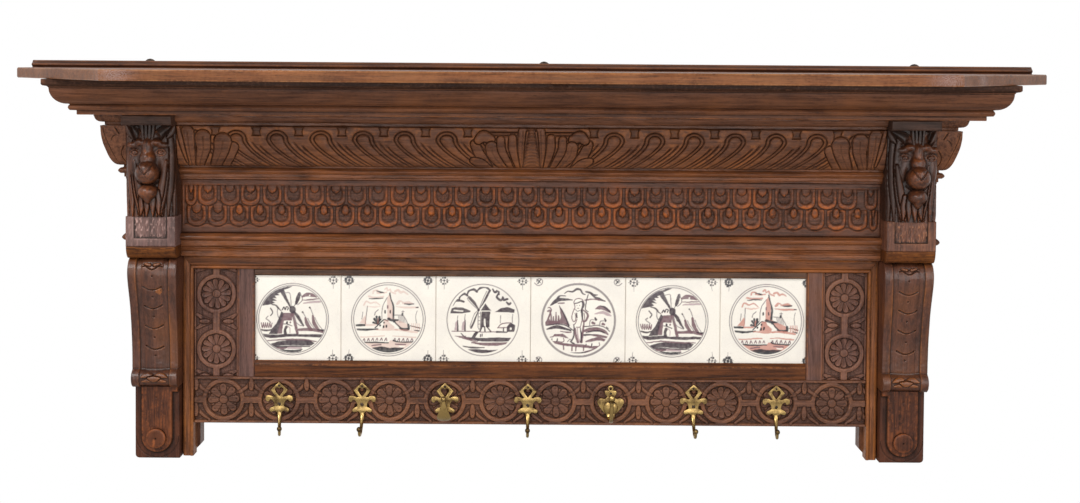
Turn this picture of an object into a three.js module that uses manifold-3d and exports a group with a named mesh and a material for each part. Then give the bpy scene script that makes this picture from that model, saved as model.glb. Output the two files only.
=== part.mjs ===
// A carved oak wall coat rack: a hat shelf on a moulded case with two lion consoles,
// a frame of six painted tiles, and a carved rail with seven brass hooks.
// Millimetres, +X to the right, +Y into the wall, +Z up. The origin lies on the wall
// plane, midway across the rack and midway up it. Pieces are laid out by their depth
// in front of the wall and by their height above the feet of the stiles.

import * as THREE from 'three'
import { mergeVertices } from 'three/addons/utils/BufferGeometryUtils.js'
import Module from 'manifold-3d'

const wasm = await Module()
wasm.setup()

// Clearance between two pieces that touch, half of it taken from each
const gap = 0.3
const seam = gap / 2

// Heights, stacked from the feet of the stiles up to the back rail
const footDrop = 45
const hookRailHeight = 64
const bottomRailHeight = 22
const topStripHeight = 9
const bandHeight = 19
const lowerMouldHeight = 32
const scalePanelHeight = 73
const upperMouldHeight = 19
const friezeHeight = 54
const bedMouldHeight = 14.6
const crownHeight = 47.4
const shelfThick = 14
const backRailHeight = 10

// Tiles, and how far the frame around them laps over their edges
const tileCount = 6
const tileSize = 130
const tileThick = 8
const tileBedThick = 5.4
const tileLapSide = 13
const tileLapTop = 4
const tileLapBottom = 9

// Widths, from the middle outwards
const frameStileWidth = 23
const rosettePanelWidth = 60
const stileMouldWidth = 15
const scrollWidth = 62
const consoleWidth = 66
const blockWidth = 60
const stileReveal = 4.5
const caseSideThick = 18
const frontBoardThick = 16

// Depths in front of the wall
const boardDepth = 24
const frameDepth = 44
const rosetteGroundDepth = 39
const rosetteReliefDepth = 43
const railGroundDepth = 40.5
const railReliefDepth = 45
const bandDepth = 48
const caseDepth = 60
const blockDepth = 60
const tongueRise = 5
const shelfDepth = 300
const shelfEndDepth = 45
const backRailDepth = 16
const backRailRebate = 1

// The hooks and the carving behind them run from a little left of the middle
const hookOffset = -3

// Lengths of the shelf and of the rail that stands on it
const shelfFrontHalf = 518
const shelfBackHalf = 700
const backRailHalf = 692

// How far each moulding stands out from the case
const crownReach = 93.6
const crownBeadReach = 66.8
const crownFilletReach = 58
const crownNose = 8.5
const crownNeck = 7.6
const bedMouldReach = 40.6
const bedMouldFoot = 29
const friezeTopReach = 34
const friezeFootReach = 16
const upperMouldReach = 15
const lowerMouldReach = 11
const abacusReach = 59

// Levels worked out from the heights above
const railFoot = footDrop
const railTop = railFoot + hookRailHeight
const sightFoot = railTop + bottomRailHeight
const tileFoot = sightFoot - tileLapBottom
const tileTop = tileFoot + tileSize
const sightTop = tileTop - tileLapTop
const bandFoot = sightTop + topStripHeight
const caseFoot = bandFoot + bandHeight
const scaleFoot = caseFoot + lowerMouldHeight
const scaleTop = scaleFoot + scalePanelHeight
const friezeFoot = scaleTop + upperMouldHeight
const bedFoot = friezeFoot + friezeHeight
const crownFoot = bedFoot + bedMouldHeight
const shelfFoot = crownFoot + crownHeight
const shelfTop = shelfFoot + shelfThick
const rackTop = shelfTop + backRailHeight
const originHeight = rackTop / 2

// Places across the rack worked out from the widths above
const tileRowHalf = (tileCount * tileSize) / 2
const sightHalf = tileRowHalf - tileLapSide
const frameHalf = sightHalf + frameStileWidth
const fieldHalf = frameHalf + rosettePanelWidth
const stileInner = fieldHalf - stileReveal
const stileMouldOuter = fieldHalf + stileMouldWidth
const pilasterCentre = stileMouldOuter + gap + scrollWidth / 2
const consoleInner = pilasterCentre - consoleWidth / 2
const consoleOuter = pilasterCentre + consoleWidth / 2
const caseHalf = consoleOuter + gap
const onBoard = boardDepth + gap
const tileBack = onBoard + tileBedThick + gap
const tileFront = tileBack + tileThick

// Finishes
const finish = (color, roughness, metalness) =>
  new THREE.MeshStandardMaterial({ color, roughness, metalness })
const carvedOak = finish(0x5b392a, 0.45, 0)
const amberOak = finish(0x6d4127, 0.38, 0)
const shelfOak = finish(0x70452a, 0.42, 0)
const tinGlaze = finish(0xf2eee3, 0.12, 0)
const limeMortar = finish(0xb8ab97, 0.95, 0)
const castBrass = finish(0xa78b45, 0.3, 1)
const darkIron = finish(0x3a3733, 0.55, 1)

const rack = new THREE.Group()
rack.position.z = -originHeight

/** Adds one named piece to the rack. */
function piece(name, geometry, material) {
  const mesh = new THREE.Mesh(geometry, material)
  mesh.name = name
  rack.add(mesh)
}

/** A point at a place across, a depth in front of the wall and a height above the feet. */
function at(across, depth, height) {
  return new THREE.Vector3(across, -depth, height)
}

/** Triangles that fill a closed ring of points, wound the way the ring is. */
function fill(ring) {
  const normal = new THREE.Vector3()
  ring.forEach((point, i) => {
    normal.add(new THREE.Vector3().crossVectors(point, ring[(i + 1) % ring.length]))
  })
  const turn = new THREE.Quaternion().setFromUnitVectors(normal.normalize(), new THREE.Vector3(0, 0, 1))
  const flat = ring.map((point) => {
    const turned = point.clone().applyQuaternion(turn)
    return new THREE.Vector2(turned.x, turned.y)
  })
  const triangles = THREE.ShapeUtils.triangulateShape(flat, [])
  const areas = triangles.map((corners) => THREE.ShapeUtils.area(corners.map((i) => flat[i])))
  const facing = areas.reduce((sum, area) => sum + area) > 0
  return triangles.map(([a, b, c]) => (facing ? [a, b, c] : [a, c, b]))
}

/** The signed volume inside an indexed mesh. */
function volume(positions, index) {
  let total = 0
  const corner = (i) => new THREE.Vector3().fromArray(positions, 3 * i)
  for (let i = 0; i < index.length; i += 3) {
    const [a, b, c] = [corner(index[i]), corner(index[i + 1]), corner(index[i + 2])]
    total += a.dot(b.cross(c)) / 6
  }
  return total
}

/** A closed skin through rings of equal length, with both ends filled. */
function loft(rings) {
  const count = rings[0].length
  const positions = rings.flat().flatMap((point) => point.toArray())
  const index = []
  for (let ring = 0; ring + 1 < rings.length; ring++) {
    for (let i = 0; i < count; i++) {
      const a = ring * count + i
      const b = ring * count + ((i + 1) % count)
      index.push(a, b, b + count, a, b + count, a + count)
    }
  }
  const last = (rings.length - 1) * count
  fill(rings[0]).forEach(([a, b, c]) => index.push(a, c, b))
  fill(rings.at(-1)).forEach(([a, b, c]) => index.push(last + a, last + b, last + c))
  if (volume(positions, index) < 0) index.reverse()
  const geometry = new THREE.BufferGeometry()
  geometry.setAttribute('position', new THREE.Float32BufferAttribute(positions, 3))
  geometry.setIndex(index)
  return geometry
}

/** A board with square edges, from low to high corner as across, depth and height. */
function board(low, high) {
  const size = high.map((value, axis) => value - low[axis])
  const box = new THREE.BoxGeometry(size[0], size[1], size[2])
  const middle = low.map((value, axis) => value + size[axis] / 2)
  return box.translate(middle[0], -middle[1], middle[2])
}

/** A shape drawn across and up, extruded from one depth forward to another. */
function plate(shape, back, front, bevel = 0, curveSegments = 4) {
  const geometry = new THREE.ExtrudeGeometry(shape, {
    depth: front - back - 2 * bevel,
    bevelEnabled: bevel > 0,
    bevelThickness: bevel,
    bevelSize: bevel,
    bevelOffset: -bevel,
    bevelSegments: 1,
    curveSegments,
  })
  return geometry.rotateX(Math.PI / 2).translate(0, -back - bevel, 0)
}

/** A profile of depth and height carried straight across from one end to the other. */
function bar(profile, from, to) {
  return loft([from, to].map((across) => profile.map(([depth, height]) => at(across, depth, height))))
}

/** A body of revolution about an axis that points out of the wall. */
function turned(profile, across, height, segments) {
  const points = profile.map(([radius, depth]) => new THREE.Vector2(radius, depth))
  const geometry = new THREE.LatheGeometry(points, segments)
  return geometry.rotateX(Math.PI).translate(across, 0, height)
}

/** A sphere stretched to its three radii, which are across, in depth and in height. */
function lump(centre, radii, around = 10, down = 7) {
  const ball = new THREE.SphereGeometry(1, around, down).rotateX(Math.PI / 2)
  return ball.scale(...radii).translate(centre[0], -centre[1], centre[2])
}

/** Turns a closed geometry into a solid that can be joined and cut. */
function solid(geometry) {
  const bare = geometry.clone()
  bare.deleteAttribute('normal')
  bare.deleteAttribute('uv')
  const merged = mergeVertices(bare, 1e-4)
  const triangles = []
  for (let i = 0; i < merged.index.count; i += 3) {
    const [a, b, c] = [0, 1, 2].map((step) => merged.index.getX(i + step))
    if (a !== b && b !== c && c !== a) triangles.push(a, b, c)
  }
  const vertProperties = new Float32Array(merged.attributes.position.array)
  const triVerts = new Uint32Array(triangles)
  return new wasm.Manifold(new wasm.Mesh({ numProp: 3, vertProperties, triVerts }))
}

/** Turns a solid back into a geometry. */
function skin(body) {
  const mesh = body.getMesh()
  const geometry = new THREE.BufferGeometry()
  geometry.setAttribute('position', new THREE.Float32BufferAttribute(mesh.vertProperties, 3))
  geometry.setIndex([...mesh.triVerts])
  return geometry
}

/** Joins several closed geometries into one. */
function join(...geometries) {
  return skin(geometries.map(solid).reduce((whole, next) => whole.add(next)))
}

/** Cuts the other geometries out of the first. */
function cut(geometry, ...tools) {
  return skin(tools.map(solid).reduce((whole, tool) => whole.subtract(tool), solid(geometry)))
}

/** Points along a quarter round that bulges out, from one profile point to another. */
function ovolo(from, to, steps) {
  return Array.from({ length: steps + 1 }, (_, i) => {
    const angle = ((Math.PI / 2) * i) / steps
    return [to[0] + (from[0] - to[0]) * Math.cos(angle), from[1] + (to[1] - from[1]) * Math.sin(angle)]
  })
}

/** Points round a bead that bulges by its depth between two heights. */
function bead(reach, top, foot, bulge, steps = 4) {
  return Array.from({ length: steps + 1 }, (_, i) => {
    const angle = (Math.PI * i) / steps
    return [reach + bulge * Math.sin(angle), top + ((foot - top) * i) / steps]
  })
}

// Mouldings that go round the case, as reach from the case and height

const bedWall = gap

const crownProfile = [
  [bedWall, shelfFoot - seam],
  [crownReach, shelfFoot - seam],
  [crownReach, shelfFoot - crownNose + 1.5],
  [crownReach - 1.5, shelfFoot - crownNose],
  [crownReach - crownNeck + 1.6, shelfFoot - crownNose - 1],
  ...ovolo([crownReach - crownNeck, shelfFoot - crownNose - 3], [crownBeadReach, crownFoot + 14.4], 4),
  ...bead(crownBeadReach - 2, crownFoot + 14.4, crownFoot + 5.9, 2),
  [crownFilletReach, crownFoot + 5.9],
  [crownFilletReach, crownFoot + seam],
  [bedWall, crownFoot + seam],
]

const bedProfile = [
  [bedWall, crownFoot - seam],
  [bedMouldReach, crownFoot - seam],
  [bedMouldReach, crownFoot - 2],
  ...ovolo([bedMouldReach - 1, crownFoot - 2.6], [bedMouldFoot + 2, bedFoot + 4.4], 3),
  [bedMouldFoot, bedFoot + 4.4],
  [bedMouldFoot, bedFoot + seam],
  [bedWall, bedFoot + seam],
]

const friezeProfile = [
  [bedWall, bedFoot - seam],
  [friezeTopReach, bedFoot - seam],
  ...ovolo([friezeTopReach, bedFoot - 2], [friezeFootReach, friezeFoot + seam], 5),
  [bedWall, friezeFoot + seam],
]

const upperMouldProfile = [
  [bedWall, friezeFoot - seam],
  [upperMouldReach - 6, friezeFoot - seam],
  [upperMouldReach - 6, friezeFoot - 3],
  ...bead(upperMouldReach - 3, friezeFoot - 3, friezeFoot - 11, 3),
  [upperMouldReach - 6.4, friezeFoot - 11],
  [upperMouldReach - 6.4, scaleTop + seam],
  [bedWall, scaleTop + seam],
]

const lowerMouldProfile = [
  [bedWall, scaleFoot - seam],
  [lowerMouldReach - 4, scaleFoot - seam],
  ...bead(lowerMouldReach - 3, scaleFoot - 1, scaleFoot - 10, 3),
  [lowerMouldReach - 5.6, scaleFoot - 10],
  [lowerMouldReach - 5.6, scaleFoot - 18],
  [lowerMouldReach - 8.2, scaleFoot - 20],
  [lowerMouldReach - 8.2, caseFoot + seam],
  [bedWall, caseFoot + seam],
]

/** A moulding straight along the case front, stopped square at both ends. */
function frontMould(profile, half) {
  return bar(profile.map(([reach, height]) => [caseDepth + reach, height]), -half, half)
}

/** A moulding along the case front that is mitred into its returns at both ends. */
function mitredMould(profile) {
  const end = (side) => profile.map(([reach, height]) => {
    return at(side * (caseHalf + reach - seam), caseDepth + reach, height)
  })
  return loft([end(-1), end(1)])
}

/** A mitred return from the front corner of the case back to the wall. */
function returnMould(profile, side) {
  const corner = profile.map(([reach, height]) => {
    return at(side * (caseHalf + reach), caseDepth + reach - seam, height)
  })
  const wall = profile.map(([reach, height]) => at(side * (caseHalf + reach), 0, height))
  return loft([corner, wall])
}

/** A return with its own short front, which starts beside the console. */
function cornerMould(profile, side) {
  const inner = caseHalf + gap
  const start = profile.map(([reach, height]) => at(side * inner, caseDepth + reach, height))
  const corner = profile.map(([reach, height]) => at(side * (inner + reach), caseDepth + reach, height))
  const wall = profile.map(([reach, height]) => at(side * (inner + reach), 0, height))
  return loft([start, corner, wall])
}

// Hanging plates let into the back, with their tips just above the back rail

const hangerWidth = 17
const hangerThick = 2
const hangerRise = 3
const hangerLength = 57
const hangerSpread = 530
const hangerOffset = 16
const hangerHole = 2.5
const hangerPlaces = [['left', -hangerSpread], ['middle', hangerOffset], ['right', hangerSpread]]

/** The space that a hanging plate takes, widened by the clearance around it. */
function hangerSlot(across) {
  const half = hangerWidth / 2 + gap
  const foot = rackTop + hangerRise - hangerLength - gap
  return board([across - half, -1, foot], [across + half, hangerThick + gap, rackTop + 1])
}

/** A flat plate with a rounded tip and a screw hole. */
function hanger(across) {
  const half = hangerWidth / 2
  const top = rackTop + hangerRise
  const shape = new THREE.Shape()
  shape.moveTo(across - half, top - hangerLength)
  shape.lineTo(across + half, top - hangerLength)
  shape.lineTo(across + half, top - half)
  shape.absarc(across, top - half, half, 0, Math.PI)
  const hole = new THREE.Path()
  hole.absarc(across, top - hangerLength + hangerWidth, hangerHole, 0, 2 * Math.PI, true)
  shape.holes.push(hole)
  return plate(shape, 0, hangerThick)
}

const slots = hangerPlaces.map(([, across]) => hangerSlot(across))
for (const [name, across] of hangerPlaces) piece(`hanger_${name}`, hanger(across), darkIron)

const sides = [['left', -1], ['right', 1]]
const mouldHalf = consoleInner - gap

piece('crown_front', mitredMould(crownProfile), carvedOak)
piece('bed_moulding_front', frontMould(bedProfile, mouldHalf), carvedOak)
piece('frieze_front', frontMould(friezeProfile, mouldHalf), carvedOak)
piece('upper_moulding_front', frontMould(upperMouldProfile, mouldHalf), carvedOak)
piece('lower_moulding_front', frontMould(lowerMouldProfile, mouldHalf), carvedOak)
for (const [name, side] of sides) {
  piece(`crown_return_${name}`, cut(returnMould(crownProfile, side), ...slots), carvedOak)
  piece(`bed_moulding_return_${name}`, cornerMould(bedProfile, side), carvedOak)
  piece(`frieze_return_${name}`, cornerMould(friezeProfile, side), carvedOak)
  piece(`upper_moulding_return_${name}`, cornerMould(upperMouldProfile, side), carvedOak)
  piece(`lower_moulding_return_${name}`, cornerMould(lowerMouldProfile, side), carvedOak)
}

// The shelf and the low rail along its back

/** The shelf board, with its front corners cut off on a slant. */
function shelf() {
  const outline = [[-shelfBackHalf, 0], [-shelfBackHalf, shelfEndDepth], [-shelfFrontHalf, shelfDepth],
    [shelfFrontHalf, shelfDepth], [shelfBackHalf, shelfEndDepth], [shelfBackHalf, 0]]
  const ring = (inset, height) => outline.map(([across, depth]) => {
    return at(across - Math.sign(across) * inset, depth > 0 ? depth - inset : 0, height)
  })
  const ease = shelfThick / 7
  return loft([
    ring(ease, shelfFoot),
    ring(0, shelfFoot + ease),
    ring(0, shelfTop - ease - seam),
    ring(ease, shelfTop - seam),
  ])
}

/** The back rail, with rounded ends and a bead along its front edge. */
function backRail() {
  const foot = shelfTop + seam - backRailRebate
  const crest = bead(backRailDepth - 4, shelfTop + 1, rackTop - 3, 4, 4)
  const profile = [[0, foot], [backRailDepth - 4, foot], ...crest, [backRailDepth - 6, rackTop], [0, rackTop]]
  const end = (side, inset) => profile.map(([depth, height]) => {
    const nose = depth > 0 ? inset * (depth / backRailDepth) ** 2 : 0
    return at(side * (backRailHalf - nose), depth, height)
  })
  return loft([end(-1, backRailDepth / 2), end(1, backRailDepth / 2)])
}

const rebate = board([-backRailHalf - gap, -1, shelfTop - seam - backRailRebate],
  [backRailHalf + gap, backRailDepth + gap, shelfTop + 1])
piece('shelf_board', cut(shelf(), rebate, ...slots), shelfOak)
piece('shelf_back_rail', cut(backRail(), ...slots), shelfOak)

// The boards that carry everything

/** A stile board down to the foot, with the inner corner of its foot cut off. */
function stileBoard(side) {
  const footCut = 10
  const shape = new THREE.Shape()
  shape.moveTo(side * (stileInner + footCut), 0)
  shape.lineTo(side * caseHalf, 0)
  shape.lineTo(side * caseHalf, shelfFoot - seam)
  shape.lineTo(side * (stileInner + seam), shelfFoot - seam)
  shape.lineTo(side * (stileInner + seam), footCut)
  return cut(plate(shape, 0, boardDepth), ...slots)
}

const scalePitch = 29.7
const scaleRise = 28
const scaleRows = 2
const scaleRim = 3.2
const scaleSink = 3
const scaleEdge = 3
const tongueDrop = 9

/** One hollow scale: a U with a pointed tongue left standing at the top of it. */
function scaleGround(across, top) {
  const half = scalePitch / 2 - scaleRim
  const round = top - scaleRise + scaleRim + half
  const tongue = half * 0.42
  const shape = new THREE.Shape()
  shape.moveTo(across - half, top)
  shape.lineTo(across - half, Math.min(round, top - 1))
  shape.absarc(across, Math.min(round, top - 1), half, Math.PI, 2 * Math.PI)
  shape.lineTo(across + half, top)
  shape.lineTo(across + tongue, top)
  shape.lineTo(across, top - tongueDrop)
  shape.lineTo(across - tongue, top)
  return plate(shape, caseDepth - scaleSink, caseDepth + 1, 0, 2)
}

/** The hollows of every scale: each row is moved half a scale from the one above it. */
function scaleGrounds() {
  const count = Math.floor((2 * (consoleInner - gap)) / scalePitch) - 1
  return Array.from({ length: scaleRows }, (_, row) => {
    const inRow = count - (row % 2)
    return Array.from({ length: inRow }, (_, i) => {
      return scaleGround((i - (inRow - 1) / 2) * scalePitch, scaleTop - scaleEdge - row * scaleRise)
    })
  }).flat()
}

const boardHalf = stileInner - seam
const backboard = board([-boardHalf, 0, railFoot + seam], [boardHalf, boardDepth, shelfFoot - seam])
piece('backboard', cut(backboard, ...slots), carvedOak)
const innerHalf = caseHalf - caseSideThick - seam
const frontBack = caseDepth - frontBoardThick
const lowerRail = board([-innerHalf, onBoard, caseFoot + seam], [innerHalf, caseDepth, scaleFoot - seam])
piece('case_lower_rail', lowerRail, carvedOak)
const scalePanel = board([-innerHalf, frontBack, scaleFoot + seam], [innerHalf, caseDepth, scaleTop - seam])
piece('scale_panel', cut(scalePanel, ...scaleGrounds()), carvedOak)
const friezeBoard = board([-innerHalf, frontBack, scaleTop + seam], [innerHalf, caseDepth, shelfFoot - seam])
piece('frieze_board', friezeBoard, carvedOak)
for (const [name, side] of sides) {
  piece(`stile_board_${name}`, stileBoard(side), carvedOak)
  const reach = [side * caseHalf, side * (caseHalf - caseSideThick + seam)].sort((a, b) => a - b)
  const low = [reach[0], onBoard, caseFoot + seam]
  const high = [reach[1], caseDepth, shelfFoot - seam]
  piece(`case_side_${name}`, board(low, high), carvedOak)
}

// The mitred band under the case, which runs on down both stiles

const bandEase = 3
const bandBead = 4.6
const mitreSlope = bandHeight / stileMouldWidth

/** The section of the band, as reach out of the wall at each step across its face. */
function bandSection(width) {
  return [
    [seam, onBoard],
    ...bead(bandDepth - bandBead / 2, seam, bandBead, bandBead / 2).map(([depth, step]) => [step, depth]),
    [bandBead + 1, bandDepth - bandEase / 2],
    [width - bandEase, bandDepth - bandEase / 2],
    [width - seam, bandDepth - bandEase],
    [width - seam, onBoard],
  ]
}

/** The band along the top, mitred into the stile mouldings. */
function topBand() {
  const end = (side) => bandSection(bandHeight).map(([step, depth]) => {
    return at(side * (fieldHalf + step / mitreSlope - gap), depth, bandFoot + step)
  })
  return loft([end(-1), end(1)])
}

/** A stile moulding from the foot up to its mitre with the band. */
function stileMould(side) {
  const section = bandSection(stileMouldWidth)
  const foot = section.map(([step, depth]) => at(side * (fieldHalf + step), depth, 0))
  const top = section.map(([step, depth]) => {
    return at(side * (fieldHalf + step), depth, bandFoot + step * mitreSlope - gap)
  })
  return loft([foot, top])
}

piece('frame_band_top', topBand(), carvedOak)
for (const [name, side] of sides) piece(`stile_moulding_${name}`, stileMould(side), carvedOak)

// The tiles, the mortar they are laid in, and the frame that laps over them

const lapBack = tileFront + gap
piece('tile_bed', board([-tileRowHalf + seam, onBoard, tileFoot + seam],
  [tileRowHalf - seam, onBoard + tileBedThick, tileTop - seam]), limeMortar)

for (let i = 0; i < tileCount; i++) {
  const left = -tileRowHalf + i * tileSize
  const shape = new THREE.Shape()
  shape.moveTo(left + seam, tileFoot + seam)
  shape.lineTo(left + tileSize - seam, tileFoot + seam)
  shape.lineTo(left + tileSize - seam, tileTop - seam)
  shape.lineTo(left + seam, tileTop - seam)
  piece(`tile_${i + 1}`, plate(shape, tileBack, tileFront, 0.6), tinGlaze)
}

const stripProfile = [[onBoard, tileTop + seam], [lapBack, tileTop + seam], [lapBack, sightTop],
  [frameDepth - 2, sightTop], [frameDepth, sightTop + 2], [frameDepth, bandFoot - seam],
  [onBoard, bandFoot - seam]]
const railProfile = [[onBoard, tileFoot - seam], [lapBack, tileFoot - seam], [lapBack, sightFoot],
  [frameDepth - 3, sightFoot], [frameDepth, sightFoot - 5], [frameDepth, railTop + seam],
  [onBoard, railTop + seam]]
piece('tile_frame_top', bar(stripProfile, -sightHalf + seam, sightHalf - seam), amberOak)
piece('tile_frame_bottom', bar(railProfile, -sightHalf + seam, sightHalf - seam), amberOak)
for (const [name, side] of sides) {
  const section = [[tileRowHalf + seam, onBoard], [tileRowHalf + seam, lapBack], [sightHalf + seam, lapBack],
    [sightHalf + seam, frameDepth - 2], [sightHalf + 2, frameDepth], [frameHalf - seam, frameDepth],
    [frameHalf - seam, onBoard]]
  const ends = [railTop + seam, bandFoot - seam]
  const rings = ends.map((height) => section.map(([across, depth]) => at(side * across, depth, height)))
  piece(`tile_frame_${name}`, loft(rings), amberOak)
}

// Carved boards: rosettes in a chain of rings, with the ground let in round them

const flowerPetals = 8
const railRings = 12
const railRingPitch = 75.8
const railRingRadius = 28.7
const panelRings = 2
const panelRingPitch = 76
const panelRingRadius = 26.7
const panelRingMiddle = 183
const ringWidth = 5
const strapWidth = 9

/** The ground let in round a flower inside its ring, along and across the chain. */
function rosetteGround(along, radius) {
  const inner = radius - ringWidth
  const shape = new THREE.Shape().absarc(along, 0, inner, 0, 2 * Math.PI)
  const flower = Array.from({ length: 2 * flowerPetals }, (_, i) => {
    const angle = (Math.PI * i) / flowerPetals
    const reach = inner * (i % 2 ? 0.62 : 0.9)
    return new THREE.Vector2(along + reach * Math.cos(angle), reach * Math.sin(angle))
  })
  shape.holes.push(new THREE.Path(flower))
  return shape
}

/** The ground let in between two rings, on one side of the strap that links them. */
function spandrelGround(along, pitch, radius, side) {
  const low = Math.asin(strapWidth / 2 / radius)
  const high = 1.25
  const arc = [low, (low + high) / 2, high].map((angle) => {
    return new THREE.Vector2(radius * Math.cos(angle), radius * Math.sin(angle))
  })
  const left = arc.map((point) => new THREE.Vector2(along + point.x, side * point.y))
  const right = arc.map((point) => new THREE.Vector2(along + pitch - point.x, side * point.y)).reverse()
  return new THREE.Shape(side > 0 ? [...right, ...left].reverse() : [...right, ...left])
}

/** Every stretch of ground let in along a chain of rings about its middle. */
function chainGrounds(count, pitch, radius) {
  const first = (-(count - 1) / 2) * pitch
  const places = Array.from({ length: count }, (_, i) => first + i * pitch)
  const rings = places.map((along) => rosetteGround(along, radius))
  const links = places.slice(1).flatMap((along) => [-1, 1].map((side) => {
    return spandrelGround(along - pitch, pitch, radius, side)
  }))
  return [...rings, ...links]
}

for (const [name, side] of sides) {
  const reach = [side * (frameHalf + seam), side * (fieldHalf - seam)].sort((a, b) => a - b)
  const panel = board([reach[0], onBoard, railTop + seam], [reach[1], rosetteReliefDepth, bandFoot - seam])
  const grounds = chainGrounds(panelRings, panelRingPitch, panelRingRadius).map((shape) => {
    const tool = plate(shape, rosetteGroundDepth, rosetteReliefDepth + 1, 0, 7)
    return tool.rotateY(-Math.PI / 2).translate((reach[0] + reach[1]) / 2, 0, panelRingMiddle)
  })
  piece(`rosette_panel_${name}`, cut(panel, ...grounds), carvedOak)
}
const railHalf = fieldHalf - seam
const railBoard = board([-railHalf, onBoard, railFoot + seam], [railHalf, railReliefDepth, railTop - seam])
const railGrounds = chainGrounds(railRings, railRingPitch, railRingRadius).map((shape) => {
  const tool = plate(shape, railGroundDepth, railReliefDepth + 1, 0, 7)
  return tool.translate(hookOffset, 0, (railFoot + railTop) / 2)
})
piece('hook_rail', cut(railBoard, ...railGrounds), carvedOak)

// Lower blocks with a raised tongue, and the turned discs on them

const blockTop = 98.85
const tongueWidth = 41
const tongueHeadWidth = 56
const tongueHeadHeight = 8
const discRadius = 13.4
const discThick = 6
const discHeight = 29
const tongueFoot = 9

/** The lower block of a pilaster, with the tongue in relief. */
function lowerBlock(side) {
  const middle = side * pilasterCentre
  const half = blockWidth / 2
  const corner = 14
  const block = new THREE.Shape()
  block.moveTo(middle - side * half, 0)
  block.lineTo(middle + side * (half - corner), 0)
  block.quadraticCurveTo(middle + side * half, 0, middle + side * half, corner)
  block.lineTo(middle + side * half, blockTop)
  block.lineTo(middle - side * half, blockTop)
  const tongue = new THREE.Shape()
  const radius = tongueWidth / 2
  const headFoot = blockTop - tongueHeadHeight
  tongue.moveTo(middle - tongueHeadWidth / 2, blockTop)
  tongue.lineTo(middle - tongueHeadWidth / 2, headFoot)
  tongue.lineTo(middle - radius, headFoot)
  tongue.absarc(middle, tongueFoot + radius, radius, Math.PI, 2 * Math.PI)
  tongue.lineTo(middle + radius, headFoot)
  tongue.lineTo(middle + tongueHeadWidth / 2, headFoot)
  tongue.lineTo(middle + tongueHeadWidth / 2, blockTop)
  return join(plate(block, onBoard, blockDepth), plate(tongue, blockDepth - 2, blockDepth + tongueRise, 0, 6))
}

/** A turned disc with a rounded edge. */
function disc(side) {
  const back = blockDepth + tongueRise + gap
  const profile = [[0, back], [discRadius, back], [discRadius, back + discThick - 2],
    [discRadius - 2, back + discThick], [0, back + discThick]]
  return turned(profile, side * pilasterCentre, discHeight, 20)
}

// Scroll brackets: one side profile, with the bands proud and the middle let in

const scrollFoot = blockTop + gap
const rollRadius = 12.8
const rollDepth = 68
const scrollBandWidth = 10.5
const scrollGroove = 7
const scrollNeckDepth = 72
const scrollBellyDepth = 92

/** The side profile of a scroll bracket, let in from its face by an inset. */
function scrollProfile(inset) {
  const rollMiddle = scrollFoot + rollRadius
  const roll = Array.from({ length: 9 }, (_, i) => {
    const angle = (-Math.PI / 2) + (Math.PI * i) / 8
    const radius = rollRadius - inset / 2
    return [rollDepth + radius * Math.cos(angle), rollMiddle + radius * Math.sin(angle)]
  })
  const rollTop = rollMiddle + rollRadius
  const top = caseFoot - seam
  const rise = top - rollTop
  const belly = scrollBellyDepth - scrollNeckDepth
  const face = new THREE.SplineCurve([
    new THREE.Vector2(scrollNeckDepth, rollTop + 1),
    new THREE.Vector2(scrollNeckDepth + belly * 0.12, rollTop + rise * 0.25),
    new THREE.Vector2(scrollNeckDepth + belly * 0.55, rollTop + rise * 0.55),
    new THREE.Vector2(scrollBellyDepth, rollTop + rise * 0.82),
    new THREE.Vector2(scrollBellyDepth - belly * 0.5, top),
  ])
  const front = face.getPoints(10).map((point) => [point.x - inset, Math.min(point.y, top)])
  return [[onBoard, scrollFoot], ...roll, ...front, [onBoard, top]]
}

/** A scroll bracket: grooved between its side bands, with a raised middle. */
function scrollBracket(side) {
  const middle = side * pilasterCentre
  const half = scrollWidth / 2
  const panelHalf = half - scrollBandWidth - scrollGroove
  const strip = (inset, from, to) => bar(scrollProfile(inset), middle + from, middle + to)
  return join(
    strip(4, -half + 1, half - 1),
    strip(0, -half, -half + scrollBandWidth),
    strip(0, half - scrollBandWidth, half),
    strip(1.5, -panelHalf, panelHalf),
  )
}

for (const [name, side] of sides) {
  piece(`lower_block_${name}`, lowerBlock(side), carvedOak)
  piece(`turned_disc_${name}`, disc(side), carvedOak)
  piece(`scroll_bracket_${name}`, scrollBracket(side), carvedOak)
}

// Lion consoles: a cove foot, a sunk block, the head and the abacus over it

const footHeight = 17
const sunkHeight = 40
const sunkDepth = 3
const sunkMargin = 11.5
const sunkBlockDepth = 98
const coveDepth = 84
const abacusHeight = 13
const headDepth = 92
const headThick = 32

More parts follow.
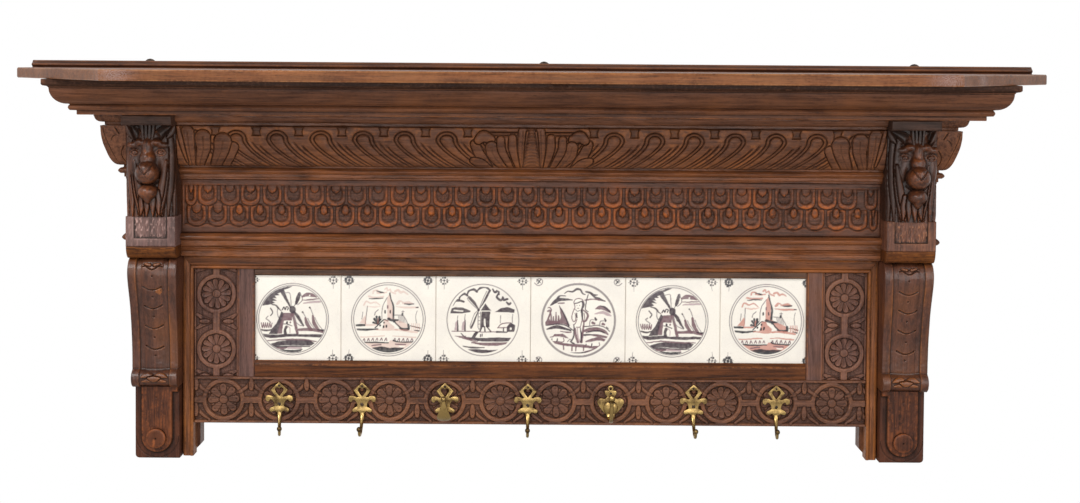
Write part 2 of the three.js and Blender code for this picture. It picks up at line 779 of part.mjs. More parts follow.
/** The head of a lion, as lumps across, in depth and in height from its middle. */
function lionHead(middle, foot, top) {
  const tall = top - foot
  const half = consoleWidth / 2
  const one = (across, rise, share, radii, around, down) => {
    const sizes = [radii[0] * half, radii[1] * headThick, radii[2] * tall]
    const centre = [middle + across * half, headDepth + rise * headThick, foot + tall * share]
    return lump(centre, sizes, around, down)
  }
  const pair = (across, ...rest) => [-1, 1].map((side) => one(side * across, ...rest))
  const strands = [0, 1, 2].flatMap((i) => {
    return pair(0.85 - 0.22 * i, -0.06 - 0.06 * i, 0.36 - 0.05 * i, [0.14, 0.28, 0.4], 6, 6)
  })
  const slab = board([middle - half + 1, caseDepth + gap, foot - 1],
    [middle + half - 1, headDepth - headThick / 5, top + 1])
  return [
    slab,
    ...strands,
    one(0, -0.12, 0.6, [0.76, 0.5, 0.34]),
    one(0, 0.5, 0.5, [0.47, 0.44, 0.125]),
    one(0, 0.28, 0.64, [0.26, 0.38, 0.16]),
    one(0, 0.25, 0.31, [0.36, 0.4, 0.088], 8, 6),
    ...pair(0.47, 0.22, 0.79, [0.36, 0.25, 0.05], 8, 5),
    ...pair(0.52, 0.28, 0.705, [0.15, 0.15, 0.037], 7, 5),
    ...pair(0.64, 0, 0.92, [0.33, 0.34, 0.083], 8, 5),
  ]
}

/** A lion console from the top of the scroll up to the crown. */
function lionConsole(side) {
  const middle = side * pilasterCentre
  const half = consoleWidth / 2
  const back = caseDepth + gap
  const foot = caseFoot + seam
  const blockFoot = foot + footHeight
  const blockHead = blockFoot + sunkHeight
  const top = crownFoot - seam
  const abacusFoot = top - abacusHeight
  const swell = ovolo([sunkBlockDepth - 2, blockFoot], [coveDepth + 2, foot + 4], 4).reverse()
  const cove = [[back, foot], [coveDepth, foot], ...swell, [sunkBlockDepth, blockFoot],
    [sunkBlockDepth, blockHead], [back, blockHead]]
  const body = bar(cove, middle - half, middle + half)
  const sunk = board([middle - half + sunkMargin, sunkBlockDepth - sunkDepth, blockFoot + 4],
    [middle + half - sunkMargin, sunkBlockDepth + 5, blockHead - 4])
  const front = caseDepth + abacusReach
  const slab = [[back, abacusFoot], [front - 3, abacusFoot], [front, abacusFoot + 3], [front, top],
    [back, top]]
  const abacus = bar(slab, middle - half, middle + half)
  return join(cut(body, sunk), abacus, ...lionHead(middle, blockHead, abacusFoot))
}

for (const [name, side] of sides) piece(`lion_console_${name}`, lionConsole(side), carvedOak)

// Brass hooks, cast in one piece with their back plates

const hookCount = 7
const hookPitch = 113.3
const hookPlateTop = 103
const hookPlateHeight = 42
const hookArmHalf = 18.8
const hookPlateThick = 2.8
const longReach = 38
const longDrop = 24
const shortReach = 37
const shortRise = 26
const knobRadius = 4.8
const rodWidth = 3.2
const rodThick = 2
const leafSwell = 5.5
const bossRadius = 10.6
const bossRise = 4
const hookBack = railReliefDepth + gap
const ballRadius = 3.6

/** Mirrors an open outline about the line it starts and ends on, anticlockwise. */
function mirrored(path, divisions) {
  const half = path.getPoints(divisions)
  const other = half.slice(1, -1).reverse().map((point) => new THREE.Vector2(-point.x, point.y))
  return new THREE.Shape([...half, ...other].reverse())
}

/** Moves a flat shape's points across and up. */
function placed(shape, across, height) {
  const move = (point) => new THREE.Vector2(point.x + across, point.y + height)
  const moved = new THREE.Shape(shape.getPoints().map(move))
  moved.holes = shape.holes.map((hole) => new THREE.Path(hole.getPoints().map(move)))
  return moved
}

/** A heart-shaped opening, hung from its cleft. */
function heart(cleft, width, height) {
  const path = new THREE.Path()
  path.moveTo(0, cleft)
  path.quadraticCurveTo(width / 2, cleft + height * 0.3, width / 2, cleft - height * 0.15)
  path.lineTo(0, cleft - height * 0.8)
  path.lineTo(-width / 2, cleft - height * 0.15)
  path.quadraticCurveTo(-width / 2, cleft + height * 0.3, 0, cleft)
  return new THREE.Path(path.getPoints(3).slice(0, -1))
}

/** The back plate of a hook: a diamond over two curled arms and two lower lobes. */
function hookPlate() {
  const half = hookArmHalf
  const tall = hookPlateHeight
  const path = new THREE.Path()
  path.moveTo(0, 0)
  path.lineTo(half * 0.62, -tall * 0.27)
  path.lineTo(half * 0.22, -tall * 0.47)
  path.quadraticCurveTo(half * 0.45, -tall * 0.42, half * 0.66, -tall * 0.43)
  path.quadraticCurveTo(half, -tall * 0.44, half, -tall * 0.55)
  path.quadraticCurveTo(half * 0.97, -tall * 0.65, half * 0.82, -tall * 0.63)
  path.quadraticCurveTo(half * 0.7, -tall * 0.62, half * 0.67, -tall * 0.57)
  path.quadraticCurveTo(half * 0.44, -tall * 0.58, half * 0.37, -tall * 0.74)
  path.quadraticCurveTo(half * 0.6, -tall * 0.82, half * 0.7, -tall * 0.88)
  path.quadraticCurveTo(half * 0.68, -tall * 0.99, half * 0.48, -tall * 0.98)
  path.lineTo(half * 0.17, -tall * 0.97)
  path.lineTo(half * 0.15, -tall)
  path.lineTo(0, -tall)
  const shape = mirrored(path, 2)
  shape.holes.push(heart(-tall * 0.22, half * 0.62, tall * 0.27))
  return shape
}

/** The back plate of the odd hook: a trefoil leaf over two ears. */
function earedPlate() {
  const half = hookArmHalf
  const tall = hookPlateHeight
  const path = new THREE.Path()
  path.moveTo(0, 0)
  path.quadraticCurveTo(half * 0.22, -tall * 0.1, half * 0.16, -tall * 0.2)
  path.lineTo(half * 0.44, -tall * 0.2)
  path.quadraticCurveTo(half * 0.34, -tall * 0.34, half * 0.2, -tall * 0.38)
  path.quadraticCurveTo(half * 0.3, -tall * 0.45, half * 0.6, -tall * 0.42)
  path.quadraticCurveTo(half, -tall * 0.46, half * 0.93, -tall * 0.62)
  path.quadraticCurveTo(half * 0.7, -tall * 0.8, half * 0.5, -tall * 0.88)
  path.quadraticCurveTo(half * 0.3, -tall * 0.98, 0, -tall)
  return mirrored(path, 3)
}

/** A tapering rod along a curve in the plane that stands out from the wall. */
function hookRod(points, widths, thicks, turn, across, top) {
  const curve = new THREE.CatmullRomCurve3(points.map(([out, drop]) => new THREE.Vector3(0, out, drop)))
  const steps = 12
  const rings = []
  for (let i = 0; i <= steps; i++) {
    const t = i / steps
    const centre = curve.getPoint(t)
    const along = curve.getTangent(t)
    const normal = new THREE.Vector3(0, -along.z, along.y)
    const swell = widths[2] * Math.sin(Math.PI * t)
    const width = THREE.MathUtils.lerp(widths[0], widths[1], t) + swell
    const thick = THREE.MathUtils.lerp(thicks[0], thicks[1], t)
    rings.push(Array.from({ length: 8 }, (_, k) => {
      const angle = (Math.PI / 4) * k + Math.PI / 8
      const side = width * Math.cos(angle)
      const out = centre.y + normal.y * thick * Math.sin(angle)
      const drop = centre.z + normal.z * thick * Math.sin(angle)
      const turnedAcross = across + side * Math.cos(turn) + out * Math.sin(turn)
      return at(turnedAcross, hookBack + out * Math.cos(turn) - side * Math.sin(turn), top + drop)
    }))
  }
  return loft(rings)
}

/** A ball on the end of a rod, at a distance out and a drop from the plate's top. */
function hookBall(out, drop, radius, turn, across, top) {
  const depth = hookBack + out * Math.cos(turn)
  return lump([across + out * Math.sin(turn), depth, top + drop], [radius, radius, radius], 8, 5)
}

/** A long hook: its rod drops below the rail and curls up to a ball. */
function longHook(across, turn) {
  const foot = -hookPlateHeight
  const [reach, drop] = [longReach, longDrop]
  const path = [[hookPlateThick / 2, foot + drop / 3], [reach * 0.09, foot - drop / 8],
    [reach * 0.26, foot - drop * 0.62], [reach * 0.55, foot - drop], [reach * 0.82, foot - drop],
    [reach, foot - drop * 0.66]]
  const shape = placed(hookPlate(), across, hookPlateTop)
  return join(
    plate(shape, hookBack, hookBack + hookPlateThick),
    hookRod(path, [rodWidth, rodWidth * 0.62, 0], [rodThick * 0.7, rodThick], turn, across, hookPlateTop),
    hookBall(reach, foot - drop * 0.62, ballRadius, turn, across, hookPlateTop),
  )
}

/** The path of a hook that turns up in front of its plate. */
function upturn(foot) {
  const [reach, rise] = [shortReach, shortRise]
  return [[hookPlateThick / 2, foot + rise * 0.25], [reach * 0.14, foot - rise * 0.08],
    [reach * 0.44, foot - rise * 0.2], [reach * 0.77, foot + rise * 0.08], [reach * 0.94, foot + rise * 0.5],
    [reach, foot + rise]]
}

const leafWidths = [rodWidth, rodWidth * 0.75, leafSwell]

/** A short hook: a broad leaf that turns up in front of its plate to a ball. */
function leafHook(across) {
  const foot = -hookPlateHeight
  const [reach, rise] = [shortReach, shortRise]
  const shape = placed(hookPlate(), across, hookPlateTop)
  return join(
    plate(shape, hookBack, hookBack + hookPlateThick),
    hookRod(upturn(foot), leafWidths, [rodThick * 0.7, rodThick * 0.9], 0, across, hookPlateTop),
    hookBall(reach, foot + rise * 1.04, ballRadius, 0, across, hookPlateTop),
  )
}

/** The odd hook: a domed boss, and a stem that rises to a collar and a knob. */
function knobHook(across) {
  const top = hookPlateTop - 2
  const foot = -hookPlateHeight
  const [reach, rise] = [shortReach, shortRise]
  const bossHeight = top - hookPlateHeight * 0.74
  const bossFront = hookBack + hookPlateThick
  const stemWidths = [rodWidth * 2, rodWidth * 0.8, 0]
  const boss = [[0, hookBack + 1], [bossRadius, hookBack + 1], [bossRadius, bossFront],
    [bossRadius * 0.7, bossFront + bossRise * 0.75], [0, bossFront + bossRise]]
  return join(
    plate(placed(earedPlate(), across, top), hookBack, hookBack + hookPlateThick),
    turned(boss, across, bossHeight, 14),
    hookRod(upturn(foot), stemWidths, [rodThick * 0.8, rodThick * 1.2], 0, across, top),
    lump([across, hookBack + reach, top + foot + rise], [knobRadius, knobRadius, rodThick], 8, 6),
    hookBall(reach, foot + rise + knobRadius + rodThick / 2, knobRadius, 0, across, top),
  )
}

const hookTurns = [0.16, 0, 0, 0, 0, 0, -0.09]
const leafHookPlace = 3
const knobHookPlace = 5
for (let i = 0; i < hookCount; i++) {
  const across = hookOffset + (i - (hookCount - 1) / 2) * hookPitch
  const kinds = { [leafHookPlace]: leafHook, [knobHookPlace]: knobHook }
  const make = kinds[i + 1] ?? longHook
  piece(`hook_${i + 1}`, make(across, hookTurns[i] ?? 0), castBrass)
}

export default rack
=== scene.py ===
"""A carved oak wall coat rack: a hat shelf, lion consoles, painted tiles and brass hooks.

Sizes are millimetres: across from the middle, depth in front of the wall, and height
above the feet of the stiles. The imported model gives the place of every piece, and
`place` turns these three into metres in the model's own frame.
"""

import logging
import math
from dataclasses import dataclass, field
from enum import Enum
from functools import partial

import bmesh
import bpy
import numpy as np
from mathutils import Matrix, Vector


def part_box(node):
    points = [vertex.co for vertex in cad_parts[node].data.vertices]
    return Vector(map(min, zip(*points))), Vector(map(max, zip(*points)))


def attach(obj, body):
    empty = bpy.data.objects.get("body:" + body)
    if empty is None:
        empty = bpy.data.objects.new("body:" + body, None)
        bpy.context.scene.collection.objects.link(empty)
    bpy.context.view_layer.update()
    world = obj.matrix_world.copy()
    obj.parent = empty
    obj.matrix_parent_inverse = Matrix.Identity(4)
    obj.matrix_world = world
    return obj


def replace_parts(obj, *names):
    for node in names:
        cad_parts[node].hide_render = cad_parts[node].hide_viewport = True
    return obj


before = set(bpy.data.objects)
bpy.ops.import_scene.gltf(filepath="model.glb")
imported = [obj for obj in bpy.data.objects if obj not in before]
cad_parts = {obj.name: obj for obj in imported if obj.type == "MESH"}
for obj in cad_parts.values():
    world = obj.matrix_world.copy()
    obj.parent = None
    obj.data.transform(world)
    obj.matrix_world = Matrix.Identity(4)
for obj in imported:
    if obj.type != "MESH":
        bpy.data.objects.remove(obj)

log = logging.getLogger("coat_rack")

BODY = "root"
METRE = 1000.0
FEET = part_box("stile_board_left")[0][2]
SEED = 1905


# Places and plain shapes


@dataclass(frozen=True)
class Room:
    """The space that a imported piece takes, in millimetres."""

    left: float
    right: float
    back: float
    front: float
    foot: float
    top: float

    @classmethod
    def of(cls, node: str) -> "Room":
        """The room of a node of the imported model, by its name."""
        low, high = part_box(node)
        spans = [low[0], high[0], -high[1], -low[1], low[2] - FEET, high[2] - FEET]
        return cls(*[float(value) * METRE for value in spans])

    @property
    def middle(self) -> float:
        """The place midway across."""
        return (self.left + self.right) / 2

    @property
    def width(self) -> float:
        """The size across."""
        return self.right - self.left

    @property
    def height(self) -> float:
        """The size upwards."""
        return self.top - self.foot


def place(across: np.ndarray, depth: np.ndarray, height: np.ndarray) -> np.ndarray:
    """Turns places in millimetres into points of the frame.

    Args:
        across: Distance to the right of the middle.
        depth: Distance in front of the wall.
        height: Height above the feet of the stiles.

    Returns:
        Points in metres, with x, y and z along the last axis.
    """
    across, depth, height = np.broadcast_arrays(across, depth, height)
    return np.stack([across, -depth, height], axis=-1) / METRE + (0.0, 0.0, FEET)


def ease(low: float, high: float, value: np.ndarray) -> np.ndarray:
    """A smooth step: t * t * (3 - 2 t), with t the share of the way from low to high."""
    share = np.clip((value - low) / (high - low), 0.0, 1.0)
    return share * share * (3.0 - 2.0 * share)


def bell(value: np.ndarray, width: float, sharp: float = 1.0) -> np.ndarray:
    """A bell curve: e to the power -sharp (value / width)2."""
    return np.exp(-sharp * (value / width) ** 2)


def dome(share: np.ndarray) -> np.ndarray:
    """The height of a half round at a share of its half width: sqrt(1 - s2), and 0 past its edge."""
    return np.sqrt(np.clip(1 - share**2, 0, 1))


def blur(values: np.ndarray, spread: float) -> np.ndarray:
    """Weighs each value with its neighbours by a bell curve of the given spread in cells."""
    reach = max(1, int(round(2.5 * spread)))
    steps = np.arange(-reach, reach + 1)
    weights = bell(steps, spread, 0.5)
    weights /= weights.sum()
    for axis in (0, 1):
        size = values.shape[axis]
        padded = np.pad(values, [(reach, reach) if a == axis else (0, 0) for a in (0, 1)], "edge")
        values = sum(w * np.take(padded, np.arange(size) + i, axis) for i, w in enumerate(weights))
    return values


def drift(shape: tuple[int, int], knots: tuple[int, int], seed: int) -> np.ndarray:
    """A smooth random field between about -1 and 1: random knots joined by straight lines.

    Args:
        shape: Rows and columns of the field.
        knots: How many random knots lie along each of the two.
        seed: Picks the field.

    Returns:
        The field.
    """
    rough = np.random.default_rng(SEED + seed).uniform(-1.0, 1.0, knots)
    rows = np.linspace(0, knots[0] - 1, shape[0])
    cols = np.linspace(0, knots[1] - 1, shape[1])
    row, col = (np.clip(line.astype(int), 0, size - 2) for line, size in ((rows, knots[0]), (cols, knots[1])))
    down, over = ease(0, 1, rows - row)[:, None], ease(0, 1, cols - col)[None, :]
    upper = rough[row][:, col] * (1 - over) + rough[row][:, col + 1] * over
    lower = rough[row + 1][:, col] * (1 - over) + rough[row + 1][:, col + 1] * over
    return upper * (1 - down) + lower * down


def smooth_path(points: list[tuple[float, ...]], steps: int = 6) -> np.ndarray:
    """Points on the curve that passes its knots with the slope of their neighbours.

    On each stretch the curve is the cubic 0.5 (2b + (c - a) t + (2a - 5b + 4c - d) t2
    + (3b - a - 3c + d) t3) for the four knots a, b, c and d around it.
    """
    knots = np.asarray(points, float)
    padded = np.vstack([2 * knots[0] - knots[1], knots, 2 * knots[-1] - knots[-2]])
    a, b, c, d = (padded[i:len(padded) - 3 + i, None, :] for i in range(4))
    t = np.linspace(0.0, 1.0, steps, endpoint=False)[None, :, None]
    curve = 2 * b + (c - a) * t + (2 * a - 5 * b + 4 * c - d) * t**2 + (3 * b - a - 3 * c + d) * t**3
    return np.vstack([0.5 * curve.reshape(-1, knots.shape[1]), knots[-1]])


def along(x: np.ndarray, y: np.ndarray, path: np.ndarray, halves: np.ndarray) -> tuple[np.ndarray, ...]:
    """Measures points against a stroke: the nearest point of a path, and its half width there.

    Args:
        x: Places across.
        y: Places upwards.
        path: Points of the path, one row each.
        halves: Half the width of the stroke at each point of the path.

    Returns:
        The share of the half width away from the path (1 at the edge of the stroke), the
        distance past that edge (below zero inside), and the share of the length gone.
    """
    best = np.full(x.shape, np.inf)
    past = np.full(x.shape, np.inf)
    gone = np.zeros(x.shape)
    steps = np.hypot(*np.diff(path, axis=0).T)
    reached = np.concatenate([[0.0], np.cumsum(steps)]) / max(steps.sum(), 1e-9)
    for i in range(len(path) - 1):
        dx, dy = path[i + 1] - path[i]
        run = np.clip(((x - path[i, 0]) * dx + (y - path[i, 1]) * dy) / max(dx * dx + dy * dy, 1e-9), 0, 1)
        half = halves[i] + (halves[i + 1] - halves[i]) * run
        far = np.hypot(x - path[i, 0] - run * dx, y - path[i, 1] - run * dy)
        nearer = far - half < past
        past = np.where(nearer, far - half, past)
        best = np.where(nearer, far / np.maximum(half, 1e-6), best)
        gone = np.where(nearer, reached[i] + (reached[i + 1] - reached[i]) * run, gone)
    return best, past, gone


# Meshes


def circle(count: int) -> np.ndarray:
    """Angles evenly round a full turn, as one row."""
    return np.linspace(0, 2 * math.pi, count, endpoint=False)[None]


def rim(sheet: np.ndarray) -> np.ndarray:
    """What a grid holds along its edge, once round."""
    return np.concatenate([sheet[0, :-1], sheet[:-1, -1], sheet[-1, :0:-1], sheet[:0:-1, 0]])


@dataclass
class Shell:
    """A closed skin gathered from grids and rings of points, with marks of age at each point.

    wear is 1 where hands and dusters polish the wood and where a highlight is painted, grime 1 where
    dirt stays and where shade is painted, and scuff 1 where the polish is rubbed off.
    """

    points: list[np.ndarray] = field(default_factory=list)
    marks: list[np.ndarray] = field(default_factory=list)
    corners: list[np.ndarray] = field(default_factory=list)
    sizes: list[np.ndarray] = field(default_factory=list)
    count: int = 0

    def _take(self, points: np.ndarray, marks: tuple[np.ndarray, ...]) -> np.ndarray:
        """Keeps points and their marks, and returns the number of each point."""
        flat = points.reshape(-1, 3)
        aged = [np.broadcast_to(mark, points.shape[:-1]).reshape(-1) for mark in marks]
        self.points.append(flat)
        self.marks.append(np.stack(aged, axis=-1))
        numbers = np.arange(self.count, self.count + len(flat)).reshape(points.shape[:-1])
        self.count += len(flat)
        return numbers

    def grid(self, points: np.ndarray, wear_and_highlight: object = 0.0, grime_and_shade: object = 0.0, scuff: object = 0.0,
             round_rows: bool = False, round_cols: bool = False) -> np.ndarray:
        """Adds a grid of four-sided faces.

        Args:
            points: Points by row and column.
            wear_and_highlight: Wear, with any painted highlight, at each point, or one value.
            grime_and_shade: Grime, with any painted shade, at each point, or one value.
            scuff: Rubbed places, or one value.
            round_rows: Joins the last row to the first.
            round_cols: Joins the last column to the first.

        Returns:
            The number of each point, by row and column.
        """
        numbers = self._take(points, (wear_and_highlight, grime_and_shade, scuff))
        rows = np.concatenate([numbers, numbers[:1]]) if round_rows else numbers
        both = np.concatenate([rows, rows[:, :1]], axis=1) if round_cols else rows
        quads = np.stack([both[:-1, :-1], both[:-1, 1:], both[1:, 1:], both[1:, :-1]], axis=-1)
        self.corners.append(quads.reshape(-1))
        self.sizes.append(np.full(quads.shape[0] * quads.shape[1], 4))
        return numbers

    def face(self, points: np.ndarray, grime_and_shade: float = 0.0) -> None:
        """Adds one flat face round a ring of points."""
        numbers = self._take(points, (0.0, grime_and_shade, 0.0))
        self.corners.append(numbers.reshape(-1))
        self.sizes.append(np.array([numbers.size]))

    def tube(self, rings: np.ndarray, wear_and_highlight: object = 0.0, grime_and_shade: object = 0.0, scuff: object = 0.0) -> None:
        """Adds a skin through closed rings, given by ring and point, and fills both ends."""
        self.grid(rings, wear_and_highlight, grime_and_shade, scuff, round_cols=True)
        self.face(rings[0])
        self.face(rings[-1])

    def carved(self, skin: np.ndarray, back: np.ndarray, marks: tuple, sides: tuple = (0.1, 0.1)) -> None:
        """Adds a carved skin, the walls round it and the flat back behind it.

        Args:
            skin: Points of the front, by row and column.
            back: The points straight behind them.
            marks: Wear and grime of the skin, painted highlights and shade among them.
            sides: Wear and grime of the walls.
        """
        self.grid(skin, *marks)
        ring = rim(back)
        self.grid(np.stack([rim(skin), ring]), *sides, round_cols=True)
        self.face(ring)

    def object(self, name: str, finish: object, crease: float = 50.0) -> bpy.types.Object:
        """Makes the mesh and its object.

        Args:
            name: Name of the piece.
            finish: A finish with a material() method.
            crease: Edges that turn by more than this many degrees are left sharp.

        Returns:
            The new object, in the scene.
        """
        corners, sizes = np.concatenate(self.corners), np.concatenate(self.sizes)
        mesh = bpy.data.meshes.new(name)
        mesh.vertices.add(self.count)
        mesh.vertices.foreach_set("co", np.concatenate(self.points).astype(np.float32).reshape(-1))
        mesh.loops.add(len(corners))
        mesh.loops.foreach_set("vertex_index", corners.astype(np.int32))
        mesh.polygons.add(len(sizes))
        starts = np.concatenate([[0], np.cumsum(sizes)[:-1]])
        mesh.polygons.foreach_set("loop_start", starts.astype(np.int32))
        mesh.update(calc_edges=True)
        for column, label in enumerate(("wear_and_highlight", "grime_and_shade", "scuff")):
            values = np.concatenate([mark[:, column] for mark in self.marks])
            layer = mesh.attributes.new(label, "FLOAT", "POINT")
            layer.data.foreach_set("value", np.clip(values, 0, 1).astype(np.float32))
        return finished(mesh, name, finish, crease)


def finished(mesh: bpy.types.Mesh, name: str, finish: object, crease: float) -> bpy.types.Object:
    """Joins a mesh along its seams, points its faces outwards and puts it in the scene.

    Args:
        mesh: The mesh, in the frame's metres.
        name: Name of the piece.
        finish: A finish with a material() method.
        crease: Edges that turn by more than this many degrees are left sharp.

    Returns:
        The new object, which rides on the rack.
    """
    work = bmesh.new()
    work.from_mesh(mesh)
    bmesh.ops.remove_doubles(work, verts=work.verts, dist=2e-6)
    bmesh.ops.dissolve_degenerate(work, edges=work.edges, dist=1e-7)
    bmesh.ops.recalc_face_normals(work, faces=work.faces)
    work.to_mesh(mesh)
    work.free()
    mesh.shade_smooth()
    mesh.set_sharp_from_angle(angle=math.radians(crease))
    mesh.materials.append(finish.material())
    made = bpy.data.objects.new(name, mesh)
    bpy.context.scene.collection.objects.link(made)
    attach(made, BODY)
    log.info("%s: %d points", name, len(mesh.vertices))
    return made


def soften(profile: list[tuple[float, float]], turn: float = 0.4) -> tuple[np.ndarray, ...]:
    """Rounds the corners of a closed profile the way use rounds them.

    A corner b between a and c becomes the curve (1-t)2 p + 2 t (1-t) b + t2 q from a point p
    just before it to a point q just after it. Outer corners wear to a radius of about a
    millimetre, and inner corners stay crisp and hold dirt.

    Args:
        profile: Corners of the profile, in order.
        turn: Corners that turn by less than this, in radians, are left as they are.

    Returns:
        The points, and the wear and the grime at each of them.
    """
    corners = np.asarray(profile, float)
    before, after = np.roll(corners, 1, 0) - corners, np.roll(corners, -1, 0) - corners
    lengths = [np.hypot(*side.T) for side in (before, after)]
    cross = after[:, 0] * before[:, 1] - after[:, 1] * before[:, 0]
    dot = (before * after).sum(1)
    bend = np.arctan2(cross, -dot)
    around = 1.0 if bend.sum() > 0 else -1.0
    points, wear_and_highlight, grime_and_shade = [], [], []
    for corner, back, ahead, short, angle in zip(corners, before, after, np.minimum(*lengths), bend * around):
        if abs(angle) < turn or short < 0.6:
            points.append(corner[None])
            wear_and_highlight.append([np.clip(angle * 1.2, 0, 0.5)])
            grime_and_shade.append([np.clip(-angle, 0, 0.4)])
            continue
        radius = min(1.1 if angle > 0 else 0.35, short * 0.22)
        guard = min(2.2, short * 0.45)
        back, ahead = back / np.hypot(*back), ahead / np.hypot(*ahead)
        t = np.linspace(0, 1, 4)[:, None]
        start, end = corner + back * radius, corner + ahead * radius
        curve = (1 - t) ** 2 * start + 2 * t * (1 - t) * corner + t**2 * end
        points.append(np.vstack([corner + back * guard, curve, corner + ahead * guard]))
        wear_and_highlight.append([0, 0.6, 1, 1, 0.6, 0] if angle > 0 else [0] * 6)
        grime_and_shade.append([0] * 6 if angle > 0 else [0, 0.8, 1, 1, 0.8, 0])
    return np.vstack(points), np.concatenate(wear_and_highlight), np.concatenate(grime_and_shade)


# Finishes


class Along(Enum):
    """The way that the grain of a piece of wood runs, as the turn that lays it along x."""

    ACROSS = (0.0, 0.0, 0.0)
    OUT = (0.0, 0.0, math.pi / 2)
    UP = (0.0, math.pi / 2, 0.0)


class Tree:
    """Short ways to add nodes to a node tree and to join them."""

    def __init__(self, tree: bpy.types.NodeTree) -> None:
        """Starts on a tree with nothing in it."""
        self.tree = tree
        tree.nodes.clear()

    def add(self, kind: str, values: dict | None = None, **settings: object) -> bpy.types.Node:
        """Adds a node.

        Args:
            kind: The node's type.
            values: For each input, a constant or the socket that feeds it.
            settings: Properties of the node.

        Returns:
            The new node.
        """
        node = self.tree.nodes.new(kind)
        for key, value in settings.items():
            setattr(node, key, value)
        self.feed(node, values or {})
        return node

    def feed(self, node: bpy.types.Node, values: dict) -> None:
        """Sets or links the inputs of a node."""
        for key, value in values.items():
            if isinstance(value, bpy.types.NodeSocket):
                self.tree.links.new(value, node.inputs[key])
            else:
                node.inputs[key].default_value = value

    def spot(self) -> bpy.types.NodeSocket:
        """The place on the object, in metres."""
        return self.add("ShaderNodeTexCoord").outputs["Object"]

    def bump(self, height: object, strength: float, distance: float, **more: object) -> bpy.types.NodeSocket:
        """Turns a height into a normal."""
        values = {"Height": height, "Strength": strength, "Distance": distance, **more}
        return self.add("ShaderNodeBump", values).outputs[0]

    def group(self, name: str, values: dict) -> bpy.types.bpy_prop_collection:
        """Adds one of the shared groups and returns its outputs."""
        return self.add("ShaderNodeGroup", values, node_tree=GROUPS.get(name)).outputs

    def math(self, operation: str, *values: object, clamp: bool = False) -> bpy.types.NodeSocket:
        """Adds a sum, product or other number of one to three values."""
        node = self.add("ShaderNodeMath", dict(enumerate(values)), operation=operation, use_clamp=clamp)
        return node.outputs[0]

    def mix(self, share: object, first: object, second: object, blend: str = "MIX") -> bpy.types.NodeSocket:
        """Mixes two colours."""
        values = {0: share, 6: first, 7: second}
        return self.add("ShaderNodeMix", values, data_type="RGBA", blend_type=blend).outputs[2]

    def noise(self, vector: object, scale: float, detail: float = 3.0, rough: float = 0.55,
              warp: float = 0.0) -> bpy.types.NodeSocket:
        """Adds a noise between 0 and 1."""
        values = {"Vector": vector, "Scale": scale, "Detail": detail, "Roughness": rough, "Distortion": warp}
        return self.add("ShaderNodeTexNoise", values).outputs["Fac"]

    def stretched(self, vector: object, scale: tuple[float, float, float]) -> bpy.types.NodeSocket:
        """Stretches a vector along its three axes."""
        return self.add("ShaderNodeMapping", {"Vector": vector, "Scale": scale}).outputs[0]

    def band(self, value: object, low: float, high: float) -> bpy.types.NodeSocket:
        """Takes values from low to high to 0 to 1, smoothly, and keeps them there."""
        values = {"Value": value, "From Min": low, "From Max": high}
        return self.add("ShaderNodeMapRange", values, interpolation_type="SMOOTHSTEP").outputs[0]


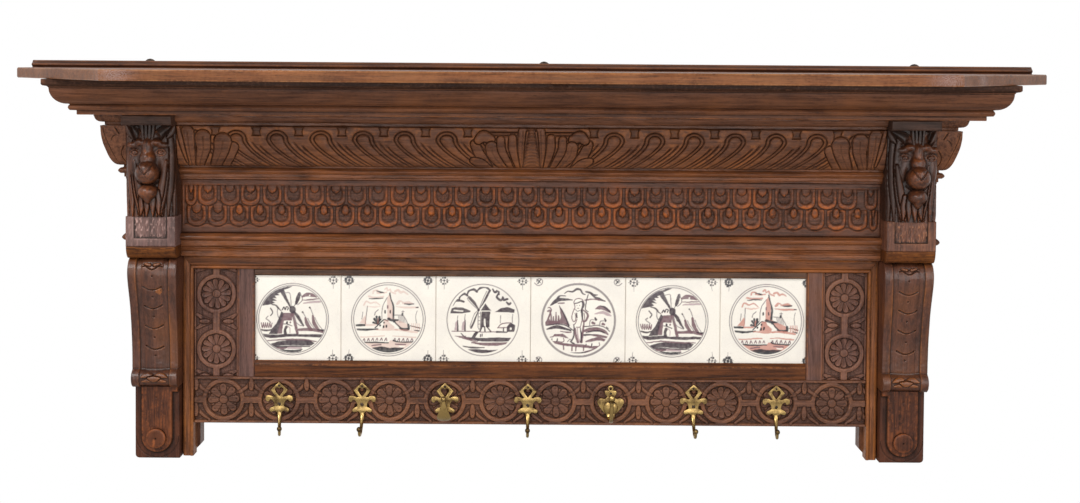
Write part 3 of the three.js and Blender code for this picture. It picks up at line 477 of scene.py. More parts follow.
class NodeGroups:
    """The effects that more than one material uses, each built once."""

    def __init__(self) -> None:
        """Nothing is built before it is asked for."""
        self.built: dict[str, bpy.types.NodeTree] = {}

    def get(self, name: str) -> bpy.types.NodeTree:
        """The group of a name: "grain", "patina" or "hand"."""
        if name not in self.built:
            self.built[name] = getattr(self, name)()
        return self.built[name]

    @staticmethod
    def start(name: str, takes: dict[str, str], gives: dict[str, str]) -> tuple[Tree, dict, bpy.types.Node]:
        """Starts a group with named inputs and outputs, and returns its tree and both ends."""
        group = bpy.data.node_groups.new(name, "ShaderNodeTree")
        for names, way in ((takes, "INPUT"), (gives, "OUTPUT")):
            for label, kind in names.items():
                group.interface.new_socket(label, in_out=way, socket_type=f"NodeSocket{kind}")
        tree = Tree(group)
        inputs = tree.add("NodeGroupInput").outputs
        return tree, {label: inputs[label] for label in takes}, tree.add("NodeGroupOutput")

    def grain(self) -> bpy.types.NodeTree:
        """Oak that grows along x: yearly figure, streaks, fibres and open pores."""
        tree, takes, out = self.start("oak grain", {"Vector": "Vector"},
                                      {"Tone": "Float", "Pores": "Float", "Height": "Float"})

        def drawn(stretch: float, scale: float, *rest: float) -> bpy.types.NodeSocket:
            """A noise drawn out along the grain."""
            return tree.noise(tree.stretched(takes["Vector"], (1, stretch, stretch)), scale, *rest)

        swell = tree.noise(tree.stretched(takes["Vector"], (1.3, 9, 9)), 2.6, 2.0, 0.5, 0.3)
        figure = tree.math("PINGPONG", tree.math("MULTIPLY", swell, 17.0), 1.0)
        streaks, fibres = drawn(34, 9.0, 6.0, 0.66, 0.15), drawn(26, 36.0, 3.0, 0.62)
        pores = tree.band(drawn(17, 118.0, 2.0, 0.5), 0.58, 0.68)
        tone = tree.math("MULTIPLY_ADD", figure, 0.14, tree.math("MULTIPLY", streaks, 0.72))
        tone = tree.math("MULTIPLY_ADD", fibres, 0.46, tone)
        height = tree.math("MULTIPLY_ADD", pores, -0.7, tree.math("MULTIPLY", fibres, 0.6))
        tree.feed(out, {"Tone": tree.band(tone, 0.42, 0.88), "Pores": pores, "Height": height})
        return tree.tree

    def patina(self) -> bpy.types.NodeTree:
        """Years of wax and hands: worn high places, dirt in the low ones, rubbed spots; painted highlights
        and shade come in with the wear and the grime.
        """
        takes = {"Colour": "Color", "Worn": "Color", "Dirt": "Color", "Wear_and_highlight": "Float", "Grime_and_shade": "Float",
                 "Scuff": "Float", "Roughness": "Float"}
        tree, takes, out = self.start("patina", takes, {"Colour": "Color", "Roughness": "Float"})
        spot = tree.spot()
        patches, fine = tree.noise(spot, 16.0, 3.0, 0.6), tree.noise(spot, 240.0, 3.0, 0.6)
        speckle = tree.noise(spot, 900.0, 2.0, 0.6)
        warm = tree.mix(tree.band(patches, 0.42, 0.78), takes["Colour"], takes["Worn"])
        faint = tree.mix(0.22, takes["Colour"], warm)
        rubbed = tree.math("MULTIPLY", takes["Wear_and_highlight"], tree.band(tree.math("ADD", patches, fine), 0.75, 1.2))
        worn = tree.mix(rubbed, faint, takes["Worn"])
        caked = tree.math("MULTIPLY", takes["Grime_and_shade"], tree.band(fine, 0.1, 0.55), clamp=True)
        dirty = tree.mix(caked, worn, takes["Dirt"])
        bare = tree.math("MULTIPLY", takes["Scuff"], tree.band(speckle, 0.42, 0.6), clamp=True)
        rough = tree.math("MULTIPLY_ADD", fine, 0.22, takes["Roughness"])
        rough = tree.math("MULTIPLY_ADD", caked, 0.25, rough)
        rough = tree.math("MULTIPLY_ADD", rubbed, -0.16, rough, clamp=True)
        tree.feed(out, {"Colour": tree.mix(bare, dirty, (0.3, 0.2, 0.18, 1)), "Roughness": rough})
        return tree.tree

    def hand(self) -> bpy.types.NodeTree:
        """The unevenness that hand tools leave: soft facets, and small dents."""
        tree, takes, out = self.start("hand work", {"Vector": "Vector"}, {"Height": "Float"})
        facets = tree.noise(takes["Vector"], 120.0, 2.0, 0.5)
        dents = tree.band(tree.noise(takes["Vector"], 75.0, 1.0, 0.4), 0.24, 0.32)
        tree.feed(out, {"Height": tree.math("MULTIPLY_ADD", dents, 0.5, facets)})
        return tree.tree


GROUPS = NodeGroups()


def rgb(red: int, green: int, blue: int) -> tuple[float, float, float, float]:
    """A colour as it looks on a screen, from 0 to 255, as the light that it reflects."""
    share = np.array([red, green, blue]) / 255.0
    light = np.where(share <= 0.04045, share / 12.92, ((share + 0.055) / 1.055) ** 2.4)
    return (*[float(value) for value in light], 1.0)


class Finish:
    """A finish that builds its material once and hands out the same one after that."""

    name: str
    slot: str

    def material(self) -> bpy.types.Material:
        """The finish's material, built on first use."""
        made = bpy.data.materials.get(self.name)
        if made is None:
            made = bpy.data.materials.new(self.name)
            made.use_nodes = True
            self.lay(Tree(made.node_tree))
        return made

    def lay(self, tree: Tree) -> None:
        """Fills the node tree of the material."""
        raise NotImplementedError

    @staticmethod
    def marks(tree: Tree) -> dict[str, bpy.types.NodeSocket]:
        """Wear with any painted highlight, grime with any painted shade, and scuff; zero where a piece has
        none.
        """
        names = ("Wear_and_highlight", "Grime_and_shade", "Scuff")
        return {n: tree.add("ShaderNodeAttribute", attribute_name=n.lower()).outputs["Fac"] for n in names}

    @staticmethod
    def close(tree: Tree, values: dict) -> None:
        """Adds the shader and the output."""
        shader = tree.add("ShaderNodeBsdfPrincipled", values)
        tree.add("ShaderNodeOutputMaterial", {"Surface": shader.outputs[0]})


@dataclass(frozen=True)
class Oak(Finish):
    """Stained and waxed oak, with its colours as they look on a screen.

    dark and light are the two ends of the grain, worn the colour that shows where the stain
    is rubbed thin and the colour of painted highlights, and dirt what fills the hollows and the colour of
    painted shade.
    """

    name: str
    grain: Along = Along.ACROSS
    dark: tuple[int, int, int] = (62, 37, 27)
    light: tuple[int, int, int] = (118, 76, 54)
    worn: tuple[int, int, int] = (152, 92, 50)
    dirt: tuple[int, int, int] = (30, 17, 10)
    rough: float = 0.34
    relief: float = 0.5
    gloss: float = 0.1
    coat: float = 0.08
    slot: str = "carved_oak"

    def lay(self, tree: Tree) -> None:
        """Grain between the two stains, patina over it, and wax on top."""
        spot, dirt = tree.spot(), rgb(*self.dirt)
        turned = tree.add("ShaderNodeMapping", {"Vector": spot, "Rotation": self.grain.value}).outputs[0]
        grain = tree.group("grain", {"Vector": turned})
        base = tree.mix(grain["Tone"], rgb(*self.dark), rgb(*self.light))
        base = tree.mix(tree.math("MULTIPLY", grain["Pores"], 0.55), base, dirt)
        patina = tree.group("patina", {"Colour": base, "Worn": rgb(*self.worn), "Dirt": dirt,
                                       "Roughness": self.rough, **self.marks(tree)})
        uneven = tree.bump(tree.group("hand", {"Vector": spot})["Height"], self.relief * 0.5, 0.0009)
        self.close(tree, {
            "Base Color": patina["Colour"],
            "Roughness": patina["Roughness"],
            "Normal": tree.bump(grain["Height"], self.relief, 0.00035, Normal=uneven),
            "Specular IOR Level": self.gloss,
            "Coat Weight": self.coat,
            "Coat Roughness": 0.16,
        })


@dataclass(frozen=True)
class Glaze(Finish):
    """White tin glaze with painting under it, fine crackle and small pits."""

    name: str = "tin glaze"
    slot: str = "tin_glaze"
    white: tuple = rgb(233, 226, 214)
    cool: tuple = rgb(224, 217, 207)
    crackle: tuple = rgb(170, 150, 130)
    pit: tuple = rgb(120, 95, 80)
    dirt: tuple = rgb(120, 92, 70)

    def lay(self, tree: Tree) -> None:
        """The painted colour over a slightly clouded white, with a hard gloss."""
        spot = tree.spot()
        clouds = tree.band(tree.noise(spot, 22.0, 3.0, 0.6), 0.35, 0.75)
        base = tree.mix(clouds, self.white, self.cool)
        cells = {"Vector": spot, "Scale": 210.0}
        crack = tree.add("ShaderNodeTexVoronoi", cells, feature="DISTANCE_TO_EDGE").outputs["Distance"]
        line = tree.math("SUBTRACT", 1.0, tree.band(crack, 0.0, 0.03))
        base = tree.mix(tree.math("MULTIPLY", line, 0.16), base, self.crackle)
        pits = tree.band(tree.noise(spot, 420.0, 1.0, 0.4), 0.76, 0.82)
        base = tree.mix(tree.math("MULTIPLY", pits, 0.5), base, self.pit)
        paint = tree.add("ShaderNodeAttribute", attribute_name="paint")
        base = tree.mix(paint.outputs["Alpha"], base, paint.outputs["Color"])
        self.close(tree, {
            "Base Color": tree.mix(self.marks(tree)["Grime_and_shade"], base, self.dirt),
            "Roughness": tree.math("MULTIPLY_ADD", clouds, 0.1, 0.14),
            "Normal": tree.bump(tree.noise(spot, 60.0, 2.0, 0.5), 0.25, 0.0006),
            "Specular IOR Level": 0.3,
            "Coat Weight": 0.25,
            "Coat Roughness": 0.06,
        })


@dataclass(frozen=True)
class Brass(Finish):
    """Cast brass, yellow where it is rubbed and brown where it is not."""

    name: str = "cast brass"
    slot: str = "cast_brass"
    bright: tuple = rgb(168, 140, 88)
    dull: tuple = rgb(90, 71, 46)
    dirt: tuple = rgb(60, 46, 30)

    def lay(self, tree: Tree) -> None:
        """Bright metal under a thin uneven tarnish, with a cast surface."""
        spot, marks = tree.spot(), self.marks(tree)
        film = tree.band(tree.noise(spot, 90.0, 5.0, 0.62), 0.36, 0.72)
        film = tree.math("SUBTRACT", tree.math("ADD", film, marks["Grime_and_shade"]), marks["Wear_and_highlight"], clamp=True)
        base = tree.mix(film, self.bright, self.dull)
        self.close(tree, {
            "Base Color": tree.mix(tree.math("MULTIPLY", marks["Grime_and_shade"], 0.7), base, self.dirt),
            "Metallic": 1.0,
            "Roughness": tree.math("MULTIPLY_ADD", film, 0.24, 0.24),
            "Normal": tree.bump(tree.noise(spot, 650.0, 3.0, 0.6), 0.3, 0.0002),
        })


@dataclass(frozen=True)
class Plain(Finish):
    """A finish of two close colours in small clouds, for what is hardly seen."""

    name: str
    slot: str
    first: tuple
    second: tuple
    rough: float
    metal: float = 0.0

    def lay(self, tree: Tree) -> None:
        """Two colours by a fine noise, and the same noise as a bump."""
        cloud = tree.noise(tree.spot(), 180.0, 5.0, 0.65)
        self.close(tree, {
            "Base Color": tree.mix(tree.band(cloud, 0.3, 0.7), self.first, self.second),
            "Metallic": self.metal,
            "Roughness": tree.math("MULTIPLY_ADD", cloud, 0.2, self.rough),
            "Normal": tree.bump(cloud, 0.5, 0.0006),
        })


CARVED = Oak("carved oak")
CARVED_UP = Oak("carved oak upright", Along.UP)
CARVED_OUT = Oak("carved oak returns", Along.OUT)
STEPPED = Oak("stepped moulding oak", Along.ACROSS, (62, 36, 23), (134, 81, 50), (164, 96, 44))
SCALED = Oak("scaled oak", Along.ACROSS, (54, 35, 28), (104, 68, 52), (172, 92, 40), rough=0.24)
# The lions' stain is made darker as painted shade, for the crown's shadow over the consoles.
LION_SHADED = Oak("shaded lion oak", Along.UP, (40, 22, 15), (84, 47, 30), (156, 88, 46),
           rough=0.22, relief=0.35, gloss=0.26, coat=0.18)
FOOT = Oak("foot oak", Along.UP, (44, 24, 17), (80, 45, 31), (136, 76, 42), gloss=0.12)
STILE = Oak("stile oak", Along.UP, (70, 41, 26), (146, 92, 60), (168, 102, 46))
ROSETTE = Oak("rosette oak", Along.ACROSS, (60, 39, 31), (110, 74, 58), (150, 98, 66), (38, 24, 18))
ROSETTE_UP = Oak("rosette oak upright", Along.UP, (62, 42, 36), (114, 79, 67), (150, 102, 76), (38, 24, 18))
# The left block's pale pink worn colour also paints the glints on its sunk panel.
BLOCK = Oak("console block oak", Along.UP, (58, 41, 37), (112, 80, 73), (172, 136, 126), gloss=0.3)
BLOCK_BROWN = Oak("brown console block oak", Along.UP, (54, 33, 26), (112, 70, 52), (158, 104, 72), gloss=0.2)
CAP = Oak("console cap oak", Along.ACROSS, (40, 27, 22), (76, 53, 43), (112, 76, 58))
SCROLL = Oak("scroll oak", Along.UP, (50, 27, 19), (92, 54, 38), (158, 92, 38),
             rough=0.26, relief=0.4, gloss=0.24, coat=0.26)
AMBER = Oak("amber oak", Along.ACROSS, (30, 14, 8), (102, 56, 26), (136, 80, 34), slot="amber_oak")
AMBER_UP = Oak("amber oak upright", Along.UP, (60, 42, 38), (110, 80, 72), slot="amber_oak")
STRIP = Oak("frame strip oak", Along.ACROSS, (46, 33, 27), (88, 64, 52), (126, 88, 62), slot="amber_oak")
SHELF = Oak("shelf oak", Along.ACROSS, (72, 40, 22), (124, 74, 42), (158, 106, 66),
            rough=0.3, slot="shelf_oak")
RAIL = Oak("back rail oak", Along.ACROSS, (62, 38, 30), (108, 70, 50), slot="shelf_oak")
GLAZE = Glaze()
BRASS = Brass()
MORTAR = Plain("lime mortar", "lime_mortar", rgb(196, 184, 166), rgb(150, 136, 118), 0.8)
IRON = Plain("dark iron", "dark_iron", rgb(52, 46, 42), rgb(84, 70, 60), 0.45, 0.9)


# Mouldings


SIDES = {"left": -1, "right": 1}
CASE_HALF = Room.of("case_side_right").right
CASE_DEPTH = Room.of("case_side_right").front
GAP = Room.of("crown_front").foot - Room.of("bed_moulding_front").top
RAIL_MIDDLE = -3.0


def ovolo(start: tuple[float, float], end: tuple[float, float], steps: int = 14) -> list[tuple[float, float]]:
    """A quarter round: its reach goes as the cosine, and its height as the sine, of 0 to 90 degrees."""
    reach, rise = start[0] - end[0], end[1] - start[1]
    turn = np.linspace(0, math.pi / 2, steps)
    return [(end[0] + reach * math.cos(a), start[1] + rise * math.sin(a)) for a in turn]


def bead(reach: float, top: float, foot: float, bulge: float, steps: int = 10) -> list[tuple[float, float]]:
    """A half round between two heights: its reach grows by the bulge times sin(pi t)."""
    t = np.linspace(0, 1, steps)
    return [(reach + bulge * math.sin(math.pi * u), top + (foot - top) * u) for u in t]


@dataclass
class Moulding:
    """A run of moulding, as a closed profile of reach in front of the case and height."""

    name: str
    profile: list[tuple[float, float]]
    mitred: bool = False
    step: float = 6.0
    seed: int = 0
    finish: Finish = CARVED
    # Height above which the profile is darkened as painted shade, for the shadow under the shelf; none by
    # default.
    soot: float = math.inf

    def _aged(self, stations: int, length: float) -> tuple[np.ndarray, ...]:
        """The softened profile at every station, planed by hand, dented and worn, with painted shade above a
        height.
        """
        points, wear_and_highlight, grime_and_shade = soften(self.profile)
        sway = 0.22 * drift((stations, len(points)), (max(3, int(length / 60)), 9), self.seed)
        knocks = np.random.default_rng(SEED + self.seed).uniform(0, stations - 1, max(2, int(length / 90)))
        near = bell(np.arange(stations)[:, None] - knocks[None], 0.7, 0.5).max(1)
        reach = points[None, :, 0] + sway - 0.7 * near[:, None] * wear_and_highlight[None]
        reach = np.maximum(reach, points[None, :, 0].min())
        height = np.broadcast_to(points[None, :, 1], reach.shape)
        fade = 0.65 + 0.35 * drift(reach.shape, (max(3, int(length / 40)), 5), self.seed + 7)
        # Painted shade: above that height the profile is darkened through its grime and loses its wear.
        painted_shade = 0.85 * ease(self.soot - 1.5, self.soot + 1.0, points[:, 1])
        wear_and_highlight, grime_and_shade = wear_and_highlight * (1 - painted_shade), np.maximum(grime_and_shade, painted_shade)
        return reach, height, wear_and_highlight[None] * fade, grime_and_shade[None] * (1.1 - 0.4 * fade)

    def front(self, half: float) -> bpy.types.Object:
        """The run along the case front, square at its ends or mitred into its returns."""
        count = int(2 * half / self.step) + 1
        reach, height, wear_and_highlight, grime_and_shade = self._aged(count, 2 * half)
        share = np.linspace(-1, 1, count)[:, None]
        ends = half + (reach if self.mitred else 0 * reach)
        shell = Shell()
        shell.tube(place(share * ends, CASE_DEPTH + reach, height), wear_and_highlight, grime_and_shade)
        node = f"{self.name}_front"
        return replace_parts(shell.object(f"{self.name}_front_run", self.finish, 30.0), node)

    def corner(self, side: str) -> bpy.types.Object:
        """The return at one end, back to the wall; unless it is mitred, with a front of its own."""
        sign = SIDES[side]
        legs = (0 if self.mitred else 8, 16)
        count = sum(legs) + 1
        reach, height, wear_and_highlight, grime_and_shade = self._aged(count, 160.0)
        start = CASE_HALF + (0 if self.mitred else GAP)
        over = np.clip(np.arange(count) / max(legs[0], 1), 0, 1)[:, None] if legs[0] else np.ones((count, 1))
        back = np.clip((np.arange(count) - legs[0]) / legs[1], 0, 1)[:, None]
        front = CASE_DEPTH + reach - (GAP / 2 if self.mitred else 0)
        shell = Shell()
        shell.tube(place(sign * (start + reach * over), front * (1 - back), height), wear_and_highlight, grime_and_shade)
        piece = shell.object(f"{self.name}_corner_{side}", CARVED_OUT, 30.0)
        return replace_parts(piece, f"{self.name}_return_{side}")


@dataclass
class Cornice:
    """The crown, bed, upper and lower mouldings of the case."""

    crown_bead: float = 66.8
    crown_fillet: float = 58.0
    bed_foot: float = 29.0
    wall: float = 0.3

    def closed(self, name: str, line: list[tuple[float, float]], room: Room, **more: object) -> Moulding:
        """A moulding from the line of its face, closed along the wall of the case."""
        profile = [(self.wall, room.top), *line, (line[-1][0], room.foot), (self.wall, room.foot)]
        return Moulding(name, profile, **more)

    def crown(self, room: Room, reach: float, top: float) -> Moulding:
        """The crown: a fillet, a quarter round, a bead and a second fillet."""
        line = [(reach, top), (reach, top - 7), (reach - 1.5, top - 8.4), (reach - 6, top - 9.4)]
        line += ovolo((reach - 7.6, top - 11.4), (self.crown_bead, room.foot + 14.4))
        line += bead(self.crown_bead - 2, room.foot + 13.9, room.foot + 6.2, 2)
        line += [(self.crown_fillet, room.foot + 5.7)]
        # The crown's nose, right under the shelf's front edge, is darkened as painted shade.
        return self.closed("crown", line, room, mitred=True, seed=10, soot=top - 9.5)

    def bed_moulding(self, room: Room, reach: float, top: float) -> Moulding:
        """The bed moulding: a short quarter round over a neck."""
        line = [(reach, top), (reach, top - 2)]
        line += ovolo((reach - 1, top - 2.4), (self.bed_foot + 2, room.foot + 4.3), 9)
        line += [(self.bed_foot, room.foot + 4.3)]
        return self.closed("bed_moulding", line, room, seed=20)

    def upper_moulding(self, room: Room, reach: float, top: float) -> Moulding:
        """The moulding under the frieze: a fillet, a bead and a flat."""
        line = [(reach - 6, top), (reach - 6, top - 2.8), *bead(reach - 3, top - 3.2, top - 10.8, 3)]
        line += [(reach - 6.4, top - 11.2), (reach - 6.4, room.foot + 3), (reach - 8.2, room.foot + 2.4)]
        return self.closed("upper_moulding", line, room, seed=30, finish=STEPPED)

    def lower_moulding(self, room: Room, reach: float, top: float) -> Moulding:
        """The stepped moulding under the scales: a bead, a flat, two thin reeds and a flat."""
        line = [(reach - 4, top), *bead(reach - 3, top - 0.9, top - 9.4, 3)]
        line += [(reach - 5.6, top - 9.9), (reach - 5.6, top - 17.2), (reach - 7.2, top - 17.4)]
        line += bead(reach - 7.6, top - 17.8, top - 21.0, 1.6, 6)
        line += bead(reach - 7.8, top - 21.4, top - 24.4, 1.5, 6) + [(reach - 8.2, top - 24.8)]
        return self.closed("lower_moulding", line, room, seed=40, finish=STEPPED)

    def build(self) -> None:
        """Builds the runs along the front and the returns on both sides."""
        inner = Room.of("bed_moulding_front").right
        for make in (self.crown, self.bed_moulding, self.upper_moulding, self.lower_moulding):
            room = Room.of(f"{make.__name__}_front")
            moulding = make(room, room.front - CASE_DEPTH, room.top)
            moulding.front(CASE_HALF if moulding.mitred else inner)
            for side in SIDES:
                moulding.corner(side)


@dataclass
class Shelf:
    """The shelf board with its slanted ends, and the low rail along its back."""

    front_half: float = 518.0
    end: float = 45.0
    step: float = 7.0
    rail_bead: float = 4.0
    rail_stations: int = 160

    def board(self) -> bpy.types.Object:
        """The board, as rings of its outline at growing heights, worn at every edge."""
        room = Room.of("shelf_board")
        half = room.right
        corners = np.array([(-half, 0), (-half, self.end), (-self.front_half, room.front),
                            (self.front_half, room.front), (half, self.end), (half, 0)])
        legs = [np.linspace(a, b, int(np.hypot(*(b - a)) / self.step) + 1)[:-1]
                for a, b in zip(corners, np.roll(corners, -1, 0))]
        outline = np.vstack(legs)
        free = (outline[:, 1] > 1).astype(float)
        inset = np.array([5.0, 1.6, 0.5, 0.0, 0.0, 0.6, 1.5, 5.0])
        lift = np.array([0.0, 0.0, 0.5, 1.8, room.height - 2.2, room.height - 0.7, room.height, room.height])
        wear_and_highlight = np.array([0.1, 0.9, 1.0, 0.2, 0.2, 1.0, 0.9, 0.1])
        away = outline - (0.0, 60.0)
        away /= np.hypot(*away.T)[:, None]
        sway = 0.35 * drift((len(inset), len(outline)), (3, 60), 3)
        shrink = (inset[:, None] + np.abs(sway)) * free[None]
        across = outline[None, :, 0] - away[None, :, 0] * shrink
        depth = np.maximum(outline[None, :, 1] - away[None, :, 1] * shrink, 0)
        rubbed = bell(np.abs(outline[:, 0]) - 500, 14, 0.5) * (outline[:, 1] > 280)
        rubbed = rubbed + bell(outline[:, 0] - 556, 5, 0.5) * (outline[:, 1] > 150)
        scuff = rubbed[None] * np.array([0, 0.2, 0.6, 1, 1, 0.8, 0.3, 0])[:, None]
        shell = Shell()
        rings = place(across, depth, room.foot + lift[:, None])
        shell.tube(rings, wear_and_highlight[:, None] * free[None] * 0.8, 0.0, scuff)
        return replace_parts(shell.object("shelf_top_board", SHELF, 30.0), "shelf_board")

    def rail(self) -> bpy.types.Object:
        """The rail: a round nose along its front, and ends rounded in plan."""
        room = Room.of("shelf_back_rail")
        nose = bead(room.front - self.rail_bead, room.foot + 2.2, room.top - 3.2, self.rail_bead, 9)
        profile = [(0.2, room.foot), (room.front - 2, room.foot), *nose, (room.front - 6, room.top - 0.6)]
        profile += [(room.front - 8, room.top), (0.2, room.top)]
        points, wear_and_highlight, grime_and_shade = soften(profile)
        share = np.linspace(-1, 1, self.rail_stations)
        close = np.clip((np.abs(share) - 0.985) / 0.015, 0, 1)[:, None]
        curl = (1 - np.sqrt(1 - close**2 * 0.96)) * 8.0
        sway = 0.25 * drift((self.rail_stations, len(points)), (24, 5), 5)
        depth = np.maximum(points[None, :, 0] + sway - curl * (points[None, :, 0] > 3), 0.1)
        across = share[:, None] * (room.right - 0.2 + 0 * depth)
        shell = Shell()
        shell.tube(place(across, depth, points[None, :, 1]), wear_and_highlight[None] * 0.7, grime_and_shade[None])
        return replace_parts(shell.object("shelf_low_rail", RAIL, 30.0), "shelf_back_rail")

    def build(self) -> None:
        """Builds the board and its rail, and finishes the hanging plates."""
        self.board()
        self.rail()
        for where in ("left", "middle", "right"):
            dress(f"hanger_{where}", IRON)


def dress(node: str, finish: Finish) -> None:
    """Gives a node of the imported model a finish, and leaves its shape alone."""
    known = bpy.data.objects[node]
    known.data.materials.clear()
    known.data.materials.append(finish.material())


# Carving


@dataclass
class Relief:
    """A carved face seen square on: how far each point of a grid stands out, in millimetres."""

    left: float
    right: float
    foot: float
    top: float
    cell: float
    level: float = 0.0
    polish: float = 1.0
    soil: float = 1.0

    def __post_init__(self) -> None:
        """Lays out the grid."""
        cols = int(round((self.right - self.left) / self.cell)) + 1
        rows = int(round((self.top - self.foot) / self.cell)) + 1
        across, up = np.linspace(self.left, self.right, cols), np.linspace(self.foot, self.top, rows)
        self.x, self.y = np.meshgrid(across, up)
        self.out = np.full(self.x.shape, float(self.level))
        # Dirt along cuts and grooves; on the frieze it also holds a band of painted shade.
        self.dirt = np.zeros(self.x.shape)
        # Extra wear and lighter tint, and on some pieces painted highlights, which marks() adds to the wear.
        self.glow = np.zeros(self.x.shape)

    def window(self, points: np.ndarray, reach: float) -> tuple[slice, slice]:
        """The rows and columns within reach of some points."""
        low, high = points.min(0) - reach, points.max(0) + reach
        rows = np.searchsorted(self.y[:, 0], [low[1], high[1]])
        cols = np.searchsorted(self.x[0], [low[0], high[0]])
        return slice(max(rows[0] - 1, 0), rows[1] + 1), slice(max(cols[0] - 1, 0), cols[1] + 1)

    def blade(self, path: list[tuple[float, float]], halves: list[float], level: float, rise: float = 1.0,
              groove: float = 0.9, hollow: float = 0.0, rib: float = 0.0, bend: bool = True) -> None:
        """Carves a petal, leaf or strap over what is there, with a groove round it.

        With s the share of the half width, a full blade is level + rise sqrt(1 - s2), and a
        hollow one sinks by hollow (1 - s2) in its middle. A rib lowers a line down the middle.

        Args:
            path: Knots of its middle line.
            halves: Half its width at each knot.
            level: How far its edge stands out.
            rise: How much fuller its middle is.
            groove: Width of the groove round it.
            hollow: How deep its middle is gouged.
            rib: Depth of a line down the middle.
            bend: Rounds the line through its knots.
        """
        line = np.column_stack([np.asarray(path, float), np.asarray(halves, float)])
        line = smooth_path(line, 5) if bend and len(line) > 2 else line
        area = self.window(line[:, :2], max(halves) + groove + 1)
        x, y = self.x[area], self.y[area]
        share, past, gone = along(x, y, line[:, :2], np.maximum(line[:, 2], 0.05))
        inner = np.clip(1 - share**2, 0, 1)
        made = level + rise * np.sqrt(inner) - hollow * inner
        from_middle = share * np.interp(gone, [0, 1], [halves[0], halves[-1]])
        made -= rib * bell(from_middle, 0.6, 0.5) * inner
        trench = np.minimum(self.out[area], level - 1.3)
        outside = trench + (self.out[area] - trench) * ease(groove * 0.45, groove, past)
        edge = ease(-0.45, 0.35, past)
        self.out[area] = made * (1 - edge) + outside * edge
        self.dirt[area] = np.maximum(self.dirt[area] * (past > 0), bell(past - 0.4, 0.5, 0.5))
        self.glow[area] *= past > 0

    def ring(self, x: float, y: float, radius: float, width: float, level: float) -> None:
        """Raises a flat ring with eased edges."""
        area = self.window(np.array([[x, y]]), radius + 2)
        far = np.hypot(self.x[area] - x, self.y[area] - y)
        off = np.abs(far - radius + width / 2) - width / 2
        raised = level - 0.35 * ease(-1.6, 0.0, off)
        self.out[area] = np.maximum(self.out[area], raised + (self.out[area] - raised) * ease(-0.1, 0.8, off))

    def button(self, x: float, y: float, radius: float, level: float, rise: float) -> None:
        """Raises a round button: level + rise sqrt(1 - s2)."""
        self.blade([(x, y - 0.01), (x, y + 0.01)], [radius, radius], level, rise, 1.1, bend=False)

    def pit(self, x: float, y: float, radius: float, depth: float) -> None:
        """Sinks a small round hole."""
        area = self.window(np.array([[x, y]]), radius * 3)
        share = np.exp(-(((self.x[area] - x) ** 2 + (self.y[area] - y) ** 2) / radius**2) ** 1.5)
        self.out[area] -= depth * share
        self.dirt[area] = np.maximum(self.dirt[area], share)

    def cut(self, path: list[tuple[float, float]], halves: float | list[float], depth: float,
            soft: float = 0.6) -> None:
        """Cuts a thin line with the corner of a gouge.

        Args:
            path: Knots of the line.
            halves: Half its width, or half its widths evenly spaced along it.
            depth: How deep it goes.
            soft: Width of the slope at its side.
        """
        line = smooth_path(path, 5) if len(path) > 2 else np.array(path, float)
        given = np.atleast_1d(halves)
        wide = np.interp(np.linspace(0, 1, len(line)), np.linspace(0, 1, len(given)), given)
        area = self.window(line, 3 * (soft + given.max()))
        _, past, _ = along(self.x[area], self.y[area], line, wide)
        share = 1 - ease(-0.3 * soft, soft, past)
        self.out[area] -= depth * share
        self.dirt[area] = np.maximum(self.dirt[area], share)

    def box(self, left: float, right: float, foot: float, top: float, level: float,
            edge: float = 0.5) -> None:
        """Brings a straight-sided field to one level, as a border or a sunk ground."""
        off = np.maximum(np.maximum(left - self.x, self.x - right), np.maximum(foot - self.y, self.y - top))
        share = ease(-edge, edge, off)
        self.out = level * (1 - share) + self.out * share

    def tooled(self, seed: int, depth: float = 0.22, ground: float | None = None) -> None:
        """Leaves the marks of the gouge everywhere, and punch marks on ground below a level."""
        rows, cols = self.out.shape
        fine = drift(self.out.shape, (max(4, rows // 5), max(4, cols // 5)), seed)
        wide = drift(self.out.shape, (max(3, rows // 16), max(3, cols // 16)), seed + 1)
        self.out += depth * (0.55 * fine + 0.6 * wide)
        if ground is not None:
            punched = np.random.default_rng(SEED + seed).uniform(-1, 1, self.out.shape)
            self.out += 0.55 * punched * (1 - ease(ground - 0.8, ground + 0.4, self.out))

    def marks(self) -> tuple[np.ndarray, np.ndarray]:
        """Wear where a point stands out from round about it and grime where it lies low, joined with the
        extra marks, which hold some painted highlights and painted shade.
        """
        near = self.out - blur(self.out, 1.3 / self.cell)
        wide = self.out - blur(self.out, 5.0 / self.cell)
        wear_and_highlight = ease(0.08, 0.5, near) * 0.6 + ease(0.2, 1.4, wide) * 0.55
        grime_and_shade = ease(0.06, 0.5, -near) * 0.75 + ease(0.3, 1.7, -wide) * 0.6
        return np.maximum(wear_and_highlight * self.polish, self.glow), np.maximum(grime_and_shade * self.soil, 0.75 * self.dirt)

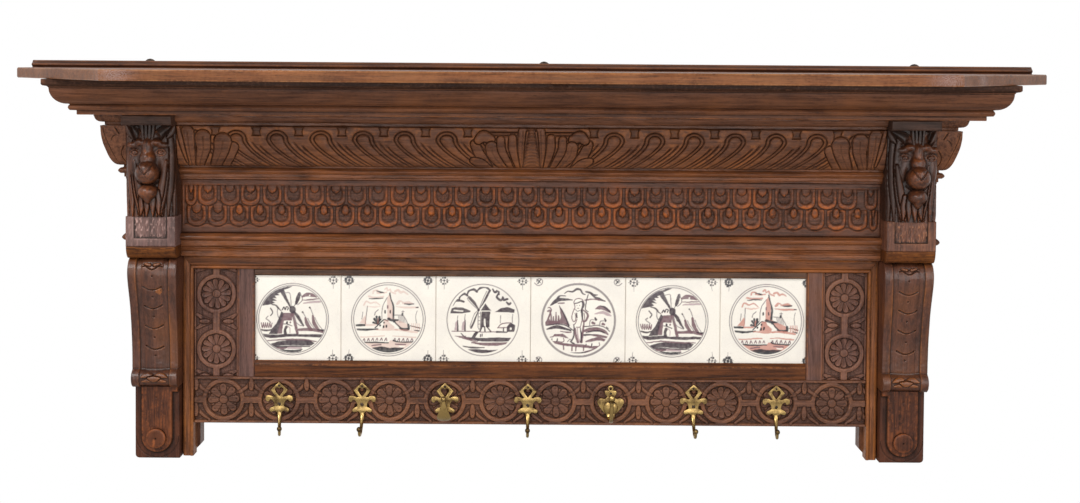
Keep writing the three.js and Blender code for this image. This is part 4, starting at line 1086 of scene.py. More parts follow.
    def slab(self, name: str, back: float, front: np.ndarray | float, finish: Finish,
             round_edge: float = 1.0, wider: tuple[float, float] | None = None) -> bpy.types.Object:
        """Makes the board behind the carving.

        Args:
            name: Name of the piece.
            back: Depth of its back.
            front: Depth in front of the wall that the relief counts from.
            finish: Its finish.
            round_edge: Radius of its outer edges.
            wider: Places across that the board runs on to, past the carving.

        Returns:
            The new object.
        """
        off = [self.x - self.left, self.right - self.x, self.y - self.foot, self.top - self.y]
        near = np.clip(1 - np.minimum.reduce(off) / round_edge, 0, 1)
        depth = front + self.out - round_edge * (1 - dome(near))
        wear_and_highlight, grime_and_shade = self.marks()
        x, y = self.x, self.y
        if wider is not None:
            ends = [np.full((len(x), 1), value) for value in wider]
            x = np.hstack([ends[0], x, ends[1]])
            y, depth, wear_and_highlight, grime_and_shade = (np.hstack([a[:, :1], a, a[:, -1:]]) for a in (y, depth, wear_and_highlight, grime_and_shade))
        shell = Shell()
        shell.carved(place(x, depth, y), place(x, back, y), (wear_and_highlight, grime_and_shade), (0.2, rim(grime_and_shade)[None]))
        return shell.object(name, finish, 75.0)


class Flower(Enum):
    """The two kinds of rosette: gouged flutes, or full petals with drilled dots."""

    FLUTED = "fluted"
    DOTTED = "dotted"


@dataclass
class Rosettes:
    """The chain of rings and rosettes on the hook rail and on the two upright panels."""

    rise: float = 4.5
    ring_width: float = 5.2
    strap: float = 9.0
    petals: int = 8
    flutes: int = 12
    pitch: float = 75.8
    radius: float = 28.7
    rings: int = 12
    panel_radius: float = 26.7
    panel_rings: tuple[float, float] = (37.0, 113.0)
    panel_ground: float = 38.9

    def flower(self, relief: Relief, x: float, y: float, radius: float, kind: Flower, turn: float) -> None:
        """Carves one rosette.

        Args:
            relief: The face it is carved in.
            x: Its middle across.
            y: Its middle up.
            radius: How far its petals reach.
            kind: Which of the two kinds it is.
            turn: Angle of its first petal.
        """
        level = relief.level
        count = self.petals if kind is Flower.DOTTED else self.flutes
        spread = math.pi / count
        between = [turn + (2 * i + 1) * spread for i in range(count)]
        ahead = [turn + 2 * i * spread for i in range(count)]

        def petal(angle: float, tip: float, half: float, full: float, hollow: float) -> None:
            """Carves one petal from the button out to its tip."""
            reach = [0.24 * radius, 0.55 * radius, tip - half]
            path = [(x + r * math.cos(angle), y + r * math.sin(angle)) for r in reach]
            relief.blade(path, [half * 0.42, half * 0.8, half], level + full, 1.0, 0.8, hollow, bend=False)

        if kind is Flower.DOTTED:
            for angle in between:
                petal(angle, radius * 0.86, radius * 0.1, 1.6, 0.0)
            for angle in ahead:
                petal(angle, radius, radius * 0.225, 2.0, 0.6)
                relief.pit(x + 0.8 * radius * math.cos(angle), y + 0.8 * radius * math.sin(angle), 0.75, 1.5)
        else:
            for angle in ahead:
                petal(angle, radius, radius * 0.185, 2.7, 2.1)
        relief.button(x, y, radius * 0.27, level + 2.5, 1.1)

    def spandrel(self, relief: Relief, x: float, half: float, foot: float, top: float) -> None:
        """Fills the field between two rings and the border with a bud between two leaves.

        Args:
            relief: The face it is carved in.
            x: The middle of the field.
            half: Half the pitch of the rings.
            foot: Height at the strap.
            top: Height at the border, above or below foot.
        """
        level = relief.level
        rise = top - foot
        for side in (-1, 1):
            leaf = [(x + side * 2.2, foot + rise * 0.18), (x + side * half * 0.2, foot + rise * 0.62),
                    (x + side * half * 0.5, foot + rise * 0.97)]
            relief.blade(leaf, [1.0, 2.6, 1.6], level + 1.6, 1.2, 0.9)
        bud = [(x, foot + rise * 0.06), (x, foot + rise * 0.4), (x, foot + rise * 0.68)]
        relief.blade(bud, [2.6, 3.9, 3.0], level + 2.2, 1.5, 1.0)
        relief.pit(x, foot + rise * 0.55, 0.7, 1.2)

    def rail(self) -> bpy.types.Object:
        """The hook rail: twelve rings linked by straps, with plain borders."""
        room = Room.of("hook_rail")
        middle = (room.foot + room.top) / 2
        relief = Relief(room.left, room.right, room.foot, room.top, 0.8, -self.rise, 0.4, 0.42)
        places = RAIL_MIDDLE + (np.arange(-1, self.rings + 1) - (self.rings - 1) / 2) * self.pitch
        links = (places[:-1] + places[1:]) / 2
        reach = room.height / 2 - 3.2
        for x in links:
            self.spandrel(relief, x, self.pitch / 2, middle - self.strap / 2 - 0.6, middle - reach)
            self.spandrel(relief, x, self.pitch / 2, middle + reach, middle + self.strap / 2 + 4)
        for i, x in enumerate(places):
            relief.ring(x, middle, self.radius, self.ring_width, -0.1)
            kind = Flower.FLUTED if i % 4 == 2 else Flower.DOTTED
            turn = math.pi / 2 + 0.05 * (i % 3)
            self.flower(relief, x, middle, self.radius - self.ring_width - 1.6, kind, turn)
        for x in links:
            link = self.pitch / 2 - self.radius + 1.5
            relief.box(x - link, x + link, middle - self.strap / 2, middle + self.strap / 2, -0.2)
        relief.box(room.left - 5, room.right + 5, room.top - 3.6, room.top + 5, 0.0)
        relief.box(room.left - 5, room.right + 5, room.foot - 5, room.foot + 3.4, 0.0)
        relief.tooled(50, 0.2, -self.rise + 0.6)
        board = relief.slab("carved_hook_rail", room.back, room.front - 0.25, ROSETTE)
        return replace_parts(board, "hook_rail")

    def panel(self, side: str) -> bpy.types.Object:
        """An upright panel: two rings joined by a strap, with lobed leaves in the corners."""
        room = Room.of(f"rosette_panel_{side}")
        level = self.panel_ground - room.front
        relief = Relief(room.left, room.right, room.foot, room.top, 0.6, level, 0.4, 0.42)
        x, radius = room.middle, self.panel_radius
        rings = [room.foot + up for up in self.panel_rings]
        for y, spread in ((rings[0] - 37, 0.7), (sum(rings) / 2, 1.0), (rings[1] + 38, 0.7)):
            for across in (-1, 1):
                for up in (-1, 1):
                    leaf = [(x + across * 8.5, y + up * 1.5), (x + across * 17, y + up * 3.6 * spread),
                            (x + across * 26.5, y + up * 9.5 * spread)]
                    relief.blade(leaf, [1.6, 3.4, 2.0], level + 1.4, 1.3, 0.9, rib=0.7)
                bud = [(x + across * 10.5, y), (x + across * 16, y), (x + across * 21.5, y)]
                relief.blade(bud, [2.0, 3.6, 2.2], level + 1.9, 1.3, 0.9)
        relief.box(x - self.strap / 2, x + self.strap / 2, room.foot - 5, room.top + 5, -0.3)
        for i, y in enumerate(rings):
            far = np.hypot(relief.x - x, relief.y - y)
            relief.out = np.where(far < radius - self.ring_width / 2, level, relief.out)
            relief.ring(x, y, radius, self.ring_width, -0.1)
            self.flower(relief, x, y, radius - self.ring_width - 1.0, Flower.FLUTED, math.pi / 2 + 0.1 * i)
        for edge in (room.left, room.right):
            relief.box(edge - 2.2, edge + 2.2, room.foot - 5, room.top + 5, -0.1)
        relief.tooled(60 + SIDES[side], 0.22, level + 0.6)
        board = relief.slab(f"carved_panel_{side}", room.back, room.front - 0.3, ROSETTE_UP)
        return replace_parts(board, f"rosette_panel_{side}")

    def build(self) -> None:
        """Carves the rail and both panels."""
        self.rail()
        for side in SIDES:
            self.panel(side)


@dataclass
class ScalePanel:
    """Two rows of hollow scales, each with a tongue or a bud at its top."""

    pitch: float = 28.9
    half: float = 12.8
    rise: float = 27.5
    row: float = 27.9
    arc: float = 17.0
    rim: float = 2.4
    foot_rim: float = 4.9
    sink: float = 3.0
    drop: float = 8.4
    upper: tuple[float, int] = (-438.0, 31)
    lower: tuple[float, int] = (-453.8, 32)
    ends: tuple[tuple, tuple] = (((-461.0, 7.6), (460.0, 8.6)), ((463.6, 5.6),))
    dull: tuple[float, float] = (-480.0, -250.0)

    def scale(self, relief: Relief, x: float, top: float, half: float, seed: int, bud: bool) -> None:
        """Carves one scale: a raised U, a punched hollow in it, and the tongue.

        The U is the inside of a strip and of a circle at its foot, whose two distances are melted
        into one; the hollow is the same with a narrower strip and a smaller circle.

        Args:
            relief: The face it is carved in.
            x: Its middle across.
            top: Height of its top.
            half: Half its width.
            seed: Picks the small differences between scales.
            bud: Whether a round bud hangs in it rather than a flat tongue.
        """
        rng = np.random.default_rng(SEED + seed)
        lean, deeper = rng.uniform(-0.5, 0.5), rng.uniform(-0.7, 0.7)
        area = relief.window(np.array([[x - half, top - self.rise], [x + half, top]]), 3)
        u, v = relief.x[area] - x - lean * (relief.y[area] - top) / self.rise, relief.y[area] - top
        disc = np.hypot(u * self.half / half, v + self.rise - self.arc)
        far = -melt(half - np.abs(u), self.arc - disc, 3.0)
        hole = -melt(half - self.rim - np.abs(u), self.arc - self.foot_rim - disc, 2.4)
        before = relief.out[area]
        rim = -0.1 - 1.0 * ease(-1.0, 0.2, far) - 0.5 * ease(-1.4, 0.0, hole)
        dish = -(self.sink + deeper) * ease(0.4, -3.2, hole)
        made = rim + dish
        trench = np.minimum(before, -2.3)
        outside = trench + (before - trench) * ease(0.5, 1.9, far)
        share = np.where(v < 0, ease(-0.3, 0.35, far), 1.0)
        relief.out[area] = np.where(v < 0, made * (1 - share) + outside * share, before)
        line = (bell(far - 0.4, 0.6) + 0.5 * bell(hole + 2.6, 0.8)) * (v < 0)
        within = (far < 0) & (v < 0)
        relief.dirt[area] = np.maximum(np.where(within, 0, relief.dirt[area]), line)
        # The foot of each rim is painted amber: worn colour, and a painted highlight there too; less towards
        # the left end.
        lit = ease(0.3, 1.0, -far) * ease(-0.6, 0.6, hole) * ease(12 - self.rise, 4 - self.rise, v) * (v < 0)
        lit *= ease(*self.dull, x) * rng.uniform(0.5, 1.0)
        relief.glow[area] = np.where(within, lit, relief.glow[area])
        for _ in range(5):
            relief.pit(x + rng.uniform(-0.5, 0.5) * half, top - self.rise * rng.uniform(0.42, 0.74), 0.5, 0.8)
        if bud:
            bulb = [(x, top - 2.2), (x, top - 6.5), (x, top - 11.5 - deeper)]
            relief.blade(bulb, [4.2, 4.8, 0.7], -2.4, 2.6, 0.9, bend=False)
            low = ((u / 4.6) ** 2 + ((v + 9.2) / 3.4) ** 2 < 1) * ease(*self.dull, x)
            relief.glow[area] = np.maximum(relief.glow[area], low * rng.uniform(0.4, 1.0))
        else:
            wide = half * 0.5 + rng.uniform(-0.5, 0.5)
            tongue = [(x, top + 1.0), (x, top - 4.0), (x, top - 9.8 - deeper)]
            relief.blade(tongue, [wide, wide * 0.9, 0.8], -1.7, 1.2, 0.9, bend=False)

    def build(self) -> bpy.types.Object:
        """Carves the panel and runs its ends on behind the consoles."""
        room = Room.of("scale_panel")
        half = Room.of("upper_moulding_front").right
        relief = Relief(-half, half, room.foot, room.top, 0.86, -0.5, 0.6, 0.35)
        rng = np.random.default_rng(SEED + 70)
        top = room.top - self.drop
        relief.box(-half + 3.4, half - 3.4, top - self.row - self.rise + 3, top, -2.4)
        for step, (first, count) in ((1, self.lower), (0, self.upper)):
            for i in range(count):
                x = first + i * self.pitch + rng.uniform(-0.8, 0.8)
                bud = step == 1 and i > 1
                self.scale(relief, x, top - step * self.row, self.half, 71 + 100 * step + i, bud)
            for x, narrow in self.ends[step]:
                self.scale(relief, x, top - step * self.row, narrow, 171 + int(x), False)
        relief.box(-half - 5, half + 5, top, room.top + 5, -0.2, 0.4)
        relief.dirt *= relief.y < top
        relief.glow *= relief.y < top
        relief.dirt = np.maximum(relief.dirt, bell(relief.y - top + 0.4, 0.5))
        relief.tooled(72, 0.2, -self.sink + 0.6)
        panel = relief.slab("carved_scale_panel", room.back, room.front - 0.3, SCALED,
                            wider=(room.left, room.right))
        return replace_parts(panel, "scale_panel")


@dataclass(frozen=True)
class Leaf:
    """One lobe of a spray: knots of distance from the spray's own line and share of the height."""

    knots: tuple[tuple[float, float], ...]
    halves: tuple[float, ...]
    level: float = -1.3
    rise: float = 1.3
    rib: float = 0.0


@dataclass
class Frieze:
    """The carved frieze: slanted gadroons that part from a spray of leaves in the middle."""

    left_heads: tuple[float, ...] = (57.2, 113.2, 169.5, 224.4, 280.7, 339.6, 393.3, 449.0)
    right_heads: tuple[float, ...] = (55.7, 109.7, 164.1, 216.0, 271.0, 325.5, 379.9, 435.0)
    pitch: float = 56.0
    sweep: float = 41.0
    shoulder: float = 0.68
    middle: tuple[Leaf, ...] = (
        Leaf(((76.0, 0.6), (70.0, 0.36), (60.0, 0.1), (54.0, -0.05)), (5.6, 6.4, 5.0, 3.0), -2.4, 1.8),
        Leaf(((55.0, 0.72), (64.0, 0.8), (71.0, 0.7)), (6.0, 7.4, 5.6), -2.2, 2.0),
        Leaf(((56.0, -0.04), (68.0, 0.1), (78.0, 0.18)), (4.0, 6.6, 4.4), -2.0, 1.8),
        Leaf(((53.5, 0.52), (51.0, 0.32), (42.0, 0.1), (34.0, -0.05)), (8.0, 7.4, 5.2, 3.0), -1.9, 1.9, 0.8),
        Leaf(((41.3, 0.72), (40.0, 0.45), (32.0, 0.15), (26.0, -0.05)), (5.0, 5.2, 4.2, 2.6), -1.8, 1.7),
        Leaf(((25.6, 0.76), (25.4, 0.5), (21.5, 0.2), (17.0, -0.05)), (5.0, 5.4, 4.0, 2.4), -1.7, 1.7),
        Leaf(((11.6, 0.92), (12.2, 0.6), (12.8, 0.3), (12.2, -0.05)), (6.0, 6.2, 4.6, 2.0), -1.7, 1.5, 1.2),
        Leaf(((5.6, 0.9), (7.4, 0.5), (9.4, -0.05)), (1.7, 1.9, 1.6), -1.3, 1.2),
    )
    end: tuple[Leaf, ...] = (
        Leaf(((75.4, 0.48), (70.0, 0.25), (62.0, -0.05)), (7.0, 6.2, 4.0), -2.4, 1.8),
        Leaf(((61.5, 0.62), (59.0, 0.38), (52.0, 0.1), (46.0, -0.05)), (11.6, 9.4, 7.0, 4.0), -2.2, 2.0, 1.1),
        Leaf(((35.0, 0.72), (35.5, 0.45), (31.0, 0.15), (27.0, -0.05)), (10.4, 9.0, 6.4, 4.0), -2.1, 1.9,
             1.2),
        Leaf(((14.2, 0.84), (16.0, 0.5), (18.0, 0.15), (18.0, -0.05)), (9.2, 8.0, 5.6, 4.0), -1.9, 1.8, 1.2),
        Leaf(((2.0, 1.0), (6.5, 0.6), (13.0, 0.1)), (2.4, 3.0, 1.4), -1.7, 1.6),
    )
    corner_trim: float = 2.4
    corner_cuts: tuple = (
        (((0.92, 3.5), (0.86, 14), (0.78, 27), (0.7, 42), (0.62, 54)), 0.5, 1.6),
        (((0.44, 2.5), (0.37, 6), (0.27, 11)), (0.4, 0.9, 0.4), 1.5),
        (((0.62, 20), (0.55, 15), (0.4, 12)), 0.4, 1.2),
        (((0.1, 27), (0.28, 36), (0.26, 44), (0.08, 51)), 0.5, 1.5),
    )

    def shape(self, room: Room) -> list[tuple[float, float]]:
        """The frieze's own profile: upright at its top, then a quarter round down to its foot."""
        reach = room.front - CASE_DEPTH
        return [(reach, room.top), *ovolo((reach, room.top - 2), (16.0, room.foot), 16)]

    def gadroons(self, relief: Relief, room: Room) -> None:
        """Carves all the gadroons, with the reeds between them, in one sweep.

        A point's place in the pattern is its distance from the middle plus 41 mm times (1 - t) to
        the power 1.5, where t grows from 0 at the foot to 1 at the shoulder of the heads. That
        place, measured in gadroons, gives the nearest head and how far the point lies from it.
        A gadroon is a half-round rim round a fuller body, and ends in half an ellipse.

        Args:
            relief: The face they are carved in.
            room: The frieze's place.
        """
        tall = (relief.y - room.foot) / room.height
        t = np.clip(tall / self.shoulder, 0, 1)
        away = np.abs(relief.x) + self.sweep * (1 - t) ** 1.5
        phase = np.where(relief.x < 0, *(np.interp(away, heads, np.arange(len(heads)))
                                         for heads in (self.left_heads, self.right_heads)))
        u = (np.rint(phase) - phase) * self.pitch
        over = np.clip(tall - self.shoulder, 0, None) * room.height * 1.16
        wide = 11.5 + 2.2 * t
        far = np.hypot(u, over) - wide
        thin = 6.5 - 1.6 * t
        inner = np.clip((far + wide) / (wide - thin), 0, 1)
        body = -2.7 + 2.6 * dome(inner)
        edge = -2.2 + 1.5 * dome((far + thin / 2) / (thin / 2))
        gadroon = np.where(far < -thin, body, edge)
        cuts = np.minimum.reduce([np.abs(u - 21.0), np.abs(np.abs(u) - 27.9)])
        reed = -0.4 - 1.5 * ease(3.6, 0.3, np.minimum(cuts, far + 0.6))
        below = ease(0.66, 0.58, tall + 0.012 * (np.abs(u) - 20))
        flat = -0.5 - 1.2 * ease(2.2, 0, far)
        between = reed * below + flat * (1 - below)
        relief.out = np.where(far < 0, gadroon, between)
        groove = bell(np.minimum(np.abs(far), np.abs(far + thin)), 0.75)
        groove = np.maximum(groove, bell(cuts, 0.7) * (far > 0) * below)
        relief.out -= 1.3 * groove
        # Dirt in the grooves, and a darker band along the middle of each rim as painted shade.
        relief.dirt = np.clip(1.2 * groove + 0.34 * bell(far + thin / 2, 1.8), 0, 1)
        amber = ease(-0.1, 0.35, drift(relief.x.shape, (8, 90), 84)) * (far > 1) * (1 - below)
        relief.glow = 0.7 * amber + 0.4 * ease(0, 0.6, drift(relief.x.shape, (12, 60), 85)) * (far < -thin)

    def pocket(self, relief: Relief, x: float, top: float) -> None:
        """Outlines the small flared socket that hangs from the border between two heads."""
        area = relief.window(np.array([[x - 11, top - 13], [x + 11, top]]), 3)
        u, v = np.abs(relief.x[area] - x), top - relief.y[area]
        sides = u - (4.4 + 0.055 * (v - 6.0) ** 2)
        inside = np.maximum(sides, v - 10.6)
        line = bell(inside - 0.2, 0.75)
        relief.out[area] = np.where(inside < 0, -2.6, relief.out[area]) - 1.0 * line
        relief.dirt[area] = np.maximum(np.where(inside < 0, 0.5, relief.dirt[area]), line)

    def spray(self, relief: Relief, leaves: tuple[Leaf, ...], start: float, way: int, room: Room) -> None:
        """Carves a spray of leaves.

        Args:
            relief: The face it is carved in.
            leaves: Its lobes, the undermost first.
            start: Place across of the spray's own line.
            way: The side that it spreads to.
            room: The frieze's place.
        """
        for leaf in leaves:
            path = [(start + way * x, room.foot + room.height * share) for x, share in leaf.knots]
            relief.blade(path, list(leaf.halves), leaf.level, leaf.rise, 1.3, rib=leaf.rib)

    def build(self) -> None:
        """Carves the front between the consoles, and the two corner pieces."""
        room = Room.of("frieze_front")
        relief = Relief(room.left, room.right, room.foot, room.top, 0.77, -0.5, 0.8, 0.36)
        self.gadroons(relief, room)
        border = room.top - 1.2
        for side, heads in ((-1, self.left_heads), (1, self.right_heads)):
            for near, far in zip(heads[:-1], heads[1:]):
                self.pocket(relief, side * (near + far) / 2, border)
            self.spray(relief, self.middle, 0.0, side, room)
            self.spray(relief, self.end, side * room.right, -side, room)
        tall = (relief.y - room.foot) / room.height
        cone = 12.0 - 8.5 * tall - np.abs(relief.x)
        bands = 0.45 * np.sin(relief.y * 2 * math.pi / 4.4 + 0.05 * relief.x**2)
        relief.out = np.where(cone > 0, -1.9 + 1.5 * ease(0, 4.0, cone) + bands, relief.out)
        relief.dirt = np.where(cone > 0.5, 0.1, np.maximum(relief.dirt, bell(cone, 0.7)))
        relief.box(room.left - 5, room.right + 5, border, room.top + 5, 0.0)
        relief.tooled(80, 0.2)
        relief.out = np.minimum(relief.out, 0.0)
        profile = np.array(self.shape(room))[::-1]
        face = CASE_DEPTH + np.interp(relief.y, profile[:, 1], profile[:, 0]) - 0.3
        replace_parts(relief.slab("carved_frieze", room.back, face, CARVED, 0.8), "frieze_front")
        for side in SIDES:
            self.corner(side)

    def corner(self, side: str) -> None:
        """Carves a corner piece: one bordered leaf in front, and leaves that stand up round the return."""
        sign = SIDES[side]
        room = Room.of(f"frieze_return_{side}")
        profile = np.array(self.shape(room))[::-1]
        tall, reach_top = room.height, profile[:, 0].max()
        run_out = 2 * reach_top + CASE_DEPTH
        relief = Relief(0.0, run_out, room.foot, room.top, 0.9, -1.6)
        for x in np.arange(run_out - 8, reach_top, -13.0):
            path = [(x + 5, room.foot - 2), (x + 2, room.foot + tall * 0.5), (x - 2, room.top - 10)]
            relief.blade(path, [3.6, 5.8, 5.0], -1.2, 1.5, 1.0, rib=0.9)
        relief.box(-5, reach_top + 1, room.foot - 5, room.top + 5, -0.3)
        relief.box(reach_top, run_out + 5, room.top - 2.2, room.top + 5, 0.0)
        for cut, half, deep in self.corner_cuts:
            relief.cut([(u * reach_top, room.top - down) for u, down in cut], half, deep)
        relief.tooled(90 + sign, 0.2)
        down = room.top - relief.y
        reach = np.interp(relief.y, profile[:, 1], profile[:, 0])
        reach = np.maximum(reach, (reach_top - 0.09 * down) * (down < 14))
        reach += np.minimum(relief.out, 0) - 0.2 - self.corner_trim * ease(8, 42, down)
        over = np.clip(relief.x / reach_top, 0, 1)
        back = np.clip((relief.x - reach_top) / (run_out - reach_top), 0, 1)
        start = CASE_HALF + GAP
        skin = place(sign * (start + reach * over), (CASE_DEPTH + reach) * (1 - back), relief.y)
        inner = place(sign * start, CASE_DEPTH * (1 - back), relief.y)
        shell = Shell()
        shell.grid(skin, *relief.marks())
        shell.grid(np.stack([rim(skin), rim(inner)]), round_cols=True)
        shell.grid(inner)
        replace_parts(shell.object(f"carved_frieze_corner_{side}", CARVED_OUT, 75.0), f"frieze_return_{side}")


# The frame round the tiles


@dataclass
class TileFrame:
    """The plain boards round the tiles, the band over them and the stile mouldings."""

    bead_half: float = 2.3
    foot_lap: float = 9.0

    def bar(self, node: str, name: str, profile: list[tuple[float, float]], ends: tuple, finish: Finish,
            upright: bool, seed: int) -> bpy.types.Object:
        """Carries a profile straight from one end to the other.

        Args:
            node: Node that the bar stands for.
            name: Name of the piece.
            profile: Depth, and place across or up, of each corner.
            ends: For both ends, a place along the bar, or a function of the profile's second value.
            finish: Its finish.
            upright: Whether the bar stands up rather than lies.
            seed: Picks its small unevenness.

        Returns:
            The new object.
        """
        points, wear_and_highlight, grime_and_shade = soften(profile)
        low, high = (end(points[:, 1]) if callable(end) else np.full(len(points), end) for end in ends)
        length = float(np.abs(high - low).max())
        count = max(3, int(length / 7.0))
        t = np.linspace(0, 1, count)[:, None]
        run = low[None] * (1 - t) + high[None] * t
        depth = points[None, :, 0] - np.abs(0.25 * drift(run.shape, (max(3, int(length / 50)), 7), seed))
        depth = np.maximum(depth, points[:, 0].min())
        level = np.broadcast_to(points[None, :, 1], run.shape)
        rings = place(level, depth, run) if upright else place(run, depth, level)
        fade = 0.7 + 0.3 * drift(run.shape, (max(3, int(length / 40)), 5), seed + 1)
        shell = Shell()
        shell.tube(rings, wear_and_highlight[None] * fade, grime_and_shade[None])
        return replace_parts(shell.object(name, finish, 30.0), node)

    def build(self) -> None:
        """Builds the four sides of the tile frame, the band and the stile mouldings."""
        strip, rail = Room.of("tile_frame_top"), Room.of("tile_frame_bottom")
        tiles = Room.of("tile_1")
        lap = tiles.front + GAP
        self.bar("tile_frame_top", "frame_top_strip", [
            (strip.back, tiles.top + GAP), (lap, tiles.top + GAP), (lap, strip.foot),
            (strip.front - 2, strip.foot), (strip.front, strip.foot + 2), (strip.front, strip.top),
            (strip.back, strip.top),
        ], (strip.left, strip.right), STRIP, False, 101)
        sight = tiles.foot + self.foot_lap
        self.bar("tile_frame_bottom", "frame_bottom_rail", [
            (rail.back, tiles.foot - GAP), (lap, tiles.foot - GAP), (lap, sight),
            (rail.front - 3, sight), (rail.front, sight - 5), (rail.front, rail.foot), (rail.back, rail.foot),
        ], (rail.left, rail.right), AMBER, False, 102)
        for side, sign in SIDES.items():
            room = Room.of(f"tile_frame_{side}")
            inner, outer = sorted((abs(room.left), abs(room.right)))
            edge = 3 * tiles.width + 3 * GAP
            corners = [(room.back, edge), (lap, edge), (lap, inner), (room.front - 2, inner),
                       (room.front, inner + 2), (room.front, outer), (room.back, outer)]
            corners = [(depth, sign * across) for depth, across in corners]
            ends = (room.foot, room.top)
            self.bar(f"tile_frame_{side}", f"frame_stile_{side}", corners, ends, AMBER_UP, True, 103 + sign)
            self.stile(side, sign)
        self.band()

    def section(self, width: float, room: Room) -> list[tuple[float, float]]:
        """The band's own section, as depth and the step out from the field it frames."""
        front, half = room.front, self.bead_half
        round_edge = [(front - half + half * math.sin(a), 0.2 + half * (1 - math.cos(a)))
                      for a in np.linspace(0, math.pi, 9)]
        return [(room.back, 0.2), *round_edge, (front - 2.2, 2 * half + 0.7), (front - 1.6, 2 * half + 1.1),
                (front - 1.5, width - 3), (front - 3, width - 0.2), (room.back, width - 0.2)]

    def band(self) -> None:
        """The band along the top, mitred at both ends."""
        room = Room.of("frame_band_top")
        stile = Room.of("stile_moulding_right")
        slope = stile.width / room.height
        corners = [(depth, room.foot + step) for depth, step in self.section(room.height, room)]

        def mitre(sign: int, up: np.ndarray) -> np.ndarray:
            """The place across of one end, for each height."""
            return sign * (stile.left + (up - room.foot) * slope - GAP)

        ends = tuple(partial(mitre, sign) for sign in (-1, 1))
        self.bar("frame_band_top", "band_over_tiles", corners, ends, STEPPED, False, 110)

    def stile(self, side: str, sign: int) -> None:
        """A stile moulding from its foot up to the mitre."""
        room = Room.of(f"stile_moulding_{side}")
        band = Room.of("frame_band_top")
        inner = min(abs(room.left), abs(room.right))
        slope = band.height / room.width
        corners = [(depth, sign * (inner + step)) for depth, step in self.section(room.width, room)]

        def mitre(across: np.ndarray) -> np.ndarray:
            """The height of the upper end, for each place across."""
            return band.foot + (np.abs(across) - inner) * slope - GAP

        ends = (room.foot, mitre)
        self.bar(f"stile_moulding_{side}", f"stile_band_{side}", corners, ends, STILE, True, 111 + sign)


# Tiles


class Ink(Enum):
    """The colours of the tile paintings: manganese purple thick and thin, iron red, and bare glaze."""

    DARK = rgb(52, 36, 46)
    MID = rgb(108, 78, 84)
    PALE = rgb(174, 152, 152)
    BLUE = rgb(30, 28, 36)
    SALMON = rgb(188, 124, 108)
    PINK = rgb(206, 160, 146)
    GREY = rgb(126, 117, 116)
    WHITE = rgb(233, 226, 214)


DARK, MID, PALE, BLUE, SALMON, PINK, GREY, WHITE = Ink


